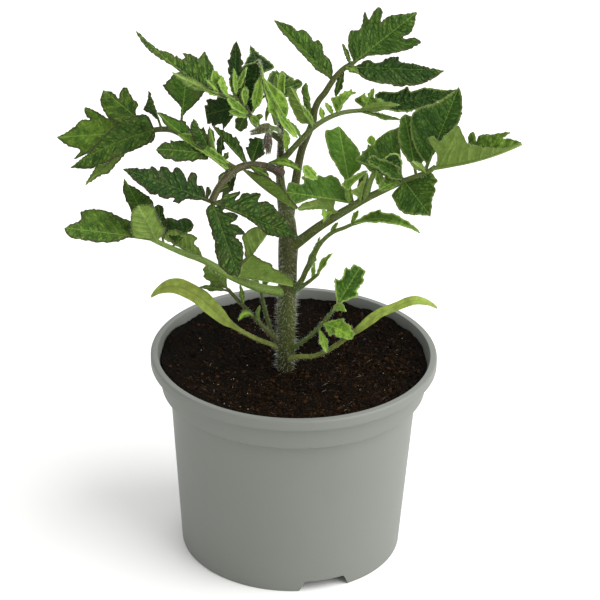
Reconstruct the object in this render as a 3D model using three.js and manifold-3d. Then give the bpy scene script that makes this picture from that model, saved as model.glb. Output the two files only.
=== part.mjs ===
// A young tomato plant in a round plastic garden pot.
// Millimetres, +Z up. The plant is described as it is seen from the front, from -Y and a little above.
import * as THREE from "three";
import { mergeVertices } from "three/addons/utils/BufferGeometryUtils.js";
import Module from "manifold-3d";

const wasm = await Module();
wasm.setup();

// Pot: outer radii and heights from the foot to the rim
const POT_HEIGHT = 78.2;
const RIM_RADIUS = 52.5;
const RIM_DEPTH = 4.2;
const RIM_ROUNDING = 1.2;
const RIM_LIP = 2.5;
const RIM_BEVEL = 0.3;
const COLLAR_TOP_RADIUS = 49.5;
const COLLAR_FOOT_RADIUS = 48.5;
const COLLAR_FOOT = 65.0;
const COLLAR_ROUNDING = 0.6;
const BODY_TOP_RADIUS = 45.3;
const BODY_TOP = 62.8;
const FOOT_RADIUS = 41.0;
const FOOT_ROUNDING = 0.6;
const POT_WALL = 1.2;
const INNER_STEP_RISE = 0.8;
const FLOOR_UNDERSIDE = 4.8;
const POT_SEGMENTS = 40;

// Drainage: notches through the foot, in degrees round from the front, and holes in the floor
const NOTCH_ANGLES = [18.5, 138.5, -101.5];
const NOTCH_FOOT_WIDTH = 20.0;
const NOTCH_TOP_WIDTH = 15.0;
const NOTCH_HEIGHT = 4.3;
const NOTCH_INNER_RADIUS = 36.0;
const NOTCH_REACH = 8.0;
const DRAIN_RADIUS = 4.0;
const DRAIN_CIRCLE = 25.0;
const DRAIN_COUNT = 6;
const DRAIN_SIDES = 12;

// Soil and the clearances between touching pieces
const SOIL_HEIGHT = 70.5;
const SOIL_ROUGHNESS = 0.9;
const SOIL_DISH = 3.2;
const SOIL_RINGS = [1, 0.84, 0.62, 0.4, 0.2, 0];
const BROAD_HUMP = 0.2;
const SMALL_HUMP = 0.4;
const SEAT_GAP = 0.3;

// Leaf build: blade thickness, stalk of a leaflet, bends and waves of a blade
const BLADE_THICKNESS = 0.7;
const LEAFLET_STALK_RADIUS = 0.6;
const LONGEST_HIDDEN_STALK = 1.5;
const BLADE_CURL = 0.1;
const BLADE_WAVE = 0.05;
const WAVES_PER_BLADE = 2.2;
const NARROWEST_HALF = 0.3;
const STEEPEST_RISE = 0.35;
const SHARPEST_FOLD = 0.4;
const STALK_SIDES = 6;
const STALK_STEP = 7.5;
const MAIN_STEM_SIDES = 10;

// Leaflet without a drawn outline: where it is widest, how its ends taper, where its lobes lie along it
// and the angle of its side veins to its midrib, in degrees
const WIDEST_AT = 0.3;
const BLUNT_WIDENING = 0.1;
const BASE_TAPER = 0.85;
const END_TAPER = 1.35;
const BLUNT_TAPERING = 0.42;
const FIRST_LOBE = 0.05;
const LOBED_SHARE = 0.58;
const VEIN_ANGLE_AT_BASE = 64;
const VEIN_ANGLE_LOSS = 30;

// Seed leaves and buds
const SEED_STALK_WIDTH = 2.1;
const SEED_STALK_THICKNESS = 1.4;
const BUD_SIDES = 8;
const BUD_RINGS = 6;

// Points of one shape closer than SAME_POINT are one point. A joined or cut solid is simplified within
// SHORTEST_EDGE, and its points are then merged within FINEST_STEP.
const SAME_POINT = 1e-4;
const SHORTEST_EDGE = 0.02;
const FINEST_STEP = 0.002;

// Sight frame of the description: the eye looks down on the stem's foot by EYE_ELEVATION.
// A place in it is [right, up, depth]: right and up in the plane through the stem's foot
// that faces the eye, and depth along +Y, away from the eye, all in millimetres.
const EYE_ELEVATION = THREE.MathUtils.degToRad(26.98);
const EYE = new THREE.Vector3(1.823, -802.1, 507.3);
const STEM_FOOT = new THREE.Vector3(0, 0, SOIL_HEIGHT);

// Main stem: centre line from the tip of the root to the shoot's apex, and its radii
const MAIN_STEM = [
  [-3.1, -38, 0], [-3.1, -26, 0], [-3.1, -14, 0], [-3.1, 0, 0], [-3.0, 12, 0], [-3.0, 28, 0],
  [-2.9, 40, 0], [-2.9, 47, 0], [-3.4, 54, 0], [-5.0, 61, 0], [-6.2, 68, 0], [-6.5, 75, 0.5],
  [-6.4, 82, 1], [-6.6, 88, 1.5], [-6.9, 91, 2],
];
const MAIN_RADII = [0.9, 1.9, 3.0, 3.1, 3.2, 3.3, 3.4, 3.6, 3.0, 2.1, 1.6, 1.35, 1.2, 1.0, 0.7];

// Compound leaves. "stalk" is the centre line from the stem outward and "thick" its first and last radius.
// Each leaflet leaves the stalk at "at" [right, up] and ends at "tip". "face" turns its upper side away
// from the eye in degrees, "fold" closes the two halves along the midrib, "bow" arches the midrib by that
// share of its length, and "stem" is the length of its own stalk.
// A leaflet has a "width", a number of "lobes" a side, cut in by "cut", with "skew" of its width moved to
// its upper half and a "blunt" end, or its "sides" are two outlines [right, up] from the base to the tip.
const LEAVES = [
  {
    "node": "leaf_lower_left", "thick": [1.8, 0.8],
    "stalk": [
      [-3.2, 28.5, 0], [-7.5, 28.6, -3], [-12.7, 29.4, -6], [-20, 32, -10], [-25.7, 34.5, -13],
      [-30, 37.1, -15], [-35, 39.6, -17], [-40, 41.2, -19], [-45, 43.1, -21], [-50, 45.2, -23],
      [-54, 47, -24],
    ],
    "leaflets": [
      {"at": [-54, 47], "tip": [-85.4, 50.1, -32], "face": 25, "fold": 20, "bow": 0, "stem": 1,
       "sides": [
        [[-55.5, 46.4], [-58.5, 47.4], [-61.8, 47], [-64.4, 45.9], [-68.4, 45.2], [-73.2, 45.3],
         [-78.4, 45.8], [-82.9, 46.9], [-84.9, 48.4]],
        [[-57, 50.5], [-61.3, 53.4], [-64.2, 54.7], [-67.1, 55.8], [-71.2, 57.1], [-75, 57.5],
         [-78.2, 57], [-79.6, 56.1], [-79.2, 54], [-80.2, 52.8], [-83.7, 51.3]],
       ]},
      {"at": [-51, 45.7], "tip": [-58.5, 58.8, -30], "face": 176, "fold": 10, "bow": 0, "stem": 0.6,
       "sides": [
        [[-55.5, 46.9], [-60, 48], [-61, 52], [-61, 55.7], [-60.3, 57.4]],
        [[-49.3, 48.6], [-48.6, 49.8], [-49.8, 52.3], [-51.2, 54.8], [-52.7, 58.4], [-54.2, 59.5]],
       ]},
      {"at": [-51, 45.7], "tip": [-63.8, 68.8, -22], "face": 10, "fold": 24, "bow": 0, "stem": 3,
       "sides": [
        [[-57, 50], [-60.5, 56], [-62.9, 60.9], [-64.2, 65.5]],
        [[-50.2, 52], [-52.4, 58.2], [-53.6, 61.3], [-56.7, 63.7], [-59.3, 65.4], [-62.5, 66.9]],
       ]},
      {"at": [-48.5, 44.5], "tip": [-51.2, 59.5, -14], "face": 10, "fold": 20, "bow": 0, "stem": 3,
       "sides": [
        [[-50.2, 50.5], [-51.6, 55], [-52.6, 58.4]],
        [[-48, 49.6], [-47.8, 53.4], [-48.9, 55.6], [-49.1, 58.6]],
       ]},
      {"at": [-46.5, 43.6], "tip": [-37.8, 52.1, -12], "face": 20, "fold": 10, "bow": 0, "stem": 4,
       "sides": [
        [[-45, 47.5], [-43, 49.4], [-40, 49.7], [-38.4, 50.5]],
        [[-48.2, 49.8], [-48.2, 54.2], [-46.5, 55], [-43.9, 54.2], [-42, 54.7], [-39.4, 54.1]],
       ]},
      {"at": [-33, 38.7], "tip": [-49.8, 47.9, -18], "face": 165, "fold": 14, "bow": 0, "stem": 2.5,
       "sides": [
        [[-36, 41.6], [-39, 43.9], [-41.6, 45.3], [-45.3, 46.7], [-47.5, 46.1]],
        [[-35.4, 43], [-37.7, 45.8], [-36.6, 47.7], [-38.6, 48.8], [-42.7, 49.6], [-45, 50.5],
         [-48, 49.4]],
       ]},
      {"at": [-24.5, 34], "tip": [-0.7, 31, -13], "face": 82, "fold": 125, "bow": 0.02, "stem": 2.5,
       "sides": [
        [[-21, 37.5], [-19.8, 40], [-18.3, 41.2], [-16.1, 42], [-14.7, 40.3], [-11.3, 36.8],
         [-10.2, 34.7], [-7.2, 32.6], [-4.6, 31.6]],
        [[-18.6, 40], [-16.5, 41.8], [-13.3, 41.4], [-8.8, 39], [-8.5, 37.2], [-4.8, 35.6],
         [-2.2, 33.9], [-0.9, 32.5]],
       ]},
      {"at": [-22.5, 33], "tip": [-10.2, 50.3, -11], "face": 170, "fold": 16, "bow": 0, "stem": 11,
       "sides": [
        [[-17.3, 44.7], [-16.5, 44.8], [-13.1, 46.3], [-11, 48.6]],
        [[-19.3, 46], [-19.9, 48.4], [-18.3, 50.3], [-14.8, 52.2], [-12.5, 51.5]],
       ]},
    ],
  },
  {
    "node": "leaf_basal_left", "thick": [1.0, 0.65],
    "stalk": [
      [-3.2, 8, 0], [-7.5, 11.3, -1.5], [-11.5, 15.3, -1.5], [-15.7, 19.6, -1], [-20.5, 24.3, 2],
      [-24.8, 28.9, 4],
    ],
    "leaflets": [
      {"at": [-24.8, 28.9], "tip": [-33.3, 37.4, 9], "face": 165, "fold": 20, "bow": 0.0, "stem": 1,
       "width": 10, "lobes": 2, "cut": 0.35, "skew": 0.0, "blunt": 1.0},
      {"at": [-24, 28], "tip": [-35.3, 29.3, 3], "face": 30, "fold": 20, "bow": 0.03, "stem": 2,
       "width": 4, "lobes": 1, "cut": 0.3, "skew": 0.0, "blunt": 0.6},
      {"at": [-18.8, 22.6], "tip": [-20.3, 30.6, 3], "face": 40, "fold": 30, "bow": 0.0, "stem": 1.5,
       "width": 3.2, "lobes": 1, "cut": 0.2, "skew": 0.0, "blunt": 0.6},
      {"at": [-13.5, 17.4], "tip": [-13, 22.8, -6], "face": 120, "fold": 40, "bow": 0.1, "stem": 1,
       "width": 3.6, "lobes": 1, "cut": 0.2, "skew": 0.0, "blunt": 0.7},
      {"at": [-15, 18.9], "tip": [-20.7, 17.4, -6], "face": 30, "fold": 40, "bow": 0.3, "stem": 1,
       "width": 4, "lobes": 1, "cut": 0.2, "skew": 0.0, "blunt": 0.7},
    ],
  },
  {
    "node": "leaf_basal_back", "thick": [0.9, 0.6],
    "stalk": [
      [-3.2, 9, 0], [-7.9, 12.5, 3], [-10.2, 19, 6], [-12.2, 26.2, 9], [-12.7, 30.2, 9.5],
    ],
    "leaflets": [
      {"at": [-12.7, 30.2], "tip": [-19.2, 36.6, 9], "face": 50, "fold": 30, "bow": 0.0, "stem": 0.5,
       "width": 4, "lobes": 1, "cut": 0.25, "skew": 0.0, "blunt": 0.5},
      {"at": [-12.5, 28], "tip": [-9.5, 35.5, 14], "face": 20, "fold": 30, "bow": 0.0, "stem": 0.5,
       "width": 4, "lobes": 1, "cut": 0.25, "skew": 0.0, "blunt": 0.5},
    ],
  },
  {
    "node": "leaf_arching_left", "thick": [1.4, 1.3],
    "stalk": [
      [-6.4, 72, 0], [-8.2, 73.2, -2.5], [-12, 74.4, -6], [-16.5, 74.8, -9], [-20.5, 74.1, -12],
      [-23.5, 72.4, -14], [-26.5, 69.3, -17], [-29.2, 65.6, -20], [-31.3, 61, -23],
    ],
    "leaflets": [
      {"at": [-31.3, 61], "tip": [-21.0, 33.4, -36], "face": 12, "fold": 24, "bow": 0, "stem": 1,
       "sides": [
        [[-32.4, 59.5], [-34.4, 59.7], [-33.6, 57.6], [-32.9, 55.2], [-32.1, 52.7], [-31.1, 50.1],
         [-30.5, 47.6], [-29.8, 45.0], [-29.7, 42.4], [-28.9, 39.9], [-28.1, 37.3], [-26.4, 35.5],
         [-24.1, 34.1]],
        [[-30.2, 59.2], [-28.7, 59.6], [-27.6, 59.8], [-26.5, 59.2], [-26.8, 58.3], [-27.4, 57.6],
         [-26.1, 57.1], [-24.6, 57.3], [-22.8, 56.9], [-21.5, 56.1], [-22.0, 54.7], [-23.1, 53.8],
         [-24.2, 53.2], [-22.3, 52.7], [-20.8, 51.8], [-19.5, 50.5], [-18.9, 49.3], [-20.4, 48.9],
         [-22.0, 48.8], [-22.4, 47.9], [-21.1, 47.4], [-20.0, 45.9], [-19.4, 43.7], [-19.3, 41.5],
         [-19.8, 38.9], [-20.1, 36.7], [-20.5, 34.5]],
       ]},
      {"at": [-31.2, 61.4], "tip": [-64.2, 72.3, -30], "face": 28, "fold": 24, "bow": 0, "stem": 1,
       "sides": [
        [[-33.5, 61.3], [-36.9, 61.4], [-40.5, 61.8], [-41.6, 61.4], [-43.1, 60.5], [-45.5, 60.9],
         [-45.0, 61.8], [-46.8, 62.1], [-47.5, 61.6], [-48.6, 61.9], [-50.5, 62.3], [-51.1, 63.0],
         [-53.1, 63.3], [-55.0, 64.2], [-56.8, 65.8], [-59.1, 67.6], [-61.3, 69.4]],
        [[-32.8, 62.2], [-31.9, 63.7], [-31.8, 65.0], [-32.5, 66.3], [-33.3, 66.5], [-33.7, 65.2],
         [-33.9, 62.6], [-34.2, 64.4], [-34.7, 65.9], [-35.9, 67.2], [-36.8, 67.1], [-36.7, 69.5],
         [-36.8, 70.8], [-37.6, 71.8], [-38.9, 71.9], [-39.7, 70.7], [-40.3, 69.3], [-40.6, 68.0],
         [-41.1, 69.4], [-41.7, 71.3], [-42.6, 72.5], [-43.9, 73.3], [-45.0, 73.4], [-46.1, 71.4],
         [-47.0, 72.2], [-48.0, 73.1], [-49.3, 73.7], [-50.2, 73.8], [-50.8, 72.1], [-51.8, 72.3],
         [-52.7, 73.2], [-53.9, 73.6], [-54.3, 72.7], [-56.6, 72.5], [-60.3, 72.7]],
       ]},
      {"at": [-31.2, 61.4], "tip": [1.2, 48.2, -24], "face": 24, "fold": 24, "bow": 0, "stem": 1,
       "sides": [
        [[-28.7, 60.1], [-26.1, 58.7], [-23.9, 57.8], [-21.7, 56.8], [-19.4, 55.5], [-17.2, 54.1],
         [-14.9, 52.5], [-12.7, 51.1], [-10.5, 49.6], [-7.9, 48.8], [-4.9, 48.2], [-1.6, 47.9]],
        [[-29.5, 61.4], [-28.0, 62.0], [-27.5, 64.2], [-27.0, 65.7], [-25.9, 66.2], [-24.4, 66.3],
         [-25.0, 65.3], [-25.1, 64.1], [-24.0, 64.3], [-22.6, 64.7], [-20.9, 65.1], [-20.7, 64.5],
         [-21.8, 63.2], [-22.9, 61.7], [-21.4, 62.3], [-20.2, 64.2], [-18.9, 64.7], [-16.7, 64.4],
         [-14.8, 64.8], [-13.4, 64.7], [-13.2, 63.8], [-13.9, 62.6], [-14.4, 61.3], [-12.6, 61.6],
         [-11.1, 61.8], [-9.6, 61.1], [-8.1, 59.6], [-6.6, 57.6], [-4.7, 55.5], [-3.2, 53.7],
         [-1.7, 51.7], [-0.2, 50.0]],
       ]},
      {"at": [-30, 63.5], "tip": [-25.3, 66.6, -19], "face": 30, "fold": 20, "bow": 0.1, "stem": 1,
       "width": 3.6, "lobes": 1, "cut": 0.3, "skew": 0.0, "blunt": 0.8},
      {"at": [-20, 74.2], "tip": [0.3, 59.4, -22], "face": 82, "fold": 125, "bow": -0.06, "stem": 3,
       "sides": [
        [[-16.5, 68.9], [-12, 66.9], [-8, 62.9], [-5, 61]],
        [[-17, 72.3], [-13.5, 71.3], [-9, 70], [-6, 67.3], [-3.5, 64.8], [-1.8, 61.8]],
       ]},
      {"at": [-12.5, 74.5], "tip": [1.4, 72.7, -13], "face": 50, "fold": 30, "bow": 0.15, "stem": 1.5,
       "width": 6, "lobes": 1, "cut": 0.2, "skew": 0.0, "blunt": 0.8},
      {"at": [-19, 74.6], "tip": [-10.6, 70.3, -16], "face": 40, "fold": 20, "bow": 0.05, "stem": 2,
       "width": 5, "lobes": 2, "cut": 0.35, "skew": 0.0, "blunt": 0.9},
      {"at": [-18.3, 74.8], "tip": [-31.5, 88.8, -5], "face": 20, "fold": 40, "bow": -0.03, "stem": 2,
       "sides": [
        [[-21.0, 76.8], [-22.1, 78.7], [-24.0, 80.5], [-25.9, 82.1], [-27.7, 83.7], [-29.3, 86.2],
         [-30.4, 87.7]],
        [[-19.1, 77.2], [-19.5, 78.3], [-20.3, 80.5], [-20.7, 81.3], [-21.6, 82.4], [-21.4, 83.1],
         [-22.2, 84.4], [-23.0, 85.4], [-23.5, 84.9], [-24.9, 86.2], [-27.1, 87.0], [-29.3, 88.1]],
       ]},
      {"at": [-17.5, 74.8], "tip": [-14.2, 84.7, -3], "face": 10, "fold": 20, "bow": 0.0, "stem": 1.5,
       "width": 10, "lobes": 2, "cut": 0.4, "skew": 0.0, "blunt": 1.0},
      {"at": [-21.5, 73.6], "tip": [-27.2, 62.8, -13], "face": 30, "fold": 20, "bow": 0.0, "stem": 2,
       "width": 5.5, "lobes": 1, "cut": 0.3, "skew": 0.0, "blunt": 0.7},
    ],
  },
  {
    "node": "leaf_arching_left", "thick": [1.5, 0.9],
    "stalk": [
      [-23.3, 72.4, -14], [-29.6, 76.8, -10], [-33, 79.1, -7.5], [-36.5, 81.3, -5], [-40, 83.8, -3],
      [-44.3, 86.1, 0], [-47.7, 87.2, 2], [-52, 87, 4], [-55, 86.5, 5],
    ],
    "leaflets": [
      {"at": [-55, 86.5], "tip": [-88.9, 83.3, 12], "face": 15, "fold": 16, "bow": 0, "stem": 1,
       "sides": [
        [[-60, 81.5], [-70, 79.2], [-75.5, 79.6], [-77.5, 77.6], [-82.8, 75.7], [-80.4, 79],
         [-84.8, 80.3]],
        [[-58, 90], [-64, 91.5], [-70.2, 90.9], [-74.6, 93.4], [-79.1, 94.9], [-78.7, 92], [-77, 90.2],
         [-79.8, 90.1], [-83.5, 86.6]],
       ]},
      {"at": [-54, 86.6], "tip": [-72.2, 101.1, 14], "face": 8, "fold": 14, "bow": 0, "stem": 3,
       "sides": [
        [[-64, 88.5], [-70, 91], [-71.9, 93.6], [-73.3, 97.2]],
        [[-59.5, 90.5], [-60.1, 93.8], [-59.2, 96.4], [-60.9, 97.8], [-62.1, 100], [-64.6, 102.6],
         [-66.1, 100.2], [-66.4, 98], [-68.8, 100.4]],
       ]},
      {"at": [-52, 87], "tip": [-83.7, 72.3, -4], "face": 22, "fold": 16, "bow": 0.05, "stem": 1,
       "sides": [
        [[-52.6, 83.6], [-55.2, 81.7], [-59.6, 79.6], [-62.6, 78.4], [-65.5, 77.4], [-68.4, 75.8],
         [-72, 74], [-76.4, 72.2], [-80.1, 71.8]],
        [[-53.4, 90], [-54.6, 91.3], [-57.2, 92.3], [-62, 91.5], [-68, 88], [-74, 81.5], [-77.5, 77.6],
         [-80.5, 74.8]],
       ]},
      {"at": [-53, 86.8], "tip": [-78.1, 66.1, 4], "face": 165, "fold": 20, "bow": 0.03, "stem": 12,
       "width": 7, "lobes": 1, "cut": 0.2, "skew": 0.0, "blunt": 0.6},
      {"at": [-50, 87.2], "tip": [-55.4, 101.2, 2], "face": 10, "fold": 20, "bow": 0.0, "stem": 5,
       "sides": [
        [[-54.4, 92.7], [-55.9, 93.4], [-57.2, 94.1], [-56.7, 95.6], [-56.0, 97.5], [-55.6, 99.7]],
        [[-52.2, 90.2], [-53.3, 92.4], [-53.9, 94.6], [-54.0, 96.4], [-54.2, 98.6], [-54.8, 100.4]],
       ]},
      {"at": [-43.5, 85.8], "tip": [-41.5, 109.2, 8], "face": 0, "fold": 16, "bow": 0, "stem": 8.5,
       "sides": [
        [[-43.6, 95.5], [-46.5, 98.6], [-48.4, 100.6], [-49.5, 102.2], [-50.3, 103.5], [-49.3, 103.9],
         [-49.2, 104.8], [-47.7, 105.6], [-47.0, 106.9], [-45.9, 107.9], [-44.1, 108.5]],
        [[-41.6, 93.7], [-40.1, 94.9], [-38.0, 96.9], [-36.2, 99.0], [-34.7, 101.4], [-34.4, 103.4],
         [-35.2, 106.4], [-38.2, 108.5]],
       ]},
      {"at": [-31, 77.7], "tip": [-52.3, 79.7, -14], "face": 30, "fold": 15, "bow": 0.02, "stem": 3,
       "sides": [
        [[-33.1, 76.3], [-35.3, 76.4], [-37.5, 76.3], [-38.6, 75.7], [-40.5, 75.9], [-42.7, 75.8],
         [-44.9, 75.9], [-46.4, 76.5], [-47.8, 76.5], [-49.3, 76.8], [-50.4, 77.5], [-51.6, 78.6]],
        [[-33.9, 78.6], [-36.1, 79.5], [-37.6, 80.9], [-39.5, 82.2], [-41.4, 82.9], [-43.6, 83.4],
         [-45.4, 83.2], [-46.9, 83.5], [-47.0, 82.2], [-48.0, 82.5], [-49.1, 82.8], [-49.4, 82.1],
         [-50.5, 81.6], [-51.6, 80.6]],
       ]},
      {"at": [-38, 82.4], "tip": [-52.1, 93.4, -7], "face": 20, "fold": 30, "bow": -0.03, "stem": 2,
       "sides": [
        [[-39.9, 83.3], [-43.6, 84.8], [-47.3, 86.8], [-48.8, 88.4], [-50.0, 90.2], [-51.1, 91.9]],
        [[-38.5, 85.7], [-39.8, 87.7], [-40.7, 88.9], [-41.9, 90.4], [-43.4, 90.7], [-45.6, 91.4],
         [-48.2, 92.5], [-50.8, 93.4]],
       ]},
      {"at": [-32, 78.4], "tip": [-38.6, 91.2, -12], "face": 15, "fold": 20, "bow": 0.0, "stem": 2.5,
       "sides": [
        [[-33.9, 79.5], [-36.2, 80.9], [-37.7, 82.4], [-39.2, 84.6], [-39.8, 87.1], [-39.6, 89.3]],
        [[-32.7, 80.6], [-33.3, 83.6], [-33.5, 84.9], [-34.4, 87.2], [-35.0, 88.3], [-35.7, 87.6],
         [-36.3, 87.8], [-37.1, 89.2], [-37.8, 90.3]],
       ]},
      {"at": [-29.8, 76.9], "tip": [-32.8, 88.7, -8], "face": 15, "fold": 20, "bow": 0.0, "stem": 2,
       "sides": [
        [[-31.7, 78.5], [-32.9, 81.4], [-33.3, 84.3], [-33.3, 86.5]],
        [[-30.0, 79.2], [-30.5, 81.4], [-30.7, 83.6], [-31.1, 86.2], [-31.8, 87.6]],
       ]},
      {"at": [-28.3, 75.8], "tip": [-28.2, 85.7, -7], "face": 15, "fold": 20, "bow": 0.0, "stem": 2,
       "sides": [
        [[-30.0, 78.9], [-30.1, 81.1], [-29.8, 83.7], [-29.1, 85.0]],
        [[-28.6, 78.5], [-28.4, 79.8], [-27.1, 80.2], [-27.0, 81.1], [-27.4, 82.4], [-27.6, 84.1]],
       ]},
      {"at": [-27.5, 75.2], "tip": [-25.7, 79.3, -13], "face": 20, "fold": 20, "bow": 0.0, "stem": 1,
       "width": 2.6, "lobes": 1, "cut": 0.3, "skew": 0.0, "blunt": 0.8},
      {"at": [-24.8, 73.2], "tip": [-29.2, 66.2, -11], "face": 40, "fold": 20, "bow": 0.0, "stem": 1.5,
       "width": 6, "lobes": 1, "cut": 0.2, "skew": 0.0, "blunt": 0.8},
    ],
  },
  {
    "node": "leaf_upper_left", "thick": [1.0, 0.75],
    "stalk": [
      [-6.6, 84.5, 1], [-10.5, 86.8, -1], [-16.1, 89.9, -2], [-18.3, 93.6, -3], [-21, 97.2, -4],
      [-25, 99.6, -5], [-30, 101, -6], [-33, 101.8, -6.5],
    ],
    "leaflets": [
      {"at": [-33, 101.8], "tip": [-60.6, 123.1, -10], "face": 20, "fold": 25, "bow": -0.03, "stem": 1,
       "sides": [
        [[-34.4, 102.0], [-36.6, 102.7], [-38.8, 103.2], [-40.7, 104.2], [-42.2, 106.2],
         [-44.1, 108.8], [-46.3, 110.3], [-49.0, 111.6], [-51.6, 113.1], [-53.8, 114.6],
         [-55.7, 116.2], [-57.2, 117.7], [-58.7, 119.5], [-59.6, 121.1]],
        [[-30.4, 103.5], [-30.2, 106.5], [-30.9, 110.0], [-31.6, 111.6], [-32.4, 112.7],
         [-33.2, 114.5], [-33.9, 115.8], [-34.7, 115.7], [-35.8, 114.6], [-37.0, 113.4],
         [-38.3, 114.2], [-40.2, 115.1], [-42.0, 115.3], [-43.3, 115.2], [-42.2, 114.0],
         [-42.7, 113.3], [-43.8, 113.0], [-44.6, 113.5], [-45.5, 114.4], [-46.1, 113.9],
         [-47.2, 115.0], [-48.7, 115.7], [-50.9, 116.2], [-53.1, 116.9], [-55.3, 118.1],
         [-57.2, 119.9], [-59.1, 121.3]],
       ]},
      {"at": [-30.5, 101.1], "tip": [-47.2, 108.3, -11], "face": 165, "fold": 20, "bow": -0.03,
       "stem": 2, "width": 4.6, "lobes": 1, "cut": 0.2, "skew": 0.0, "blunt": 0.6},
      {"at": [-24, 99.1], "tip": [-23.7, 120.4, 1], "face": 10, "fold": 25, "bow": 0.0, "stem": 6,
       "width": 7.5, "lobes": 3, "cut": 0.3, "skew": 0.0, "blunt": 0.4},
      {"at": [-22.3, 98.2], "tip": [-20.2, 110.4, -2], "face": 20, "fold": 40, "bow": 0.0, "stem": 2,
       "width": 2.8, "lobes": 0, "cut": 0, "skew": 0.0, "blunt": 0.4},
      {"at": [-27.5, 100.4], "tip": [-29.2, 107.4, -3], "face": 20, "fold": 40, "bow": 0.0, "stem": 1,
       "width": 3.2, "lobes": 1, "cut": 0.2, "skew": 0.0, "blunt": 0.5},
      {"at": [-29, 100.8], "tip": [-35, 106.2, -9], "face": 20, "fold": 40, "bow": 0.0, "stem": 1,
       "width": 3.2, "lobes": 1, "cut": 0.2, "skew": 0.0, "blunt": 0.5},
      {"at": [-20.7, 97], "tip": [-34.2, 92.8, 2], "face": 10, "fold": 20, "bow": 0.0, "stem": 2,
       "width": 16, "lobes": 2, "cut": 0.45, "skew": 0.0, "blunt": 1.0},
      {"at": [-19, 94.8], "tip": [-22.3, 87.4, 1], "face": 10, "fold": 20, "bow": 0.0, "stem": 1.5,
       "width": 7, "lobes": 1, "cut": 0.3, "skew": 0.0, "blunt": 0.9},
      {"at": [-20.3, 96.4], "tip": [-25.5, 92.8, -8], "face": 150, "fold": 30, "bow": 0.1, "stem": 1,
       "width": 3.2, "lobes": 1, "cut": 0.3, "skew": 0.0, "blunt": 0.8},
      {"at": [-16.5, 90.5], "tip": [-13.3, 92.8, -4], "face": 30, "fold": 30, "bow": 0.1, "stem": 0.8,
       "width": 3.4, "lobes": 1, "cut": 0.2, "skew": 0.0, "blunt": 0.8},
    ],
  },
  {
    "node": "leaf_back_top", "thick": [0.95, 0.7],
    "stalk": [
      [-6.7, 87.5, 1.5], [-7.5, 91.5, 4], [-10, 95.5, 8], [-11.6, 99.5, 13], [-13, 104, 19],
      [-14, 107.8, 25],
    ],
    "leaflets": [
      {"at": [-14, 107.8], "tip": [-18.4, 118.9, 44], "face": 0, "fold": 12, "bow": 0, "stem": 1,
       "sides": [
        [[-16.8, 107.9], [-19.8, 108.5], [-21.1, 111.1], [-19.9, 113.3], [-18.6, 115.2],
         [-18.6, 117.0]],
        [[-9.1, 107.3], [-6.9, 108.6], [-8.4, 109.9], [-9.5, 111.0], [-10.7, 112.4], [-11.8, 113.5],
         [-13.3, 114.7], [-15.2, 115.8], [-17.0, 117.4]],
       ]},
      {"at": [-13.2, 104.6], "tip": [0.3, 105.6, 37], "face": 0, "fold": 12, "bow": 0, "stem": 2,
       "sides": [
        [[-10.8, 102.5], [-7.2, 102.4], [-3.5, 102.6], [-0.9, 102.9], [-0.4, 104.0], [0.2, 104.9]],
        [[-11.0, 108.3], [-8.4, 109.7], [-6.9, 109.0], [-6.2, 109.6], [-4.9, 108.5], [-3.2, 107.4],
         [-2.1, 106.7], [-2.8, 104.5], [-1.7, 106.0], [-0.6, 106.4]],
       ]},
      {"at": [-13.2, 104.6], "tip": [-25.5, 106.5, 34], "face": 0, "fold": 15, "bow": 0.0, "stem": 2,
       "width": 13, "lobes": 2, "cut": 0.25, "skew": 0.1, "blunt": 0.9},
      {"at": [-11.8, 100.2], "tip": [1.0, 105.3, 22], "face": 20, "fold": 15, "bow": 0.0, "stem": 2,
       "width": 9, "lobes": 2, "cut": 0.4, "skew": 0.1, "blunt": 0.9},
      {"at": [-11.8, 100.2], "tip": [-20.5, 97, 22], "face": 10, "fold": 15, "bow": 0.0, "stem": 2,
       "width": 9, "lobes": 1, "cut": 0.3, "skew": 0.1, "blunt": 0.9},
      {"at": [-12.7, 102.8], "tip": [-5.2, 91.8, 9], "face": 20, "fold": 50, "bow": 0.06, "stem": 2,
       "width": 5.4, "lobes": 0, "cut": 0, "skew": 0.2, "blunt": 0.6},
      {"at": [-13.7, 106.6], "tip": [-17.2, 93.9, 14], "face": 30, "fold": 40, "bow": -0.1, "stem": 2,
       "width": 5.4, "lobes": 0, "cut": 0, "skew": 0.0, "blunt": 0.6},
      {"at": [-10.8, 97.3], "tip": [-12.2, 90.9, 4], "face": 30, "fold": 40, "bow": 0.0, "stem": 0.5,
       "width": 2.6, "lobes": 1, "cut": 0.3, "skew": 0.0, "blunt": 0.6},
      {"at": [-7.6, 91.8], "tip": [-0.8, 85.6, -4], "face": 40, "fold": 40, "bow": 0.12, "stem": 1,
       "width": 3, "lobes": 0, "cut": 0, "skew": 0.0, "blunt": 0.5},
    ],
  },
  {
    "node": "leaf_top_right", "thick": [1.75, 0.9],
    "stalk": [
      [-3.4, 54, 0], [-2.2, 60, 1], [-1, 67, 2.5], [0, 74, 4], [1.1, 80, 5.5], [3.2, 86, 7.5],
      [5.2, 91, 9], [6.2, 97.3, 11], [9.3, 101.7, 12.5], [12.3, 106.6, 14], [15.5, 110.4, 15.5],
      [19.5, 113, 17],
    ],
    "leaflets": [
      {"at": [19.5, 113], "tip": [42.6, 132.2, 26], "face": 8, "fold": 16, "bow": 0, "stem": 0.6,
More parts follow.
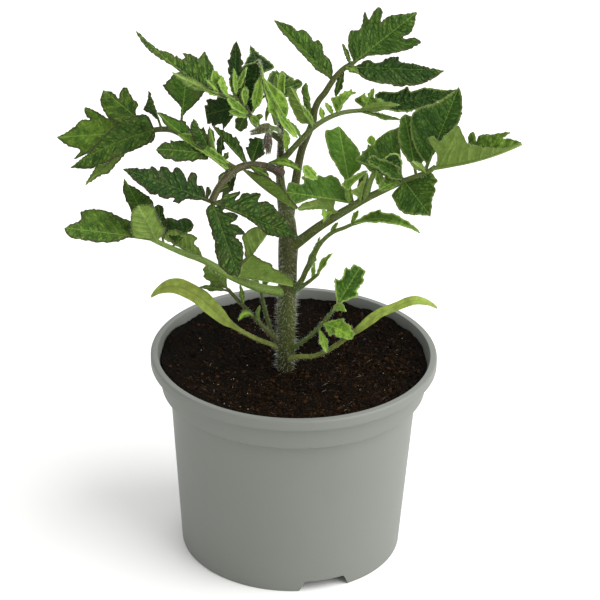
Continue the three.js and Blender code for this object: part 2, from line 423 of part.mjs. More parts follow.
       "sides": [
        [[21, 113.6], [26, 115.9], [32, 116.4], [35.5, 117.2], [40.4, 118.8], [44.4, 121.3],
         [42.5, 122.7], [37.8, 122.6], [40.9, 125.3]],
        [[18.6, 114.6], [17.5, 119.5], [18.4, 124.9], [21.6, 125.5], [23.5, 132.2], [25, 129.2],
         [27, 132.9], [28.8, 134], [30, 132], [29.4, 128.4], [31.7, 130.4], [35.8, 131.3]],
       ]},
      {"at": [17, 111.5], "tip": [53.2, 110.9, 22], "face": 18, "fold": 30, "bow": 0.0, "stem": 3,
       "sides": [
        [[22, 108.5], [26, 106.6], [31, 105.9], [37, 105.3], [43, 105.5], [49, 107.7]],
        [[21.5, 112.5], [24.5, 114.3], [29, 113.3], [32.3, 115.3], [36.4, 115.6], [36.4, 114.2],
         [42, 113.3], [48, 111.8]],
       ]},
      {"at": [12.5, 106.8], "tip": [-9.7, 128.2, 18], "face": 30, "fold": 55, "bow": 0.0, "stem": 1.5,
       "sides": [
        [[9.5, 108.1], [6, 110.5], [1, 115.8], [-4, 120.8], [-8, 125]],
        [[12.2, 110.5], [11.3, 113.8], [8.8, 116.6], [8.3, 119], [6.7, 121.3], [5, 120.8],
         [3.3, 123.6], [1, 125.2], [-1, 124.6], [-3.5, 126.4]],
       ]},
      {"at": [16, 110.8], "tip": [13.3, 100.3, 12], "face": 20, "fold": 30, "bow": 0.0, "stem": 1,
       "width": 4.4, "lobes": 1, "cut": 0.2, "skew": 0.0, "blunt": 0.8},
      {"at": [18.6, 112.5], "tip": [15.6, 120, 12], "face": 20, "fold": 30, "bow": 0.0, "stem": 1,
       "width": 2.8, "lobes": 1, "cut": 0.2, "skew": 0.0, "blunt": 0.8},
      {"at": [16.2, 111], "tip": [21.5, 109.3, 10], "face": 20, "fold": 30, "bow": 0.1, "stem": 1,
       "width": 3.6, "lobes": 1, "cut": 0.2, "skew": 0.0, "blunt": 1.0},
      {"at": [5.0, 90.5], "tip": [2.5, 105.5, 13], "face": 10, "fold": 25, "bow": 0.0, "stem": 3,
       "sides": [
        [[3.7, 93.2], [2.6, 95.7], [1.6, 97.6], [1.2, 100.5], [0.9, 103.1], [1.6, 104.7]],
        [[5.2, 93.2], [4.4, 96.2], [3.8, 99.5], [3.3, 102.8], [3.1, 104.4]],
       ]},
    ],
  },
  {
    "node": "leaf_upper_right", "thick": [1.1, 0.7],
    "stalk": [
      [-6.4, 76.5, 0.5], [-4, 78.8, -1.5], [0, 83.4, -2.5], [5, 88.7, -1], [10, 92.2, 2],
      [15, 94.4, 5], [20, 95.4, 8], [25, 95.7, 11], [28, 95.9, 13],
    ],
    "leaflets": [
      {"at": [28, 95.9], "tip": [58.7, 104.3, 20], "face": 25, "fold": 26, "bow": 0, "stem": 0.6,
       "sides": [
        [[32.8, 96], [36.5, 95.5], [40.2, 95.5], [43.5, 96.2], [50, 98.7], [55, 101.4]],
        [[28.3, 99], [27.9, 101.7], [29.7, 103], [33, 102.8], [36.6, 103], [39.8, 105], [40.6, 103.2],
         [46.2, 104.6], [50, 104.1], [54.6, 103.8]],
       ]},
      {"at": [24, 95.7], "tip": [27.3, 104, 14], "face": 10, "fold": 20, "bow": 0.0, "stem": 1,
       "sides": [
        [[20.2, 96.1], [19.1, 97.9], [20.2, 99.6], [21.6, 100.6], [23.1, 101.5], [24.1, 102.3],
         [24.3, 101.4], [24.9, 100.6], [25.6, 102.5], [26.7, 103.4]],
        [[27.9, 96.6], [30.5, 97.4], [30.8, 99.3], [29.7, 100.4], [28.2, 100.1], [27.4, 100.7],
         [27.7, 102.5]],
       ]},
      {"at": [21, 95.5], "tip": [37, 98, 5], "face": 160, "fold": 30, "bow": 0.03, "stem": 1, "width": 5,
       "lobes": 1, "cut": 0.2, "skew": 0.0, "blunt": 0.8},
      {"at": [23, 95.6], "tip": [38.8, 92.5, 6], "face": 40, "fold": 60, "bow": -0.04, "stem": 2,
       "width": 4.4, "lobes": 1, "cut": 0.2, "skew": -0.2, "blunt": 0.7},
      {"at": [14, 94.1], "tip": [19.3, 103.6, 8], "face": 10, "fold": 30, "bow": 0.0, "stem": 1,
       "sides": [
        [[13.2, 95.6], [12.3, 97.8], [11.5, 100.2], [12.8, 100.4], [14.2, 100.8], [15.3, 101.7],
         [16.8, 102.7], [17.9, 102.5]],
        [[15.4, 95.6], [16.5, 97.9], [17.8, 99.7], [19.4, 101.3], [20.7, 101.8], [20.8, 102.5],
         [19.4, 102.5]],
       ]},
      {"at": [13, 93.7], "tip": [9.7, 98.2, 1], "face": 10, "fold": 30, "bow": 0.0, "stem": 1,
       "width": 3, "lobes": 1, "cut": 0.4, "skew": 0.0, "blunt": 0.9},
      {"at": [9, 91.6], "tip": [8, 96.6, 0], "face": 10, "fold": 30, "bow": 0.0, "stem": 1, "width": 2.6,
       "lobes": 0, "cut": 0, "skew": 0.0, "blunt": 0.9},
      {"at": [5, 88.6], "tip": [-3.3, 103.7, 3], "face": 165, "fold": 20, "bow": 0.0, "stem": 2,
       "sides": [
        [[2.7, 89.1], [0.5, 90.9], [-1.4, 93.5], [-3.0, 96.4], [-4.0, 99.7], [-4.2, 101.9]],
        [[3.8, 90.2], [1.9, 92.4], [0.7, 95.0], [0.1, 97.9], [-0.5, 100.5], [-1.6, 102.7]],
       ]},
      {"at": [1.5, 85], "tip": [-4, 92, -6], "face": 30, "fold": 40, "bow": 0.0, "stem": 0.5,
       "width": 2.6, "lobes": 1, "cut": 0.2, "skew": 0.0, "blunt": 0.5},
    ],
  },
  {
    "node": "leaf_right", "thick": [1.9, 0.85],
    "stalk": [
      [-3, 44.5, 0], [0.6, 46.7, -2], [8.2, 52.6, -6], [18.4, 59.1, -11], [25.5, 63.4, -14],
      [30.8, 66.1, -16], [37.7, 69.4, -18.5], [43, 71.6, -20], [48, 73.6, -21.5], [50.5, 75.5, -22],
    ],
    "leaflets": [
      {"at": [50.5, 75.5], "tip": [82.1, 85, -30], "face": 85, "fold": 130, "bow": -0.045, "stem": 0.6,
       "sides": [
        [[50.2, 80], [45.4, 86.6], [47.2, 87.5], [50, 85.4], [52.5, 88.4], [55.8, 90.3], [58.3, 91.1],
         [60.6, 87], [62.2, 84.2], [65.1, 83.8], [68, 83.2], [72, 82.8], [76, 82.9], [79.5, 84]],
        [[57, 82], [62, 84.6], [62, 87.7], [63.9, 89.4], [65.1, 87.6], [65.2, 85.4], [66.6, 87.8],
         [69.9, 88.4], [73.5, 88.9], [78.5, 89.3], [76.5, 87.4], [75.4, 86.8], [78, 86.7], [80.1, 86]],
       ]},
      {"at": [46.5, 73], "tip": [58.7, 105.1, -12], "face": 5, "fold": 22, "bow": 0, "stem": 5,
       "sides": [
        [[49, 79], [54, 84.5], [57.5, 88.5], [58.8, 91.3], [59.9, 95.4], [60.1, 99], [59.5, 103]],
        [[45, 79], [42.2, 84], [41, 89], [41.2, 94], [44, 97], [48, 98], [52, 99.7], [56, 102.6]],
       ]},
      {"at": [44, 72], "tip": [38.9, 94.6, -10], "face": 5, "fold": 20, "bow": 0, "stem": 4,
       "sides": [
        [[41.2, 76.5], [39.6, 78.6], [37.6, 82], [36.5, 86], [36.9, 90.3], [37.5, 93.2]],
        [[46, 77], [48, 83], [46, 88], [43, 91.8], [40.7, 94.2]],
       ]},
      {"at": [40, 70.3], "tip": [21.2, 77.4, -15], "face": 8, "fold": 16, "bow": 0, "stem": 2,
       "sides": [
        [[36.2, 69.9], [33.3, 71.0], [30.3, 72.2], [28.4, 72.7], [26.6, 73.2], [25.1, 74.9],
         [22.8, 76.3]],
        [[38.4, 73.3], [37.9, 77.7], [37.7, 81.4], [37.6, 85.8], [37.3, 90.1], [35.5, 89.4],
         [32.9, 88.3], [30.7, 86.8], [28.9, 85.4], [27.8, 84.3], [26.8, 83.0], [25.6, 83.3],
         [25.1, 81.3], [23.5, 80.7], [23.2, 79.2], [22.1, 78.7]],
       ]},
      {"at": [39, 70], "tip": [25.4, 77.6, -24], "face": 20, "fold": 60, "bow": 0.05, "stem": 1,
       "sides": [
        [[37.0, 70.3], [34.4, 71.0], [32.1, 72.4], [29.5, 74.2], [27.3, 75.6], [25.8, 76.7]],
        [[37.7, 71.8], [36.9, 74.7], [35.4, 76.6], [33.1, 77.4], [30.5, 77.9], [28.3, 79.0],
         [26.5, 78.8]],
       ]},
      {"at": [38.8, 70], "tip": [49.2, 57.3, -34], "face": 5, "fold": 15, "bow": 0, "stem": 0.8,
       "sides": [
        [[36.2, 69.9], [33.3, 69.9], [31.8, 68.7], [32.6, 66.6], [34.5, 64.6], [35.6, 63.3],
         [36.2, 61.1], [37.6, 59.3], [39.8, 58.1], [42.8, 57.6], [46.1, 57.5]],
        [[39.5, 71.9], [40.9, 73.9], [43.1, 74.8], [45.3, 74.6], [47.9, 73.9], [50.2, 72.4],
         [51.3, 70.8], [50.2, 69.1], [50.7, 66.9], [49.8, 64.3], [49.7, 61.0]],
       ]},
      {"at": [38, 69.6], "tip": [29.8, 66.3, -27], "face": 30, "fold": 30, "bow": 0.05, "stem": 1,
       "width": 6, "lobes": 1, "cut": 0.15, "skew": 0.0, "blunt": 0.9},
      {"at": [21, 60.8], "tip": [14.7, 89.7, -4], "face": 5, "fold": 16, "bow": 0, "stem": 9,
       "sides": [
        [[16.3, 71.4], [14.0, 75.0], [12.1, 77.9], [11.0, 80.8], [10.2, 84.1], [9.7, 86.9],
         [10.3, 88.2], [11.9, 88.3]],
        [[20.4, 71.5], [21.8, 73.0], [23.3, 74.5], [23.6, 77.4], [23.1, 79.6], [21.6, 82.2],
         [19.7, 84.3], [17.8, 86.5], [16.0, 88.7]],
       ]},
      {"at": [22.5, 61.8], "tip": [-4.2, 65.0, -14], "face": 18, "fold": 18, "bow": 0, "stem": 5,
       "sides": [
        [[17.9, 65.0], [16.1, 64.0], [15.4, 65.1], [13.2, 64.3], [12.4, 63.4], [10.2, 63.5],
         [5.8, 62.9], [2.2, 61.7], [-0.4, 60.8], [-2.3, 62.1]],
        [[18.6, 66.3], [16.4, 67.7], [15.6, 69.5], [14.9, 70.6], [13.7, 71.5], [11.9, 72.1],
         [10.4, 71.1], [8.2, 71.6], [6.8, 71.2], [4.6, 70.4], [2.0, 71.0], [1.4, 70.5], [2.4, 69.2],
         [2.0, 68.1], [-0.9, 68.4], [-3.1, 68.6]],
       ]},
      {"at": [15.5, 57.4], "tip": [0.2, 58.8, -13], "face": 150, "fold": 20, "bow": 0.12, "stem": 2,
       "sides": [
        [[12.9, 59.0], [10.3, 58.9], [6.6, 58.9], [3.0, 58.6], [1.1, 58.3]],
        [[13.4, 59.5], [12.8, 63.0], [10.2, 63.4], [7.7, 62.9], [5.5, 62.1], [3.3, 61.3], [1.8, 60.2]],
       ]},
      {"at": [15.2, 57.2], "tip": [9.8, 54.2, -13], "face": 30, "fold": 20, "bow": 0.4, "stem": 2,
       "width": 2.6, "lobes": 0, "cut": 0, "skew": 0.0, "blunt": 0.7},
      {"at": [25.3, 63.3], "tip": [28.5, 74.5, -14], "face": 30, "fold": 30, "bow": 0.0, "stem": 7,
       "width": 3, "lobes": 1, "cut": 0.3, "skew": 0.0, "blunt": 0.7},
      {"at": [22.5, 61.8], "tip": [25, 73.6, -8], "face": 30, "fold": 30, "bow": 0.1, "stem": 4,
       "width": 3.4, "lobes": 1, "cut": 0.3, "skew": 0.0, "blunt": 0.7},
      {"at": [19.5, 59.9], "tip": [17.8, 69.8, -16], "face": 30, "fold": 30, "bow": 0.0, "stem": 3,
       "width": 4.4, "lobes": 2, "cut": 0.3, "skew": 0.0, "blunt": 0.9},
      {"at": [47, 73.2], "tip": [42, 77.3, -27], "face": 160, "fold": 30, "bow": 0.0, "stem": 1,
       "width": 4, "lobes": 1, "cut": 0.3, "skew": 0.0, "blunt": 0.9},
    ],
  },
  {
    "node": "leaf_axil_right", "thick": [1.1, 0.65],
    "stalk": [
      [-3, 27.5, 0], [1.4, 31.3, -2.5], [4.1, 37, -5], [6, 41, -7], [9, 46.5, -9], [13, 50.4, -11],
      [17, 52.1, -12], [21, 54, -13],
    ],
    "leaflets": [
      {"at": [21, 54], "tip": [45.6, 51, -20], "face": 35, "fold": 40, "bow": 0.13, "stem": 0.5,
       "width": 7, "lobes": 2, "cut": 0.3, "skew": 0.2, "blunt": 0.7},
      {"at": [3, 34.5], "tip": [8.6, 49, -2], "face": 30, "fold": 30, "bow": -0.05, "stem": 1,
       "width": 4.4, "lobes": 1, "cut": 0.2, "skew": 0.0, "blunt": 0.7},
      {"at": [20.5, 53.7], "tip": [22.6, 58.9, -10], "face": 30, "fold": 30, "bow": 0.0, "stem": 0.7,
       "width": 3, "lobes": 1, "cut": 0.3, "skew": 0.0, "blunt": 0.8},
      {"at": [12, 49.6], "tip": [15.2, 54.4, -7], "face": 30, "fold": 30, "bow": 0.0, "stem": 0.5,
       "width": 2.2, "lobes": 0, "cut": 0, "skew": 0.0, "blunt": 0.8},
    ],
  },
  {
    "node": "leaf_axil_right", "thick": [0.9, 0.6],
    "stalk": [
      [-3, 26.5, 0], [1.4, 29.7, -3], [5, 32.3, -6], [8.2, 35, -8.5],
    ],
    "leaflets": [
      {"at": [8.2, 35], "tip": [13.4, 42.9, -11], "face": 30, "fold": 40, "bow": 0.05, "stem": 0.3,
       "width": 4, "lobes": 1, "cut": 0.3, "skew": 0.0, "blunt": 0.5},
      {"at": [6.5, 33.5], "tip": [7, 39.2, -8], "face": 30, "fold": 30, "bow": 0.0, "stem": 0.5,
       "width": 2.6, "lobes": 1, "cut": 0.2, "skew": 0.0, "blunt": 0.6},
    ],
  },
  {
    "node": "leaf_basal_right", "thick": [0.85, 0.55],
    "stalk": [
      [-3, 6.6, 0], [1.5, 9, -3], [6.9, 13.2, -4], [12.4, 19.7, -3], [15.5, 23.9, -2],
    ],
    "leaflets": [
      {"at": [15.5, 23.9], "tip": [23.8, 38.1, 5], "face": 5, "fold": 15, "bow": 0.0, "stem": 0.6,
       "width": 14, "lobes": 2, "cut": 0.5, "skew": 0.0, "blunt": 1.0},
      {"at": [10, 16.5], "tip": [21.4, 11.6, -13], "face": 20, "fold": 20, "bow": 0.06, "stem": 1,
       "width": 10, "lobes": 2, "cut": 0.35, "skew": 0.1, "blunt": 1.0},
      {"at": [13.5, 21.2], "tip": [18.8, 21.5, -9], "face": 20, "fold": 20, "bow": 0.2, "stem": 0.5,
       "width": 4.4, "lobes": 1, "cut": 0.3, "skew": 0.0, "blunt": 0.9},
      {"at": [9, 15.3], "tip": [11.8, 6.2, -12], "face": 20, "fold": 30, "bow": 0.05, "stem": 2.5,
       "width": 4.6, "lobes": 1, "cut": 0.3, "skew": 0.0, "blunt": 0.9},
    ],
  },
];

// Seed leaves: centre line with a width at each place, the stalk first
const SEED_LEAVES = [
  {
    "node": "cotyledon_left", "face": 18, "fold": 30,
    "line": [
      [-3.2, 6, 0], [-7.5, 8.4, -1], [-13, 10.3, -1], [-17, 12.1, -1], [-20.4, 13.9, -1],
      [-23, 15.5, -0.4], [-25.2, 16.8, 0], [-27.5, 18.8, 0.5], [-29.7, 20.8, 0.9], [-32, 22.7, 1.4],
      [-34.2, 24.8, 1.8], [-37, 26.6, 2.4], [-39.8, 28, 3], [-42.8, 29.2, 3.3], [-45.6, 29.4, 3.7],
      [-48, 28.8, 4], [-50.5, 27.6, 4], [-52.9, 25.4, 4],
    ],
    "width": [2, 1.9, 1.8, 1.8, 1.9, 2.5, 3.8, 5.2, 6, 6.5, 6.7, 6.4, 6.5, 6.5, 5.7, 4.5, 2.7, 0.8],
  },
  {
    "node": "cotyledon_right", "face": 22, "fold": 34,
    "line": [
      [-3, 3.6, -1], [-0.5, 4, -4], [2.5, 4.5, -6], [6.5, 4.6, -7], [11, 6.2, -8], [16, 9.3, -8.5],
      [19.1, 11.6, -8.2], [21.6, 13.4, -8], [24.1, 15.3, -8], [26.8, 17.5, -8], [29.2, 19.4, -8],
      [31.9, 21.3, -8], [35, 22.6, -8], [38.3, 23.9, -8], [41.4, 25.3, -8], [44.3, 26, -8],
      [47.1, 25.8, -8], [49.7, 25, -8], [52.2, 23.5, -8],
    ],
    "width": [2, 2, 1.9, 1.8, 1.8, 1.9, 1.9, 2, 2.9, 3.8, 4.1, 3.7, 3.6, 3.6, 3.9, 3.7, 3, 1.9, 0.8],
  },
];

// Flower buds near the apex: the stalks' centre lines, and each bud's ends and greatest radius
const BUD_STALKS = [
  [[-6.7, 87.4, 1.3], [-7.4, 88.1, -3], [-9, 88.6, -8], [-10.6, 89, -9]],
  [[-9, 88.6, -8], [-11.2, 87, -9], [-11.9, 84.6, -9.5]],
];
const BUD_STALK_RADIUS = 0.6;
const BUDS = [
  { "from": [-10.6, 89.6, -9], "to": [-17.9, 86.4, -10], "radius": 2.0 },
  { "from": [-11.4, 86.2, -9.5], "to": [-10.8, 78.8, -10], "radius": 1.8 },
];

// A place of the sight frame as a point of the model.
function seen([right, up, depth]) {
  const onPlane = new THREE.Vector3(
    right,
    up * Math.sin(EYE_ELEVATION),
    up * Math.cos(EYE_ELEVATION),
  ).add(STEM_FOOT);
  const share = (onPlane.y - depth) / (onPlane.y - EYE.y);
  return onPlane.lerp(EYE, share);
}

function smoothCurve(points) {
  return new THREE.CatmullRomCurve3(points, false, "catmullrom", 0.5);
}

// A repeatable draw between 0 and 1 for two whole numbers.
function draw(i, j) {
  const x = Math.sin(i * 12.9898 + j * 78.233) * 43758.5453;
  return x - Math.floor(x);
}

// A solid from a three.js geometry or from bare points and triangles, with its faces turned outward.
function solidOf(geometry) {
  const bare = geometry.clone();
  bare.deleteAttribute("normal");
  bare.deleteAttribute("uv");
  const merged = mergeVertices(bare, SAME_POINT);
  return closedSolid(merged.attributes.position.array, merged.index.array);
}

function closedSolid(coordinates, indices) {
  const make = (triangles) =>
    new wasm.Manifold(
      new wasm.Mesh({
        numProp: 3,
        vertProperties: new Float32Array(coordinates),
        triVerts: new Uint32Array(triangles),
      }),
    );
  const made = make(indices);
  if (made.volume() > 0) return made;
  const turned = Array.from(indices);
  for (let i = 0; i < turned.length; i += 3) {
    [turned[i + 1], turned[i + 2]] = [turned[i + 2], turned[i + 1]];
  }
  return make(turned);
}

function join(solids) {
  return solids.reduce((whole, next) => whole.add(next));
}

// The largest body of a solid, without the scraps that a cut leaves.
function largestBody(solid) {
  const bodies = solid.decompose();
  return bodies.sort((a, b) => b.volume() - a.volume())[0];
}

// A round stalk along a curve whose radius follows radiusAt from 0 at its start to 1 at its end.
function taperedStalk(curve, steps, sides, radiusAt) {
  const section = new THREE.Shape();
  section.absarc(0, 0, 1, 0, 2 * Math.PI);
  const geometry = mergeVertices(
    new THREE.ExtrudeGeometry(section, {
      steps,
      curveSegments: sides / 2,
      bevelEnabled: false,
      extrudePath: curve,
    })
      .deleteAttribute("normal")
      .deleteAttribute("uv"),
    SAME_POINT,
  );
  const centres = curve.getSpacedPoints(steps);
  const place = geometry.attributes.position;
  const point = new THREE.Vector3();
  for (let i = 0; i < place.count; i += 1) {
    point.fromBufferAttribute(place, i);
    let nearest = 0;
    centres.forEach((centre, k) => {
      if (centre.distanceToSquared(point) < centres[nearest].distanceToSquared(point)) nearest = k;
    });
    point.sub(centres[nearest]).multiplyScalar(radiusAt(nearest / steps)).add(centres[nearest]);
    place.setXYZ(i, point.x, point.y, point.z);
  }
  return closedSolid(place.array, geometry.index.array);
}

// Main stem, larger all round by extra
function mainStem(extra) {
  const curve = smoothCurve(MAIN_STEM.map(seen));
  const steps = 26;
  const last = MAIN_RADII.length - 1;
  const lengths = curve.getLengths(last * 20);
  const whole = lengths[lengths.length - 1];
  const radiusAt = (share) => {
    const at = lengths.findIndex((length) => length >= share * whole - 1e-6) / 20;
    const k = Math.min(Math.floor(at), last - 1);
    return THREE.MathUtils.lerp(MAIN_RADII[k], MAIN_RADII[k + 1], at - k) + extra;
  };
  return taperedStalk(curve, steps, MAIN_STEM_SIDES, radiusAt);
}

// Axes of a leaflet: along its midrib, out of its upper surface, and across towards its upper edge.
function leafletAxes(base, tip, face) {
  const along = tip.clone().sub(base);
  const length = along.length();
  along.normalize();
  const sight = EYE.clone().sub(base.clone().lerp(tip, 0.5)).normalize();
  const toEye = sight.clone().addScaledVector(along, -sight.dot(along)).normalize();
  const aside = along.clone().cross(toEye);
  if (along.x >= 0) aside.negate();
  const turn = THREE.MathUtils.degToRad(face);
  const out = toEye.clone().multiplyScalar(Math.cos(turn)).addScaledVector(aside, Math.sin(turn));
  const across = aside.clone().multiplyScalar(Math.cos(turn)).addScaledVector(toEye, -Math.sin(turn));
  const rise = new THREE.Vector3(0, 0, 1).addScaledVector(along, -along.z);
  if (rise.length() < STEEPEST_RISE) rise.copy(across);
  rise.normalize();
  const hand = Math.sign(along.clone().cross(across).dot(out));
  return { along, out, across, rise, length, hand };
}

// The bent surface of a leaflet: x along the midrib, y away from it, side -1 lower or 1 upper.
function leafletSurface(leaflet, base, tip, seed) {
  const { along, out, across, rise, length, hand } = leafletAxes(base, tip, leaflet.face);
  const half = THREE.MathUtils.degToRad(leaflet.fold) / 2;
  const share = (x) => THREE.MathUtils.clamp(x / length, 0, 1);
  const midrib = (x) =>
    base
      .clone()
      .addScaledVector(along, x)
      .addScaledVector(rise, leaflet.bow * length * 4 * share(x) * (1 - share(x)));
  const axesAt = (x) => {
    const forward = along.clone().addScaledVector(rise, leaflet.bow * 4 * (1 - 2 * share(x))).normalize();
    const outward = out.clone().addScaledVector(forward, -out.dot(forward)).normalize();
    const sideways = outward.clone().cross(forward).multiplyScalar(hand);
    return { outward, sideways };
  };
  const place = (x, y, side, reach) => {
    const { outward, sideways } = axesAt(x);
    const lobe = y / reach;
    const u = THREE.MathUtils.clamp((x - leaflet.stem) / (length - leaflet.stem), 0, 1);
    const ripple = Math.sin(2 * Math.PI * (WAVES_PER_BLADE * u + draw(seed, side + 4)));
    const fade = Math.sin(Math.PI * Math.min(1, 1.2 * u));
    const lift = reach * (BLADE_WAVE * lobe ** 1.5 * ripple * fade - BLADE_CURL * lobe ** 2);
    return midrib(x)
      .addScaledVector(sideways, side * Math.cos(half) * y)
      .addScaledVector(outward, Math.sin(half) * y + lift);
  };
  const thickening = (x, y, side) => {
    const { outward, sideways } = axesAt(x);
    if (y === 0) return outward.multiplyScalar(1 / Math.max(Math.cos(half), SHARPEST_FOLD));
    return outward.multiplyScalar(Math.cos(half)).addScaledVector(sideways, -side * Math.sin(half));
  };
  // The place on one half of the bent blade that lies behind a point [right, up] of the sight frame.
  const behind = ([right, up], side) => {
    const { outward, sideways } = axesAt(length / 2);
    const over = sideways.clone().multiplyScalar(side * Math.cos(half));
    over.addScaledVector(outward, Math.sin(half));
    const ray = seen([right, up, 0]).sub(EYE);
    const solve = new THREE.Matrix3();
    let x = length / 2;
    let y = 0;
    for (let pass = 0; pass < 3; pass += 1) {
      const shift = midrib(x).addScaledVector(along, -x);
      const toBase = shift.sub(EYE);
      solve.set(ray.x, -along.x, -over.x, ray.y, -along.y, -over.y, ray.z, -along.z, -over.z);
      const found = toBase.applyMatrix3(solve.invert());
      x = found.y;
      y = found.z;
    }
    return [x, y];
  };
  return { place, thickening, behind, length };
}

// Half width of a plain leaflet at u from its base to its tip, 1 where it is widest
function envelope(u, blunt) {
  const widest = WIDEST_AT + BLUNT_WIDENING * blunt;
  const end = END_TAPER - BLUNT_TAPERING * blunt;
  const start = (BASE_TAPER * end * widest) / (1 - widest);
  return Math.min(1, (u / widest) ** start * ((1 - u) / (1 - widest)) ** end);
}

// Outline of one half of a leaflet of given width and lobes: points [x, y] from the base to the tip
function lobedOutline(leaflet, length, side, seed) {
  const reach = (leaflet.width / 2) * (1 + side * leaflet.skew);
  const marks = [];
  for (let k = 0; k < leaflet.lobes; k += 1) {
    const spacing = LOBED_SHARE / leaflet.lobes;
    const tip = FIRST_LOBE + spacing * (k + 0.62 + 0.24 * (draw(seed, k + 7) - 0.5));
    const gap = FIRST_LOBE + spacing * (k + 1.0 + 0.12 * (draw(seed + 3, k + 5) - 0.5));
    const size = 1.0 + 0.24 * (draw(seed + 9, k + 3 * side) - 0.5);
    marks.push([tip, size], [gap, 1 - leaflet.cut * (1 - 0.45 * gap)]);
  }
  if (leaflet.lobes > 0) marks.push([marks[marks.length - 1][0] + 0.1, 1.0]);
  else marks.push([0.1, 1], [0.25, 1], [0.45, 1], [0.65, 1]);
  marks.push([0.82, 1.0], [0.93, 1.0]);
  return marks.map(([u, size]) => {
    const y = envelope(u, leaflet.blunt) * size * reach;
    const sweep = THREE.MathUtils.degToRad(VEIN_ANGLE_AT_BASE - VEIN_ANGLE_LOSS * u);
    const x = leaflet.stem + (length - leaflet.stem) * u + y * Math.cos(sweep);
    return [Math.min(x, length - 0.2), y * Math.sin(sweep)];
  });
}

// The two outlines of a leaflet's halves, lower and upper, whichever way it is described
function outlines(leaflet, surface, seed) {
  if (!leaflet.sides) return [-1, 1].map((side) => lobedOutline(leaflet, surface.length, side, seed));
  const fit = (points, side) => points.map((point) => surface.behind(point, side));
  const spread = (halves) => halves.flat().reduce((sum, [, y]) => sum + y, 0);
  const [first, second] = leaflet.sides;
  const asListed = [fit(first, -1), fit(second, 1)];
  const swapped = [fit(second, -1), fit(first, 1)];
  const halves = spread(asListed) >= spread(swapped) ? asListed : swapped;
  return halves.map((half) => half.map(([x, y]) => [x, Math.max(y, NARROWEST_HALF)]));
}

// A leaflet as one closed blade that starts on its stalk's centre line.
function leafletSolid(leaflet, base, seed) {
  const tip = seen(leaflet.tip);
  const surface = leafletSurface(leaflet, base, tip, seed);
  const { length } = surface;
  const stalked = leaflet.stem > LONGEST_HIDDEN_STALK;
  const rib = stalked ? [0, leaflet.stem] : [0];
  const bends = leaflet.bow === 0 ? [0.5, 1] : [0.25, 0.5, 0.75, 1];
  for (const share of bends) rib.push(leaflet.stem + (length - leaflet.stem) * share);
  const points = rib.map((x) => [x, 0, 1]);
  const triangles = [];
  const rims = outlines(leaflet, surface, seed).map((outline, k) => {
    const side = k === 0 ? -1 : 1;
    const first = points.length;
    const edge = [[0, LEAFLET_STALK_RADIUS], ...outline];
    if (stalked) edge.splice(1, 0, [leaflet.stem, LEAFLET_STALK_RADIUS]);
    edge.forEach(([x, y]) => points.push([x, y, side]));
    const rim = edge.map((_, i) => first + i);
    const ring = [...rib.keys(), ...rim.slice().reverse()];
    const flat = ring.map((i) => {
      const [x, y] = points[i];
      return new THREE.Vector2(x, y === 0 ? -0.05 * Math.sin((Math.PI * x) / length) : y);
    });
    for (const [a, b, c] of THREE.ShapeUtils.triangulateShape(flat, [])) {
      const turn = flat[b].clone().sub(flat[a]).cross(flat[c].clone().sub(flat[a]));
      const face = turn * side > 0 ? [a, b, c] : [a, c, b];
      triangles.push(face.map((i) => ring[i]));
    }
    return rim;
  });
  const reach = [-1, 1].map((side) => Math.max(...points.filter((p) => p[2] === side).map((p) => p[1])));
  const coordinates = [];
  for (const level of [BLADE_THICKNESS / 2, -BLADE_THICKNESS / 2]) {
    for (const [x, y, side] of points) {
      const at = surface.place(x, y, side, reach[side === -1 ? 0 : 1]);
      coordinates.push(...at.addScaledVector(surface.thickening(x, y, side), level).toArray());
    }
  }
  const count = points.length;
  const indices = [];
  for (const [a, b, c] of triangles) indices.push(a, b, c, a + count, c + count, b + count);
  const loop = [0, ...rims[0], rib.length - 1, ...rims[1].slice().reverse()];
  loop.forEach((a, i) => {
    const b = loop[(i + 1) % loop.length];
    indices.push(a, a + count, b, b, a + count, b + count);
  });
  return closedSolid(coordinates, indices);
}

// One compound leaf or one of its branches: its stalk with every leaflet rooted in it.
function leafSolid(leaf, number) {
  const sketch = smoothCurve(leaf.stalk.map((p) => new THREE.Vector3(...p)));
  const samples = sketch.getSpacedPoints(60);
  const line = samples.filter((_, i) => i % 4 === 0).map((p) => seen(p.toArray()));
  const curve = smoothCurve(line);
  const steps = Math.max(3, Math.round(curve.getLength() / STALK_STEP));
  const [first, last] = leaf.thick;
  const pieces = [taperedStalk(curve, steps, STALK_SIDES, (share) => first + (last - first) * share)];
  leaf.leaflets.forEach((leaflet, k) => {
    const [right, up] = leaflet.at;
    const away = (p) => (p.x - right) ** 2 + (p.y - up) ** 2;
    const root = samples.reduce((best, p) => (away(p) < away(best) ? p : best));
    pieces.push(leafletSolid(leaflet, seen(root.toArray()), number * 31 + k));
  });
  return join(pieces);
}

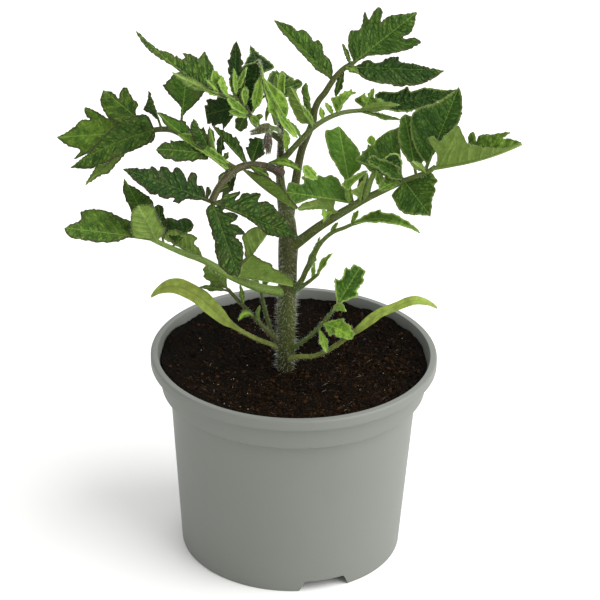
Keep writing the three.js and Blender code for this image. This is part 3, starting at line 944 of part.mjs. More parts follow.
// A seed leaf: a narrow folded blade along its centre line, with its round-edged stalk.
function seedLeafSolid({ line, width, face, fold }) {
  const points = line.map(seen);
  const curve = smoothCurve(points);
  const half = THREE.MathUtils.degToRad(fold) / 2;
  const turn = THREE.MathUtils.degToRad(face);
  const leftward = points[points.length - 1].x < 0 ? 1 : -1;
  const coordinates = [];
  const indices = [];
  const rows = points.length;
  const bladeStart = width.findIndex((wide) => wide > SEED_STALK_WIDTH);
  points.forEach((point, i) => {
    const along = curve.getTangent(i / (rows - 1));
    const sight = EYE.clone().sub(point).normalize();
    const toEye = sight.addScaledVector(along, -sight.dot(along)).normalize();
    const aside = along.clone().cross(toEye).multiplyScalar(leftward);
    const out = toEye.clone().multiplyScalar(Math.cos(turn)).addScaledVector(aside, Math.sin(turn));
    const across = aside.clone().multiplyScalar(Math.cos(turn)).addScaledVector(toEye, -Math.sin(turn));
    const thick = (i < bladeStart ? SEED_STALK_THICKNESS : BLADE_THICKNESS) / 2;
    for (const level of [thick, -thick]) {
      for (const side of [-1, 0, 1]) {
        const spread = (side * Math.cos(half) * width[i]) / 2;
        const raised = (Math.abs(side) * Math.sin(half) * width[i]) / 2 + level;
        const at = point.clone().addScaledVector(across, spread).addScaledVector(out, raised);
        coordinates.push(...at.toArray());
      }
    }
  });
  const ring = [0, 1, 2, 5, 4, 3];
  for (let i = 0; i + 1 < rows; i += 1) {
    ring.forEach((a, k) => {
      const b = ring[(k + 1) % ring.length];
      const near = i * 6;
      const far = near + 6;
      indices.push(near + a, far + a, near + b, near + b, far + a, far + b);
    });
  }
  const cap = (start, flip) => {
    for (const [a, b, c] of [[0, 1, 4], [0, 4, 3], [1, 2, 5], [1, 5, 4]]) {
      indices.push(start + a, start + (flip ? c : b), start + (flip ? b : c));
    }
  };
  cap(0, false);
  cap((rows - 1) * 6, true);
  return closedSolid(coordinates, indices);
}

function flowerBuds() {
  const pieces = BUD_STALKS.map((line) =>
    taperedStalk(smoothCurve(line.map(seen)), 3, STALK_SIDES, () => BUD_STALK_RADIUS),
  );
  for (const bud of BUDS) {
    const from = seen(bud.from);
    const to = seen(bud.to);
    const axis = to.clone().sub(from);
    const shape = new THREE.SphereGeometry(1, BUD_SIDES, BUD_RINGS);
    const turned = new THREE.Matrix4().compose(
      from.clone().lerp(to, 0.5),
      new THREE.Quaternion().setFromUnitVectors(new THREE.Vector3(0, 1, 0), axis.clone().normalize()),
      new THREE.Vector3(bud.radius, axis.length() / 2, bud.radius),
    );
    pieces.push(solidOf(shape.applyMatrix4(turned)));
  }
  return join(pieces);
}

// A closed profile of [radius, height] points turned round the pot's axis
function turnedSolid(profile) {
  const lathe = new THREE.LatheGeometry(profile.map(([r, z]) => new THREE.Vector2(r, z)), POT_SEGMENTS);
  return solidOf(lathe.rotateX(Math.PI / 2));
}

function bodyRadius(height) {
  return THREE.MathUtils.mapLinear(height, 0, BODY_TOP, FOOT_RADIUS, BODY_TOP_RADIUS);
}

function collarRadius(height) {
  const top = POT_HEIGHT - RIM_DEPTH;
  return THREE.MathUtils.mapLinear(height, COLLAR_FOOT, top, COLLAR_FOOT_RADIUS, COLLAR_TOP_RADIUS);
}

function potSolid() {
  const rimFoot = POT_HEIGHT - RIM_DEPTH;
  const floor = FLOOR_UNDERSIDE + POT_WALL;
  let pot = turnedSolid([
    [0, FLOOR_UNDERSIDE],
    [bodyRadius(FLOOR_UNDERSIDE) - POT_WALL, FLOOR_UNDERSIDE],
    [FOOT_RADIUS - POT_WALL, 0],
    [FOOT_RADIUS - FOOT_ROUNDING / 2, 0],
    [bodyRadius(FOOT_ROUNDING), FOOT_ROUNDING],
    [BODY_TOP_RADIUS, BODY_TOP],
    [COLLAR_FOOT_RADIUS - COLLAR_ROUNDING, COLLAR_FOOT - COLLAR_ROUNDING],
    [COLLAR_FOOT_RADIUS, COLLAR_FOOT],
    [COLLAR_TOP_RADIUS, rimFoot],
    [RIM_RADIUS - RIM_ROUNDING, rimFoot],
    [RIM_RADIUS, rimFoot + RIM_ROUNDING],
    [RIM_RADIUS, POT_HEIGHT - RIM_ROUNDING],
    [RIM_RADIUS - RIM_ROUNDING, POT_HEIGHT],
    [RIM_RADIUS - RIM_LIP, POT_HEIGHT - RIM_BEVEL],
    [COLLAR_TOP_RADIUS - POT_WALL, rimFoot],
    [COLLAR_FOOT_RADIUS - POT_WALL, COLLAR_FOOT + INNER_STEP_RISE],
    [BODY_TOP_RADIUS - POT_WALL, BODY_TOP + INNER_STEP_RISE],
    [bodyRadius(floor) - POT_WALL, floor],
    [0, floor],
  ]);
  for (const degrees of NOTCH_ANGLES) {
    const outline = new THREE.Shape([
      new THREE.Vector2(-NOTCH_FOOT_WIDTH / 2, -1),
      new THREE.Vector2(NOTCH_FOOT_WIDTH / 2, -1),
      new THREE.Vector2(NOTCH_TOP_WIDTH / 2, NOTCH_HEIGHT),
      new THREE.Vector2(-NOTCH_TOP_WIDTH / 2, NOTCH_HEIGHT),
    ]);
    const notch = new THREE.ExtrudeGeometry(outline, { depth: NOTCH_REACH, bevelEnabled: false });
    notch.translate(0, 0, NOTCH_INNER_RADIUS).rotateX(Math.PI / 2);
    notch.rotateZ(THREE.MathUtils.degToRad(degrees));
    pot = pot.subtract(solidOf(notch));
  }
  for (let k = 0; k < DRAIN_COUNT; k += 1) {
    const angle = (2 * Math.PI * (k + 0.5)) / DRAIN_COUNT;
    const drain = new THREE.CylinderGeometry(DRAIN_RADIUS, DRAIN_RADIUS, 4 * POT_WALL, DRAIN_SIDES);
    drain.rotateX(Math.PI / 2);
    drain.translate(
      DRAIN_CIRCLE * Math.cos(angle),
      DRAIN_CIRCLE * Math.sin(angle),
      FLOOR_UNDERSIDE + POT_WALL / 2,
    );
    pot = pot.subtract(solidOf(drain));
  }
  return pot;
}

// How far the soil's surface rises at a place, in millimetres: it is dished, lowest round the stem.
function soilRise(x, y) {
  const dish = (SOIL_DISH * (x * x + y * y)) / COLLAR_FOOT_RADIUS ** 2;
  const broad = Math.sin(BROAD_HUMP * x + 1.3) * Math.cos(BROAD_HUMP * y - 0.6);
  const small = Math.sin(SMALL_HUMP * (x - y));
  return dish + SOIL_ROUGHNESS * (0.6 * broad + 0.36 * small - 0.3);
}

// The soil fills the pot to just under the collar's top and rises and falls a little.
function soilSolid(stem) {
  const floor = FLOOR_UNDERSIDE + POT_WALL + SEAT_GAP;
  const inset = POT_WALL + SEAT_GAP / Math.cos(Math.PI / POT_SEGMENTS);
  const edge = collarRadius(SOIL_HEIGHT) - inset;
  const profile = [
    [0, floor],
    [bodyRadius(floor) - inset, floor],
    [BODY_TOP_RADIUS - inset, BODY_TOP + INNER_STEP_RISE],
    [COLLAR_FOOT_RADIUS - inset, COLLAR_FOOT + INNER_STEP_RISE + SEAT_GAP],
  ];
  for (const share of SOIL_RINGS) profile.push([edge * share, SOIL_HEIGHT]);
  const lathe = new THREE.LatheGeometry(profile.map(([r, z]) => new THREE.Vector2(r, z)), POT_SEGMENTS);
  lathe.rotateX(Math.PI / 2);
  const place = lathe.attributes.position;
  for (let i = 0; i < place.count; i += 1) {
    const onTop = Math.abs(place.getZ(i) - SOIL_HEIGHT) < SAME_POINT;
    if (onTop) place.setZ(i, SOIL_HEIGHT + soilRise(place.getX(i), place.getY(i)));
  }
  return solidOf(lathe).subtract(stem);
}

// The same solid without the slivers and tiny edges that its joins and cuts leave.
function closedUp(solid) {
  const { vertProperties, triVerts } = solid.getMesh();
  const simple = closedSolid(vertProperties, triVerts).setTolerance(SHORTEST_EDGE).getMesh();
  const geometry = new THREE.BufferGeometry();
  geometry.setAttribute("position", new THREE.BufferAttribute(simple.vertProperties, 3));
  geometry.setIndex(new THREE.BufferAttribute(simple.triVerts, 1));
  const merged = mergeVertices(geometry, FINEST_STEP);
  const whole = [];
  for (let i = 0; i < merged.index.count; i += 3) {
    const [a, b, c] = merged.index.array.slice(i, i + 3);
    if (a !== b && b !== c && c !== a) whole.push(a, b, c);
  }
  return closedSolid(merged.attributes.position.array, whole);
}

function namedMesh(name, solid, colour, roughness) {
  const { vertProperties, triVerts } = closedUp(solid).getMesh();
  const geometry = new THREE.BufferGeometry();
  geometry.setAttribute("position", new THREE.BufferAttribute(vertProperties, 3));
  geometry.setIndex(new THREE.BufferAttribute(triVerts, 1));
  const material = new THREE.MeshStandardMaterial({
    color: colour, roughness, metalness: 0, flatShading: true,
  });
  const mesh = new THREE.Mesh(geometry, material);
  mesh.name = name;
  return mesh;
}

const plant = new THREE.Group();
const stemClearance = mainStem(SEAT_GAP);
plant.add(namedMesh("pot", potSolid(), 0x8a8d86, 0.55));
plant.add(namedMesh("soil", soilSolid(stemClearance), 0x241a13, 0.95));
plant.add(namedMesh("main_stem", mainStem(0), 0x5a5f35, 0.7));
const leafNames = [...new Set(LEAVES.map((leaf) => leaf.node))];
for (const name of leafNames) {
  const parts = LEAVES.map((leaf, k) => (leaf.node === name ? leafSolid(leaf, k) : null)).filter(Boolean);
  plant.add(namedMesh(name, largestBody(join(parts).subtract(stemClearance)), 0x45692c, 0.65));
}
for (const seedLeaf of SEED_LEAVES) {
  const trimmed = largestBody(seedLeafSolid(seedLeaf).subtract(stemClearance));
  plant.add(namedMesh(seedLeaf.node, trimmed, 0x8f9c4e, 0.6));
}
plant.add(namedMesh("flower_buds", largestBody(flowerBuds().subtract(stemClearance)), 0x6f7f42, 0.7));

// The origin is under the middle of the whole plant's outline, on the surface it stands on.
const reach = new THREE.Box3().setFromObject(plant);
const middle = reach.getCenter(new THREE.Vector3());
plant.position.set(-middle.x, -middle.y, -reach.min.z);

const pottedTomato = new THREE.Group();
pottedTomato.add(plant);
export default pottedTomato;
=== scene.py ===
"""A young tomato plant in a round plastic garden pot, dressed round its solid model.

The plant is described as it is seen from the front and a little above, with the same words and sizes
as its solids: each blade, stalk and bud here has the form and place of the solid that it replaces.
"""

import math
from types import SimpleNamespace

import bpy
import numpy as np
from bpy.props import FloatProperty, FloatVectorProperty, IntProperty, PointerProperty
from mathutils import Matrix, Vector, noise
from mathutils.geometry import delaunay_2d_cdt


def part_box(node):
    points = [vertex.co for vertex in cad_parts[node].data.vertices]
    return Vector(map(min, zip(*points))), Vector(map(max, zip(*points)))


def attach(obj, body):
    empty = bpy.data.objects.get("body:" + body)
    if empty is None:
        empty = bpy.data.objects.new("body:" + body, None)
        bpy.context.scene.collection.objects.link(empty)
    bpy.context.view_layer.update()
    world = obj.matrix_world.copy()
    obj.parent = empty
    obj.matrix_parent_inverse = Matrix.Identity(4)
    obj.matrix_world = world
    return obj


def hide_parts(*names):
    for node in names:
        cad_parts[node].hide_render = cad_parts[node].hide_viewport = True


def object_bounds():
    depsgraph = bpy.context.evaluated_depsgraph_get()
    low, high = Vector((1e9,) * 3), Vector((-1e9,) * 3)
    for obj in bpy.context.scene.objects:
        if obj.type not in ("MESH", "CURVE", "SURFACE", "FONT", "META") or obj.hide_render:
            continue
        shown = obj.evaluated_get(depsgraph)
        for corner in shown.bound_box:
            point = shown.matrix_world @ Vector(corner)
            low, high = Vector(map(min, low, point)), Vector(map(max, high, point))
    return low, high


bl_info = {
    "name": "Potted tomato plant",
    "version": (1, 0, 0),
    "blender": (4, 5, 0),
    "location": "3D View > Sidebar > Plant",
    "description": "Makes the leaves, stems, hairs, buds, soil, pot and stage of a potted tomato plant",
    "category": "Object",
}

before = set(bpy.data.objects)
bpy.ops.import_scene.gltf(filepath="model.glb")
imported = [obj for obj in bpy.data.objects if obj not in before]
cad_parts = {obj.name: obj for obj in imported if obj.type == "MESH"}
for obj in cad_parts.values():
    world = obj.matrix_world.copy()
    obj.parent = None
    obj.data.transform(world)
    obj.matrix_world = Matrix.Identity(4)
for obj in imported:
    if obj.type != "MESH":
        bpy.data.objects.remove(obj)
CAD_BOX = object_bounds()

# Sizes in this script are millimetres round the pot's axis. Blender's are metres round the frame's origin.
MM = 0.001
POT_LOW, POT_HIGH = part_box("pot")
POT_AXIS = np.array([(POT_LOW.x + POT_HIGH.x) / 2, (POT_LOW.y + POT_HIGH.y) / 2, POT_LOW.z])
POT_HEIGHT = (POT_HIGH.z - POT_LOW.z) / MM
RIM_RADIUS = (POT_HIGH.y - POT_LOW.y) / 2 / MM

# Pot: outer radii and heights from the foot to the rim
RIM_DEPTH = 4.2
RIM_LIP = 2.5
COLLAR_TOP_RADIUS = RIM_RADIUS - 3.0
COLLAR_FOOT_RADIUS = COLLAR_TOP_RADIUS - 1.0
COLLAR_FOOT = 65.0
BODY_TOP_RADIUS = 45.3
BODY_TOP = 62.8
FOOT_RADIUS = 41.0
FLOOR_UNDERSIDE = 4.8
POT_SEGMENTS = 256

# Drainage: notches through the foot, in degrees round from the front, and holes in the floor
NOTCH_ANGLES = (18.5, 138.5, -101.5)
NOTCH_FOOT_WIDTH = 20.0
NOTCH_TOP_WIDTH = 15.0
NOTCH_HEIGHT = 4.3
NOTCH_INNER_RADIUS = 36.0
NOTCH_REACH = 8.0
DRAIN_RADIUS = 4.0
DRAIN_CIRCLE = 25.0
DRAIN_COUNT = 6

# Soil
SOIL_HEIGHT = 70.5
SOIL_GAP = 0.35
SOIL_ROUGHNESS = 0.9
SOIL_DISH = 3.2
SOIL_HEAP = 1.7
HEAP_FROM = 0.72

# Leaf build
LEAFLET_STALK_RADIUS = 0.5
NARROWEST_HALF = 0.3
STEEPEST_RISE = 0.35
SHARPEST_FOLD = 0.4
BLADE_CURL = 0.1
BLADE_WAVE = 0.05
WAVES_PER_BLADE = 2.2
VEIN_ROW = 0.28
BLISTER = 2.2
FRILL = 0.8
ROLLED_RIM = 0.7
SIDE_VEIN_LEAN = 48

# Leaflet without a drawn outline: where it is widest, how its ends taper, where its lobes lie along it
# and the angle of its side veins to its midrib, in degrees
WIDEST_AT = 0.3
BLUNT_WIDENING = 0.1
BASE_TAPER = 0.85
END_TAPER = 1.35
BLUNT_TAPERING = 0.42
FIRST_LOBE = 0.05
LOBED_SHARE = 0.58
VEIN_ANGLE_AT_BASE = 64
VEIN_ANGLE_LOSS = 30

# Sight frame of the description: the eye looks down on the stem's foot by EYE_ELEVATION.
# A place in it is [right, up, depth]: right and up in the plane through the stem's foot
# that faces the eye, and depth along +Y, away from the eye.
EYE_ELEVATION = math.radians(26.98)
EYE = np.array([1.823, -802.1, 507.3])
STEM_FOOT = np.array([0.0, 0.0, SOIL_HEIGHT])
EYE_TARGET = (1.823, 0.0, 99.0)
EYE_ROLL = math.radians(1.2)
LENS = 148.8

# Main stem: centre line from the tip of the root to the shoot's apex, and its radii
MAIN_STEM = [
    [-3.1, -38, 0], [-3.1, -26, 0], [-3.1, -14, 0], [-3.1, 0, 0], [-3.0, 12, 0], [-3.0, 28, 0],
    [-2.9, 40, 0], [-2.9, 47, 0], [-3.4, 54, 0], [-5.0, 61, 0], [-6.2, 68, 0], [-6.5, 75, 0.5],
    [-6.4, 82, 1], [-6.6, 88, 1.5], [-6.9, 91, 2],
]
MAIN_RADII = [0.9, 1.9, 3.0, 3.1, 3.2, 3.3, 3.4, 3.6, 3.0, 2.1, 1.6, 1.35, 1.2, 1.0, 0.7]

# Compound leaves. "stalk" is the centre line from the stem outward and "thick" its first and last radius.
# Each leaflet leaves the stalk at "at" [right, up] and ends at "tip". "face" turns its upper side away
# from the eye in degrees, "fold" closes the two halves along the midrib, "bow" arches the midrib by that
# share of its length, "stem" is the length of its own stalk, and "young" runs from 0, dark, to 1, pale.
# A leaflet has a "width", a number of "lobes" a side, cut in by "cut", with "skew" of its width moved to
# its upper half and a "blunt" end, or its "sides" are two outlines [right, up] from the base to the tip.
# A "tone" is how light an old blade is, and "flush" how purple the leaf's stalk. What a leaflet doesn't give
# is that of PLAIN_LEAFLET.
PLAIN_LEAFLET = {
    "face": 20, "fold": 20, "bow": 0, "stem": 1, "young": 0.1, "skew": 0.0, "blunt": 0.6, "lobes": 1,
}
LEAVES = [
  {
    "node": "leaf_lower_left", "thick": [1.8, 0.8], "flush": 0.0,
    "stalk": [
      [-3.2, 28.5, 0], [-7.5, 28.6, -3], [-12.7, 29.4, -6], [-20, 32, -10], [-25.7, 34.5, -13],
      [-30, 37.1, -15], [-35, 39.6, -17], [-40, 41.2, -19], [-45, 43.1, -21], [-50, 45.2, -23],
      [-54, 47, -24],
    ],
    "leaflets": [
      {"at": [-54, 47], "tip": [-85.4, 50.1, -32], "face": 25, "young": 0.3,
       "sides": [
        [[-55.5, 46.4], [-58.5, 47.4], [-61.8, 47], [-64.4, 45.9], [-68.4, 45.2], [-73.2, 45.3],
         [-78.4, 45.8], [-82.9, 46.9], [-84.9, 48.4]],
        [[-57, 50.5], [-61.3, 53.4], [-64.2, 54.7], [-67.1, 55.8], [-71.2, 57.1], [-75, 57.5],
         [-78.2, 57], [-79.6, 56.1], [-79.2, 54], [-80.2, 52.8], [-83.7, 51.3]],
       ]},
      {"at": [-51, 45.7], "tip": [-58.5, 58.8, -30], "face": 176, "fold": 10, "stem": 0.6, "young": 0.9,
       "sides": [
        [[-55.5, 46.9], [-60, 48], [-61, 52], [-61, 55.7], [-60.3, 57.4]],
        [[-49.3, 48.6], [-48.6, 49.8], [-49.8, 52.3], [-51.2, 54.8], [-52.7, 58.4], [-54.2, 59.5]],
       ]},
      {"at": [-51, 45.7], "tip": [-63.8, 68.8, -22], "face": 10, "fold": 24, "stem": 3,
       "sides": [
        [[-57, 50], [-60.5, 56], [-62.9, 60.9], [-64.2, 65.5]],
        [[-50.2, 52], [-52.4, 58.2], [-53.6, 61.3], [-56.7, 63.7], [-59.3, 65.4], [-62.5, 66.9]],
       ]},
      {"at": [-48.5, 44.5], "tip": [-51.2, 59.5, -14], "face": 10, "stem": 3,
       "sides": [
        [[-50.2, 50.5], [-51.6, 55], [-52.6, 58.4]],
        [[-48, 49.6], [-47.8, 53.4], [-48.9, 55.6], [-49.1, 58.6]],
       ]},
      {"at": [-46.5, 43.6], "tip": [-37.8, 52.1, -12], "fold": 10, "stem": 4, "young": 0.0,
       "sides": [
        [[-45, 47.5], [-43, 49.4], [-40, 49.7], [-38.4, 50.5]],
        [[-48.2, 49.8], [-48.2, 54.2], [-46.5, 55], [-43.9, 54.2], [-42, 54.7], [-39.4, 54.1]],
       ]},
      {"at": [-33, 38.7], "tip": [-49.8, 47.9, -18], "face": 165, "fold": 14, "stem": 2.5, "young": 0.9,
       "sides": [
        [[-36, 41.6], [-39, 43.9], [-41.6, 45.3], [-45.3, 46.7], [-47.5, 46.1]],
        [[-35.4, 43], [-37.7, 45.8], [-36.6, 47.7], [-38.6, 48.8], [-42.7, 49.6], [-45, 50.5],
         [-48, 49.4]],
       ]},
      {"at": [-24.5, 34], "tip": [-0.7, 31, -13], "face": 82, "fold": 125, "bow": 0.02, "stem": 2.5,
       "young": 0.5,
       "sides": [
        [[-21, 37.5], [-19.8, 40], [-18.3, 41.2], [-16.1, 42], [-14.7, 40.3], [-11.3, 36.8],
         [-10.2, 34.7], [-7.2, 32.6], [-4.6, 31.6]],
        [[-18.6, 40], [-16.5, 41.8], [-13.3, 41.4], [-8.8, 39], [-8.5, 37.2], [-4.8, 35.6],
         [-2.2, 33.9], [-0.9, 32.5]],
       ]},
      {"at": [-22.5, 33], "tip": [-10.2, 50.3, -11], "face": 170, "fold": 16, "stem": 11, "young": 0.9,
       "sides": [
        [[-17.3, 44.7], [-16.5, 44.8], [-13.1, 46.3], [-11, 48.6]],
        [[-19.3, 46], [-19.9, 48.4], [-18.3, 50.3], [-14.8, 52.2], [-12.5, 51.5]],
       ]},
    ],
  },
  {
    "node": "leaf_basal_left", "thick": [1.0, 0.65],
    "stalk": [
      [-3.2, 8, 0], [-7.5, 11.3, -1.5], [-11.5, 15.3, -1.5], [-15.7, 19.6, -1], [-20.5, 24.3, 2],
      [-24.8, 28.9, 4],
    ],
    "leaflets": [
      {"at": [-24.8, 28.9], "tip": [-33.3, 37.4, 9], "face": 165, "young": 0.2, "width": 10, "lobes": 2,
       "cut": 0.35, "blunt": 1.0},
      {"at": [-24, 28], "tip": [-35.3, 29.3, 3], "face": 30, "bow": 0.03, "stem": 2, "width": 4,
       "cut": 0.3},
      {"at": [-18.8, 22.6], "tip": [-20.3, 30.6, 3], "face": 40, "fold": 30, "stem": 1.5, "young": 0.4,
       "width": 3.2, "cut": 0.2},
      {"at": [-13.5, 17.4], "tip": [-13, 22.8, -6], "face": 120, "fold": 40, "bow": 0.1, "young": 1.0,
       "width": 3.6, "cut": 0.2, "blunt": 0.7},
      {"at": [-15, 18.9], "tip": [-20.7, 17.4, -6], "face": 30, "fold": 40, "bow": 0.3, "young": 1.0,
       "width": 4, "cut": 0.2, "blunt": 0.7},
    ],
  },
  {
    "node": "leaf_basal_back", "thick": [0.9, 0.6],
    "stalk": [
      [-3.2, 9, 0], [-7.9, 12.5, 3], [-10.2, 19, 6], [-12.2, 26.2, 9], [-12.7, 30.2, 9.5],
    ],
    "leaflets": [
      {"at": [-12.7, 30.2], "tip": [-19.2, 36.6, 9], "face": 50, "fold": 30, "stem": 0.5, "width": 4,
       "cut": 0.25, "blunt": 0.5},
      {"at": [-12.5, 28], "tip": [-9.5, 35.5, 14], "fold": 30, "stem": 0.5, "width": 4, "cut": 0.25,
       "blunt": 0.5},
    ],
  },
  {
    "node": "leaf_arching_left", "thick": [1.4, 1.3],
    "stalk": [
      [-6.4, 72, 0], [-8.2, 73.2, -2.5], [-12, 74.4, -6], [-16.5, 74.8, -9], [-20.5, 74.1, -12],
      [-23.5, 72.4, -14], [-26.5, 69.3, -17], [-29.2, 65.6, -20], [-31.3, 61, -23],
    ],
    "leaflets": [
      {"at": [-31.3, 61], "tip": [-21.0, 33.4, -36], "face": 12, "fold": 24,
       "sides": [
        [[-32.4, 59.5], [-34.4, 59.7], [-33.6, 57.6], [-32.9, 55.2], [-32.1, 52.7], [-31.1, 50.1],
         [-30.5, 47.6], [-29.8, 45.0], [-29.7, 42.4], [-28.9, 39.9], [-28.1, 37.3], [-26.4, 35.5],
         [-24.1, 34.1]],
        [[-30.2, 59.2], [-28.7, 59.6], [-27.6, 59.8], [-26.5, 59.2], [-26.8, 58.3], [-27.4, 57.6],
         [-26.1, 57.1], [-24.6, 57.3], [-22.8, 56.9], [-21.5, 56.1], [-22.0, 54.7], [-23.1, 53.8],
         [-24.2, 53.2], [-22.3, 52.7], [-20.8, 51.8], [-19.5, 50.5], [-18.9, 49.3], [-20.4, 48.9],
         [-22.0, 48.8], [-22.4, 47.9], [-21.1, 47.4], [-20.0, 45.9], [-19.4, 43.7], [-19.3, 41.5],
         [-19.8, 38.9], [-20.1, 36.7], [-20.5, 34.5]],
       ]},
      {"at": [-31.2, 61.4], "tip": [-64.2, 72.3, -30], "face": 28, "fold": 24, "young": 0.0,
       "sides": [
        [[-33.5, 61.3], [-36.9, 61.4], [-40.5, 61.8], [-41.6, 61.4], [-43.1, 60.5], [-45.5, 60.9],
         [-45.0, 61.8], [-46.8, 62.1], [-47.5, 61.6], [-48.6, 61.9], [-50.5, 62.3], [-51.1, 63.0],
         [-53.1, 63.3], [-55.0, 64.2], [-56.8, 65.8], [-59.1, 67.6], [-61.3, 69.4]],
        [[-32.8, 62.2], [-31.9, 63.7], [-31.8, 65.0], [-32.5, 66.3], [-33.3, 66.5], [-33.7, 65.2],
         [-33.9, 62.6], [-34.2, 64.4], [-34.7, 65.9], [-35.9, 67.2], [-36.8, 67.1], [-36.7, 69.5],
         [-36.8, 70.8], [-37.6, 71.8], [-38.9, 71.9], [-39.7, 70.7], [-40.3, 69.3], [-40.6, 68.0],
         [-41.1, 69.4], [-41.7, 71.3], [-42.6, 72.5], [-43.9, 73.3], [-45.0, 73.4], [-46.1, 71.4],
         [-47.0, 72.2], [-48.0, 73.1], [-49.3, 73.7], [-50.2, 73.8], [-50.8, 72.1], [-51.8, 72.3],
         [-52.7, 73.2], [-53.9, 73.6], [-54.3, 72.7], [-56.6, 72.5], [-60.3, 72.7]],
       ]},
      {"at": [-31.2, 61.4], "tip": [1.2, 48.2, -24], "face": 24, "fold": 24,
       "sides": [
        [[-28.7, 60.1], [-26.1, 58.7], [-23.9, 57.8], [-21.7, 56.8], [-19.4, 55.5], [-17.2, 54.1],
         [-14.9, 52.5], [-12.7, 51.1], [-10.5, 49.6], [-7.9, 48.8], [-4.9, 48.2], [-1.6, 47.9]],
        [[-29.5, 61.4], [-28.0, 62.0], [-27.5, 64.2], [-27.0, 65.7], [-25.9, 66.2], [-24.4, 66.3],
         [-25.0, 65.3], [-25.1, 64.1], [-24.0, 64.3], [-22.6, 64.7], [-20.9, 65.1], [-20.7, 64.5],
         [-21.8, 63.2], [-22.9, 61.7], [-21.4, 62.3], [-20.2, 64.2], [-18.9, 64.7], [-16.7, 64.4],
         [-14.8, 64.8], [-13.4, 64.7], [-13.2, 63.8], [-13.9, 62.6], [-14.4, 61.3], [-12.6, 61.6],
         [-11.1, 61.8], [-9.6, 61.1], [-8.1, 59.6], [-6.6, 57.6], [-4.7, 55.5], [-3.2, 53.7],
         [-1.7, 51.7], [-0.2, 50.0]],
       ]},
      {"at": [-30, 63.5], "tip": [-25.3, 66.6, -19], "face": 30, "bow": 0.1, "young": 0.2, "width": 3.6,
       "cut": 0.3, "blunt": 0.8},
      {"at": [-20, 74.2], "tip": [0.3, 59.4, -22], "face": 82, "fold": 125, "bow": -0.06, "stem": 3,
       "young": 0.0, "tone": 0.0,
       "sides": [
        [[-16.5, 68.9], [-12, 66.9], [-8, 62.9], [-5, 61]],
        [[-17, 72.3], [-13.5, 71.3], [-9, 70], [-6, 67.3], [-3.5, 64.8], [-1.8, 61.8]],
       ]},
      {"at": [-12.5, 74.5], "tip": [1.4, 72.7, -13], "face": 50, "fold": 30, "bow": 0.15, "stem": 1.5,
       "young": 0.7, "width": 6, "cut": 0.2, "blunt": 0.8},
      {"at": [-19, 74.6], "tip": [-10.6, 70.3, -16], "face": 40, "bow": 0.05, "stem": 2, "young": 0.3,
       "width": 5, "lobes": 2, "cut": 0.35, "blunt": 0.9},
      {"at": [-18.3, 74.8], "tip": [-31.5, 88.8, -5], "fold": 40, "bow": -0.03, "stem": 2,
       "sides": [
        [[-21.0, 76.8], [-22.1, 78.7], [-24.0, 80.5], [-25.9, 82.1], [-27.7, 83.7], [-29.3, 86.2],
         [-30.4, 87.7]],
        [[-19.1, 77.2], [-19.5, 78.3], [-20.3, 80.5], [-20.7, 81.3], [-21.6, 82.4], [-21.4, 83.1],
         [-22.2, 84.4], [-23.0, 85.4], [-23.5, 84.9], [-24.9, 86.2], [-27.1, 87.0], [-29.3, 88.1]],
       ]},
      {"at": [-17.5, 74.8], "tip": [-14.2, 84.7, -3], "face": 10, "stem": 1.5, "young": 0.0, "width": 10,
       "lobes": 2, "cut": 0.4, "blunt": 1.0},
      {"at": [-21.5, 73.6], "tip": [-27.2, 62.8, -13], "face": 30, "stem": 2, "width": 5.5, "cut": 0.3,
       "blunt": 0.7},
    ],
  },
  {
    "node": "leaf_arching_left", "thick": [1.5, 0.9], "flush": 0.3,
    "stalk": [
      [-23.3, 72.4, -14], [-29.6, 76.8, -10], [-33, 79.1, -7.5], [-36.5, 81.3, -5], [-40, 83.8, -3],
      [-44.3, 86.1, 0], [-47.7, 87.2, 2], [-52, 87, 4], [-55, 86.5, 5],
    ],
    "leaflets": [
      {"at": [-55, 86.5], "tip": [-88.9, 83.3, 12], "face": 15, "fold": 16, "young": 0.4, "tone": 0.4,
       "sides": [
        [[-60, 81.5], [-70, 79.2], [-75.5, 79.6], [-77.5, 77.6], [-82.8, 75.7], [-80.4, 79],
         [-84.8, 80.3]],
        [[-58, 90], [-64, 91.5], [-70.2, 90.9], [-74.6, 93.4], [-79.1, 94.9], [-78.7, 92], [-77, 90.2],
         [-79.8, 90.1], [-83.5, 86.6]],
       ]},
      {"at": [-54, 86.6], "tip": [-72.2, 101.1, 14], "face": 8, "fold": 14, "stem": 3, "young": 0.3,
       "tone": 0.3,
       "sides": [
        [[-64, 88.5], [-70, 91], [-71.9, 93.6], [-73.3, 97.2]],
        [[-59.5, 90.5], [-60.1, 93.8], [-59.2, 96.4], [-60.9, 97.8], [-62.1, 100], [-64.6, 102.6],
         [-66.1, 100.2], [-66.4, 98], [-68.8, 100.4]],
       ]},
      {"at": [-52, 87], "tip": [-83.7, 72.3, -4], "face": 22, "fold": 16, "bow": 0.05, "young": 0.2,
       "tone": 0.3,
       "sides": [
        [[-52.6, 83.6], [-55.2, 81.7], [-59.6, 79.6], [-62.6, 78.4], [-65.5, 77.4], [-68.4, 75.8],
         [-72, 74], [-76.4, 72.2], [-80.1, 71.8]],
        [[-53.4, 90], [-54.6, 91.3], [-57.2, 92.3], [-62, 91.5], [-68, 88], [-74, 81.5], [-77.5, 77.6],
         [-80.5, 74.8]],
       ]},
      {"at": [-53, 86.8], "tip": [-78.1, 66.1, 4], "face": 165, "bow": 0.03, "stem": 12, "young": 0.5,
       "width": 7, "cut": 0.2},
      {"at": [-50, 87.2], "tip": [-55.4, 101.2, 2], "face": 10, "stem": 5,
       "sides": [
        [[-54.4, 92.7], [-55.9, 93.4], [-57.2, 94.1], [-56.7, 95.6], [-56.0, 97.5], [-55.6, 99.7]],
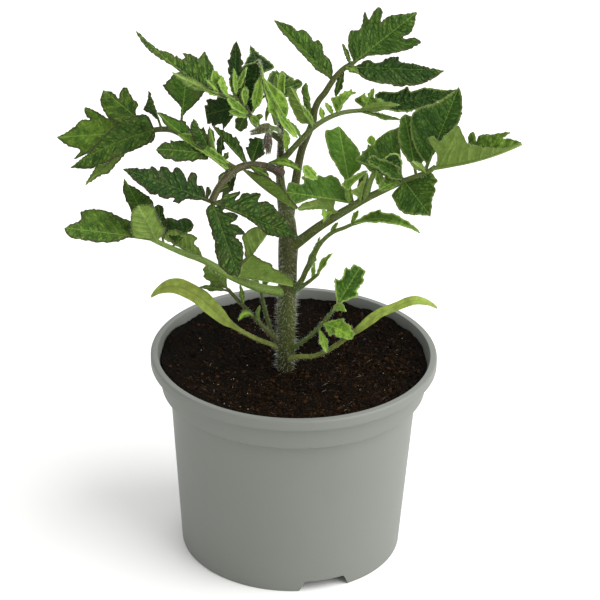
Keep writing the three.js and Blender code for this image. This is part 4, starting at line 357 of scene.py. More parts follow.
        [[-52.2, 90.2], [-53.3, 92.4], [-53.9, 94.6], [-54.0, 96.4], [-54.2, 98.6], [-54.8, 100.4]],
       ]},
      {"at": [-43.5, 85.8], "tip": [-41.5, 109.2, 8], "face": 0, "fold": 16, "stem": 8.5, "young": 0.0,
       "tone": 0.6,
       "sides": [
        [[-43.6, 95.5], [-46.5, 98.6], [-48.4, 100.6], [-49.5, 102.2], [-50.3, 103.5], [-49.3, 103.9],
         [-49.2, 104.8], [-47.7, 105.6], [-47.0, 106.9], [-45.9, 107.9], [-44.1, 108.5]],
        [[-41.6, 93.7], [-40.1, 94.9], [-38.0, 96.9], [-36.2, 99.0], [-34.7, 101.4], [-34.4, 103.4],
         [-35.2, 106.4], [-38.2, 108.5]],
       ]},
      {"at": [-31, 77.7], "tip": [-52.3, 79.7, -14], "face": 30, "fold": 15, "bow": 0.02, "stem": 3,
       "tone": 0.3,
       "sides": [
        [[-33.1, 76.3], [-35.3, 76.4], [-37.5, 76.3], [-38.6, 75.7], [-40.5, 75.9], [-42.7, 75.8],
         [-44.9, 75.9], [-46.4, 76.5], [-47.8, 76.5], [-49.3, 76.8], [-50.4, 77.5], [-51.6, 78.6]],
        [[-33.9, 78.6], [-36.1, 79.5], [-37.6, 80.9], [-39.5, 82.2], [-41.4, 82.9], [-43.6, 83.4],
         [-45.4, 83.2], [-46.9, 83.5], [-47.0, 82.2], [-48.0, 82.5], [-49.1, 82.8], [-49.4, 82.1],
         [-50.5, 81.6], [-51.6, 80.6]],
       ]},
      {"at": [-38, 82.4], "tip": [-52.1, 93.4, -7], "fold": 30, "bow": -0.03, "stem": 2, "young": 0.0,
       "tone": 0.7,
       "sides": [
        [[-39.9, 83.3], [-43.6, 84.8], [-47.3, 86.8], [-48.8, 88.4], [-50.0, 90.2], [-51.1, 91.9]],
        [[-38.5, 85.7], [-39.8, 87.7], [-40.7, 88.9], [-41.9, 90.4], [-43.4, 90.7], [-45.6, 91.4],
         [-48.2, 92.5], [-50.8, 93.4]],
       ]},
      {"at": [-32, 78.4], "tip": [-38.6, 91.2, -12], "face": 15, "stem": 2.5,
       "sides": [
        [[-33.9, 79.5], [-36.2, 80.9], [-37.7, 82.4], [-39.2, 84.6], [-39.8, 87.1], [-39.6, 89.3]],
        [[-32.7, 80.6], [-33.3, 83.6], [-33.5, 84.9], [-34.4, 87.2], [-35.0, 88.3], [-35.7, 87.6],
         [-36.3, 87.8], [-37.1, 89.2], [-37.8, 90.3]],
       ]},
      {"at": [-29.8, 76.9], "tip": [-32.8, 88.7, -8], "face": 15, "stem": 2, "tone": 0.6,
       "sides": [
        [[-31.7, 78.5], [-32.9, 81.4], [-33.3, 84.3], [-33.3, 86.5]],
        [[-30.0, 79.2], [-30.5, 81.4], [-30.7, 83.6], [-31.1, 86.2], [-31.8, 87.6]],
       ]},
      {"at": [-28.3, 75.8], "tip": [-28.2, 85.7, -7], "face": 15, "stem": 2, "young": 0.0,
       "sides": [
        [[-30.0, 78.9], [-30.1, 81.1], [-29.8, 83.7], [-29.1, 85.0]],
        [[-28.6, 78.5], [-28.4, 79.8], [-27.1, 80.2], [-27.0, 81.1], [-27.4, 82.4], [-27.6, 84.1]],
       ]},
      {"at": [-27.5, 75.2], "tip": [-25.7, 79.3, -13], "young": 0.3, "width": 2.6, "cut": 0.3,
       "blunt": 0.8},
      {"at": [-24.8, 73.2], "tip": [-29.2, 66.2, -11], "face": 40, "stem": 1.5, "young": 0.3, "width": 6,
       "cut": 0.2, "blunt": 0.8},
    ],
  },
  {
    "node": "leaf_upper_left", "thick": [1.0, 0.75],
    "stalk": [
      [-6.6, 84.5, 1], [-10.5, 86.8, -1], [-16.1, 89.9, -2], [-18.3, 93.6, -3], [-21, 97.2, -4],
      [-25, 99.6, -5], [-30, 101, -6], [-33, 101.8, -6.5],
    ],
    "leaflets": [
      {"at": [-33, 101.8], "tip": [-60.6, 123.1, -10], "fold": 25, "bow": -0.03, "young": 0.2,
       "sides": [
        [[-34.4, 102.0], [-36.6, 102.7], [-38.8, 103.2], [-40.7, 104.2], [-42.2, 106.2],
         [-44.1, 108.8], [-46.3, 110.3], [-49.0, 111.6], [-51.6, 113.1], [-53.8, 114.6],
         [-55.7, 116.2], [-57.2, 117.7], [-58.7, 119.5], [-59.6, 121.1]],
        [[-30.4, 103.5], [-30.2, 106.5], [-30.9, 110.0], [-31.6, 111.6], [-32.4, 112.7],
         [-33.2, 114.5], [-33.9, 115.8], [-34.7, 115.7], [-35.8, 114.6], [-37.0, 113.4],
         [-38.3, 114.2], [-40.2, 115.1], [-42.0, 115.3], [-43.3, 115.2], [-42.2, 114.0],
         [-42.7, 113.3], [-43.8, 113.0], [-44.6, 113.5], [-45.5, 114.4], [-46.1, 113.9],
         [-47.2, 115.0], [-48.7, 115.7], [-50.9, 116.2], [-53.1, 116.9], [-55.3, 118.1],
         [-57.2, 119.9], [-59.1, 121.3]],
       ]},
      {"at": [-30.5, 101.1], "tip": [-47.2, 108.3, -11], "face": 165, "bow": -0.03, "stem": 2,
       "young": 0.9, "width": 4.6, "cut": 0.2},
      {"at": [-24, 99.1], "tip": [-23.7, 120.4, 1], "face": 10, "fold": 25, "stem": 6, "young": 0.0,
       "width": 7.5, "lobes": 3, "cut": 0.3, "blunt": 0.4, "tone": 0.0},
      {"at": [-22.3, 98.2], "tip": [-20.2, 110.4, -2], "fold": 40, "stem": 2, "young": 0.4, "width": 2.8,
       "lobes": 0, "cut": 0, "blunt": 0.4},
      {"at": [-27.5, 100.4], "tip": [-29.2, 107.4, -3], "fold": 40, "young": 0.6, "width": 3.2,
       "cut": 0.2, "blunt": 0.5},
      {"at": [-29, 100.8], "tip": [-35, 106.2, -9], "fold": 40, "young": 0.9, "width": 3.2, "cut": 0.2,
       "blunt": 0.5},
      {"at": [-20.7, 97], "tip": [-34.2, 92.8, 2], "face": 10, "stem": 2, "young": 0.0, "width": 16,
       "lobes": 2, "cut": 0.45, "blunt": 1.0, "tone": 0.0},
      {"at": [-19, 94.8], "tip": [-22.3, 87.4, 1], "face": 10, "stem": 1.5, "width": 7, "cut": 0.3,
       "blunt": 0.9, "tone": 0.2},
      {"at": [-20.3, 96.4], "tip": [-25.5, 92.8, -8], "face": 150, "fold": 30, "bow": 0.1, "young": 0.5,
       "width": 3.2, "cut": 0.3, "blunt": 0.8},
      {"at": [-16.5, 90.5], "tip": [-13.3, 92.8, -4], "face": 30, "fold": 30, "bow": 0.1, "stem": 0.8,
       "young": 0.8, "width": 3.4, "cut": 0.2, "blunt": 0.8},
    ],
  },
  {
    "node": "leaf_back_top", "thick": [0.95, 0.7],
    "stalk": [
      [-6.7, 87.5, 1.5], [-7.5, 91.5, 4], [-10, 95.5, 8], [-11.6, 99.5, 13], [-13, 104, 19],
      [-14, 107.8, 25],
    ],
    "leaflets": [
      {"at": [-14, 107.8], "tip": [-18.4, 118.9, 44], "face": 0, "fold": 12, "young": 0.0,
       "sides": [
        [[-16.8, 107.9], [-19.8, 108.5], [-21.1, 111.1], [-19.9, 113.3], [-18.6, 115.2],
         [-18.6, 117.0]],
        [[-9.1, 107.3], [-6.9, 108.6], [-8.4, 109.9], [-9.5, 111.0], [-10.7, 112.4], [-11.8, 113.5],
         [-13.3, 114.7], [-15.2, 115.8], [-17.0, 117.4]],
       ]},
      {"at": [-13.2, 104.6], "tip": [0.3, 105.6, 37], "face": 0, "fold": 12, "stem": 2, "young": 0.0,
       "sides": [
        [[-10.8, 102.5], [-7.2, 102.4], [-3.5, 102.6], [-0.9, 102.9], [-0.4, 104.0], [0.2, 104.9]],
        [[-11.0, 108.3], [-8.4, 109.7], [-6.9, 109.0], [-6.2, 109.6], [-4.9, 108.5], [-3.2, 107.4],
         [-2.1, 106.7], [-2.8, 104.5], [-1.7, 106.0], [-0.6, 106.4]],
       ]},
      {"at": [-13.2, 104.6], "tip": [-25.5, 106.5, 34], "face": 0, "fold": 15, "stem": 2, "young": 0.0,
       "width": 13, "lobes": 2, "cut": 0.25, "skew": 0.1, "blunt": 0.9},
      {"at": [-11.8, 100.2], "tip": [1.0, 105.3, 22], "fold": 15, "stem": 2, "young": 0.3, "width": 9,
       "lobes": 2, "cut": 0.4, "skew": 0.1, "blunt": 0.9},
      {"at": [-11.8, 100.2], "tip": [-20.5, 97, 22], "face": 10, "fold": 15, "stem": 2, "young": 0.0,
       "width": 9, "cut": 0.3, "skew": 0.1, "blunt": 0.9},
      {"at": [-12.7, 102.8], "tip": [-5.2, 91.8, 9], "fold": 50, "bow": 0.06, "stem": 2, "young": 0.15,
       "width": 5.4, "lobes": 0, "cut": 0, "skew": 0.2, "tone": 0.3},
      {"at": [-13.7, 106.6], "tip": [-17.2, 93.9, 14], "face": 30, "fold": 40, "bow": -0.1, "stem": 2,
       "young": 0.55, "width": 5.4, "lobes": 0, "cut": 0},
      {"at": [-10.8, 97.3], "tip": [-12.2, 90.9, 4], "face": 30, "fold": 40, "stem": 0.5, "young": 0.3,
       "width": 2.6, "cut": 0.3},
      {"at": [-7.6, 91.8], "tip": [-0.8, 85.6, -4], "face": 40, "fold": 40, "bow": 0.12, "young": 0.7,
       "width": 3, "lobes": 0, "cut": 0, "blunt": 0.5},
    ],
  },
  {
    "node": "leaf_top_right", "thick": [1.75, 0.9],
    "stalk": [
      [-3.4, 54, 0], [-2.2, 60, 1], [-1, 67, 2.5], [0, 74, 4], [1.1, 80, 5.5], [3.2, 86, 7.5],
      [5.2, 91, 9], [6.2, 97.3, 11], [9.3, 101.7, 12.5], [12.3, 106.6, 14], [15.5, 110.4, 15.5],
      [19.5, 113, 17],
    ],
    "leaflets": [
      {"at": [19.5, 113], "tip": [42.6, 132.2, 26], "face": 8, "fold": 16, "stem": 0.6,
       "sides": [
        [[21, 113.6], [26, 115.9], [32, 116.4], [35.5, 117.2], [40.4, 118.8], [44.4, 121.3],
         [42.5, 122.7], [37.8, 122.6], [40.9, 125.3]],
        [[18.6, 114.6], [17.5, 119.5], [18.4, 124.9], [21.6, 125.5], [23.5, 132.2], [25, 129.2],
         [27, 132.9], [28.8, 134], [30, 132], [29.4, 128.4], [31.7, 130.4], [35.8, 131.3]],
       ]},
      {"at": [17, 111.5], "tip": [53.2, 110.9, 22], "face": 18, "fold": 30, "stem": 3, "young": 0.0,
       "tone": 0.0,
       "sides": [
        [[22, 108.5], [26, 106.6], [31, 105.9], [37, 105.3], [43, 105.5], [49, 107.7]],
        [[21.5, 112.5], [24.5, 114.3], [29, 113.3], [32.3, 115.3], [36.4, 115.6], [36.4, 114.2],
         [42, 113.3], [48, 111.8]],
       ]},
      {"at": [12.5, 106.8], "tip": [-9.7, 128.2, 18], "face": 30, "fold": 55, "stem": 1.5, "young": 0.15,
       "tone": 0.35,
       "sides": [
        [[9.5, 108.1], [6, 110.5], [1, 115.8], [-4, 120.8], [-8, 125]],
        [[12.2, 110.5], [11.3, 113.8], [8.8, 116.6], [8.3, 119], [6.7, 121.3], [5, 120.8],
         [3.3, 123.6], [1, 125.2], [-1, 124.6], [-3.5, 126.4]],
       ]},
      {"at": [16, 110.8], "tip": [13.3, 100.3, 12], "fold": 30, "young": 0.0, "width": 4.4, "cut": 0.2,
       "blunt": 0.8},
      {"at": [18.6, 112.5], "tip": [15.6, 120, 12], "fold": 30, "width": 2.8, "cut": 0.2, "blunt": 0.8},
      {"at": [16.2, 111], "tip": [21.5, 109.3, 10], "fold": 30, "bow": 0.1, "young": 0.7, "width": 3.6,
       "cut": 0.2, "blunt": 1.0},
      {"at": [5.0, 90.5], "tip": [2.5, 105.5, 13], "face": 10, "fold": 25, "stem": 3,
       "sides": [
        [[3.7, 93.2], [2.6, 95.7], [1.6, 97.6], [1.2, 100.5], [0.9, 103.1], [1.6, 104.7]],
        [[5.2, 93.2], [4.4, 96.2], [3.8, 99.5], [3.3, 102.8], [3.1, 104.4]],
       ]},
    ],
  },
  {
    "node": "leaf_upper_right", "thick": [1.1, 0.7],
    "stalk": [
      [-6.4, 76.5, 0.5], [-4, 78.8, -1.5], [0, 83.4, -2.5], [5, 88.7, -1], [10, 92.2, 2],
      [15, 94.4, 5], [20, 95.4, 8], [25, 95.7, 11], [28, 95.9, 13],
    ],
    "leaflets": [
      {"at": [28, 95.9], "tip": [58.7, 104.3, 20], "face": 25, "fold": 26, "stem": 0.6, "young": 0.0,
       "tone": 0.0,
       "sides": [
        [[32.8, 96], [36.5, 95.5], [40.2, 95.5], [43.5, 96.2], [50, 98.7], [55, 101.4]],
        [[28.3, 99], [27.9, 101.7], [29.7, 103], [33, 102.8], [36.6, 103], [39.8, 105], [40.6, 103.2],
         [46.2, 104.6], [50, 104.1], [54.6, 103.8]],
       ]},
      {"at": [24, 95.7], "tip": [27.3, 104, 14], "face": 10, "young": 0.5,
       "sides": [
        [[20.2, 96.1], [19.1, 97.9], [20.2, 99.6], [21.6, 100.6], [23.1, 101.5], [24.1, 102.3],
         [24.3, 101.4], [24.9, 100.6], [25.6, 102.5], [26.7, 103.4]],
        [[27.9, 96.6], [30.5, 97.4], [30.8, 99.3], [29.7, 100.4], [28.2, 100.1], [27.4, 100.7],
         [27.7, 102.5]],
       ]},
      {"at": [21, 95.5], "tip": [37, 98, 5], "face": 160, "fold": 30, "bow": 0.03, "young": 0.6,
       "width": 5, "cut": 0.2, "blunt": 0.8},
      {"at": [23, 95.6], "tip": [38.8, 92.5, 6], "face": 40, "fold": 60, "bow": -0.04, "stem": 2,
       "young": 0.0, "width": 4.4, "cut": 0.2, "skew": -0.2, "blunt": 0.7},
      {"at": [14, 94.1], "tip": [19.3, 103.6, 8], "face": 10, "fold": 30, "young": 0.65,
       "sides": [
        [[13.2, 95.6], [12.3, 97.8], [11.5, 100.2], [12.8, 100.4], [14.2, 100.8], [15.3, 101.7],
         [16.8, 102.7], [17.9, 102.5]],
        [[15.4, 95.6], [16.5, 97.9], [17.8, 99.7], [19.4, 101.3], [20.7, 101.8], [20.8, 102.5],
         [19.4, 102.5]],
       ]},
      {"at": [13, 93.7], "tip": [9.7, 98.2, 1], "face": 10, "fold": 30, "young": 0.6, "width": 3,
       "cut": 0.4, "blunt": 0.9},
      {"at": [9, 91.6], "tip": [8, 96.6, 0], "face": 10, "fold": 30, "young": 0.8, "width": 2.6,
       "lobes": 0, "cut": 0, "blunt": 0.9},
      {"at": [5, 88.6], "tip": [-3.3, 103.7, 3], "face": 165, "stem": 2, "young": 0.9,
       "sides": [
        [[2.7, 89.1], [0.5, 90.9], [-1.4, 93.5], [-3.0, 96.4], [-4.0, 99.7], [-4.2, 101.9]],
        [[3.8, 90.2], [1.9, 92.4], [0.7, 95.0], [0.1, 97.9], [-0.5, 100.5], [-1.6, 102.7]],
       ]},
      {"at": [1.5, 85], "tip": [-4, 92, -6], "face": 30, "fold": 40, "stem": 0.5, "width": 2.6,
       "cut": 0.2, "blunt": 0.5},
    ],
  },
  {
    "node": "leaf_right", "thick": [1.9, 0.85],
    "stalk": [
      [-3, 44.5, 0], [0.6, 46.7, -2], [8.2, 52.6, -6], [18.4, 59.1, -11], [25.5, 63.4, -14],
      [30.8, 66.1, -16], [37.7, 69.4, -18.5], [43, 71.6, -20], [48, 73.6, -21.5], [50.5, 75.5, -22],
    ],
    "leaflets": [
      {"at": [50.5, 75.5], "tip": [82.1, 85, -30], "face": 85, "fold": 130, "bow": -0.045, "stem": 0.6,
       "young": 0.5,
       "sides": [
        [[50.2, 80], [45.4, 86.6], [47.2, 87.5], [50, 85.4], [52.5, 88.4], [55.8, 90.3], [58.3, 91.1],
         [60.6, 87], [62.2, 84.2], [65.1, 83.8], [68, 83.2], [72, 82.8], [76, 82.9], [79.5, 84]],
        [[57, 82], [62, 84.6], [62, 87.7], [63.9, 89.4], [65.1, 87.6], [65.2, 85.4], [66.6, 87.8],
         [69.9, 88.4], [73.5, 88.9], [78.5, 89.3], [76.5, 87.4], [75.4, 86.8], [78, 86.7], [80.1, 86]],
       ]},
      {"at": [46.5, 73], "tip": [58.7, 105.1, -12], "face": 5, "fold": 22, "stem": 5, "young": 0.0,
       "sides": [
        [[49, 79], [54, 84.5], [57.5, 88.5], [58.8, 91.3], [59.9, 95.4], [60.1, 99], [59.5, 103]],
        [[45, 79], [42.2, 84], [41, 89], [41.2, 94], [44, 97], [48, 98], [52, 99.7], [56, 102.6]],
       ]},
      {"at": [44, 72], "tip": [38.9, 94.6, -10], "face": 5, "stem": 4, "young": 0.0,
       "sides": [
        [[41.2, 76.5], [39.6, 78.6], [37.6, 82], [36.5, 86], [36.9, 90.3], [37.5, 93.2]],
        [[46, 77], [48, 83], [46, 88], [43, 91.8], [40.7, 94.2]],
       ]},
      {"at": [40, 70.3], "tip": [21.2, 77.4, -15], "face": 8, "fold": 16, "stem": 2,
       "sides": [
        [[36.2, 69.9], [33.3, 71.0], [30.3, 72.2], [28.4, 72.7], [26.6, 73.2], [25.1, 74.9],
         [22.8, 76.3]],
        [[38.4, 73.3], [37.9, 77.7], [37.7, 81.4], [37.6, 85.8], [37.3, 90.1], [35.5, 89.4],
         [32.9, 88.3], [30.7, 86.8], [28.9, 85.4], [27.8, 84.3], [26.8, 83.0], [25.6, 83.3],
         [25.1, 81.3], [23.5, 80.7], [23.2, 79.2], [22.1, 78.7]],
       ]},
      {"at": [39, 70], "tip": [25.4, 77.6, -24], "fold": 60, "bow": 0.05, "young": 0.0,
       "sides": [
        [[37.0, 70.3], [34.4, 71.0], [32.1, 72.4], [29.5, 74.2], [27.3, 75.6], [25.8, 76.7]],
        [[37.7, 71.8], [36.9, 74.7], [35.4, 76.6], [33.1, 77.4], [30.5, 77.9], [28.3, 79.0],
         [26.5, 78.8]],
       ]},
      {"at": [38.8, 70], "tip": [49.2, 57.3, -34], "face": 5, "fold": 15, "stem": 0.8, "tone": 0.2,
       "sides": [
        [[36.2, 69.9], [33.3, 69.9], [31.8, 68.7], [32.6, 66.6], [34.5, 64.6], [35.6, 63.3],
         [36.2, 61.1], [37.6, 59.3], [39.8, 58.1], [42.8, 57.6], [46.1, 57.5]],
        [[39.5, 71.9], [40.9, 73.9], [43.1, 74.8], [45.3, 74.6], [47.9, 73.9], [50.2, 72.4],
         [51.3, 70.8], [50.2, 69.1], [50.7, 66.9], [49.8, 64.3], [49.7, 61.0]],
       ]},
      {"at": [38, 69.6], "tip": [29.8, 66.3, -27], "face": 30, "fold": 30, "bow": 0.05, "young": 0.4,
       "width": 6, "cut": 0.15, "blunt": 0.9},
      {"at": [21, 60.8], "tip": [14.7, 89.7, -4], "face": 5, "fold": 16, "stem": 9, "young": 0.0,
       "tone": 0.55,
       "sides": [
        [[16.3, 71.4], [14.0, 75.0], [12.1, 77.9], [11.0, 80.8], [10.2, 84.1], [9.7, 86.9],
         [10.3, 88.2], [11.9, 88.3]],
        [[20.4, 71.5], [21.8, 73.0], [23.3, 74.5], [23.6, 77.4], [23.1, 79.6], [21.6, 82.2],
         [19.7, 84.3], [17.8, 86.5], [16.0, 88.7]],
       ]},
      {"at": [22.5, 61.8], "tip": [-4.2, 65.0, -14], "face": 18, "fold": 18, "stem": 5, "young": 0.0,
       "tone": 0.45,
       "sides": [
        [[17.9, 65.0], [16.1, 64.0], [15.4, 65.1], [13.2, 64.3], [12.4, 63.4], [10.2, 63.5],
         [5.8, 62.9], [2.2, 61.7], [-0.4, 60.8], [-2.3, 62.1]],
        [[18.6, 66.3], [16.4, 67.7], [15.6, 69.5], [14.9, 70.6], [13.7, 71.5], [11.9, 72.1],
         [10.4, 71.1], [8.2, 71.6], [6.8, 71.2], [4.6, 70.4], [2.0, 71.0], [1.4, 70.5], [2.4, 69.2],
         [2.0, 68.1], [-0.9, 68.4], [-3.1, 68.6]],
       ]},
      {"at": [15.5, 57.4], "tip": [0.2, 58.8, -13], "face": 150, "bow": 0.12, "stem": 2, "young": 0.9,
       "sides": [
        [[12.9, 59.0], [10.3, 58.9], [6.6, 58.9], [3.0, 58.6], [1.1, 58.3]],
        [[13.4, 59.5], [12.8, 63.0], [10.2, 63.4], [7.7, 62.9], [5.5, 62.1], [3.3, 61.3], [1.8, 60.2]],
       ]},
      {"at": [15.2, 57.2], "tip": [9.8, 54.2, -13], "face": 30, "bow": 0.4, "stem": 2, "young": 0.9,
       "width": 2.6, "lobes": 0, "cut": 0, "blunt": 0.7},
      {"at": [25.3, 63.3], "tip": [28.5, 74.5, -14], "face": 30, "fold": 30, "stem": 7, "young": 0.4,
       "width": 3, "cut": 0.3, "blunt": 0.7},
      {"at": [22.5, 61.8], "tip": [25, 73.6, -8], "face": 30, "fold": 30, "bow": 0.1, "stem": 4,
       "young": 0.2, "width": 3.4, "cut": 0.3, "blunt": 0.7},
      {"at": [19.5, 59.9], "tip": [17.8, 69.8, -16], "face": 30, "fold": 30, "stem": 3, "young": 0.5,
       "width": 4.4, "lobes": 2, "cut": 0.3, "blunt": 0.9},
      {"at": [47, 73.2], "tip": [42, 77.3, -27], "face": 160, "fold": 30, "young": 0.8, "width": 4,
       "cut": 0.3, "blunt": 0.9},
    ],
  },
  {
    "node": "leaf_axil_right", "thick": [1.1, 0.65],
    "stalk": [
      [-3, 27.5, 0], [1.4, 31.3, -2.5], [4.1, 37, -5], [6, 41, -7], [9, 46.5, -9], [13, 50.4, -11],
      [17, 52.1, -12], [21, 54, -13],
    ],
    "leaflets": [
      {"at": [21, 54], "tip": [45.6, 51, -20], "face": 35, "fold": 40, "bow": 0.13, "stem": 0.5,
       "young": 0.2, "width": 7, "lobes": 2, "cut": 0.3, "skew": 0.2, "blunt": 0.7},
      {"at": [3, 34.5], "tip": [8.6, 49, -2], "face": 30, "fold": 30, "bow": -0.05, "width": 4.4,
       "cut": 0.2, "blunt": 0.7},
      {"at": [20.5, 53.7], "tip": [22.6, 58.9, -10], "face": 30, "fold": 30, "stem": 0.7, "young": 0.2,
       "width": 3, "cut": 0.3, "blunt": 0.8},
      {"at": [12, 49.6], "tip": [15.2, 54.4, -7], "face": 30, "fold": 30, "stem": 0.5, "young": 0.3,
       "width": 2.2, "lobes": 0, "cut": 0, "blunt": 0.8},
    ],
  },
  {
    "node": "leaf_axil_right", "thick": [0.9, 0.6],
    "stalk": [
      [-3, 26.5, 0], [1.4, 29.7, -3], [5, 32.3, -6], [8.2, 35, -8.5],
    ],
    "leaflets": [
      {"at": [8.2, 35], "tip": [13.4, 42.9, -11], "face": 30, "fold": 40, "bow": 0.05, "stem": 0.3,
       "young": 0.4, "width": 4, "cut": 0.3, "blunt": 0.5},
      {"at": [6.5, 33.5], "tip": [7, 39.2, -8], "face": 30, "fold": 30, "stem": 0.5, "young": 0.5,
       "width": 2.6, "cut": 0.2},
    ],
  },
  {
    "node": "leaf_basal_right", "thick": [0.85, 0.55],
    "stalk": [
      [-3, 6.6, 0], [1.5, 9, -3], [6.9, 13.2, -4], [12.4, 19.7, -3], [15.5, 23.9, -2],
    ],
    "leaflets": [
      {"at": [15.5, 23.9], "tip": [23.8, 38.1, 5], "face": 5, "fold": 15, "stem": 0.6, "young": 0.0,
       "width": 14, "lobes": 2, "cut": 0.5, "blunt": 1.0},
      {"at": [10, 16.5], "tip": [21.4, 11.6, -13], "bow": 0.06, "young": 0.8, "width": 10, "lobes": 2,
       "cut": 0.35, "skew": 0.1, "blunt": 1.0},
      {"at": [13.5, 21.2], "tip": [18.8, 21.5, -9], "bow": 0.2, "stem": 0.5, "young": 0.8, "width": 4.4,
       "cut": 0.3, "blunt": 0.9},
      {"at": [9, 15.3], "tip": [11.8, 6.2, -12], "fold": 30, "bow": 0.05, "stem": 2.5, "young": 1.0,
       "width": 4.6, "cut": 0.3, "blunt": 0.9},
    ],
  },
]

# Seed leaves: centre line with a width at each place, the stalk first
SEED_LEAVES = [
    {
        "node": "cotyledon_left", "face": 18, "fold": 30,
        "line": [
            [-3.2, 6, 0], [-7.5, 8.4, -1], [-13, 10.3, -1], [-17, 12.1, -1], [-20.4, 13.9, -1],
            [-23, 15.5, -0.4], [-25.2, 16.8, 0], [-27.5, 18.8, 0.5], [-29.7, 20.8, 0.9],
            [-32, 22.7, 1.4], [-34.2, 24.8, 1.8], [-37, 26.6, 2.4], [-39.8, 28, 3], [-42.8, 29.2, 3.3],
            [-45.6, 29.4, 3.7], [-48, 28.8, 4], [-50.5, 27.6, 4], [-52.9, 25.4, 4],
        ],
        "width": [2, 1.9, 1.8, 1.8, 1.9, 2.5, 3.8, 5.2, 6, 6.5, 6.7, 6.4, 6.5, 6.5, 5.7, 4.5, 2.7, 0.8],
    },
    {
        "node": "cotyledon_right", "face": 22, "fold": 34,
        "line": [
            [-3, 3.6, -1], [-0.5, 4, -4], [2.5, 4.5, -6], [6.5, 4.6, -7], [11, 6.2, -8],
            [16, 9.3, -8.5], [19.1, 11.6, -8.2], [21.6, 13.4, -8], [24.1, 15.3, -8], [26.8, 17.5, -8],
            [29.2, 19.4, -8], [31.9, 21.3, -8], [35, 22.6, -8], [38.3, 23.9, -8], [41.4, 25.3, -8],
            [44.3, 26, -8], [47.1, 25.8, -8], [49.7, 25, -8], [52.2, 23.5, -8],
        ],
        "width": [2, 2, 1.9, 1.8, 1.8, 1.9, 1.9, 2, 2.9, 3.8, 4.1, 3.7, 3.6, 3.6, 3.9, 3.7, 3, 1.9, 0.8],
    },
]
SEED_STALK_WIDTH = 2.1

# Flower buds near the apex: the stalks' centre lines, and each bud's ends and greatest radius
BUD_STALKS = [
    [[-6.7, 87.4, 1.3], [-7.4, 88.1, -3], [-9, 88.6, -8], [-10.6, 89, -9]],
    [[-9, 88.6, -8], [-11.2, 87, -9], [-11.9, 84.6, -9.5]],
]
BUD_STALK_RADIUS = 0.6
BUDS = [
    {"from": [-10.6, 89.6, -9], "to": [-17.9, 86.4, -10], "radius": 1.7, "flush": 0.6},
    {"from": [-11.4, 86.2, -9.5], "to": [-10.8, 78.8, -10], "radius": 1.7, "flush": 0.95},
]
SEPALS = 5

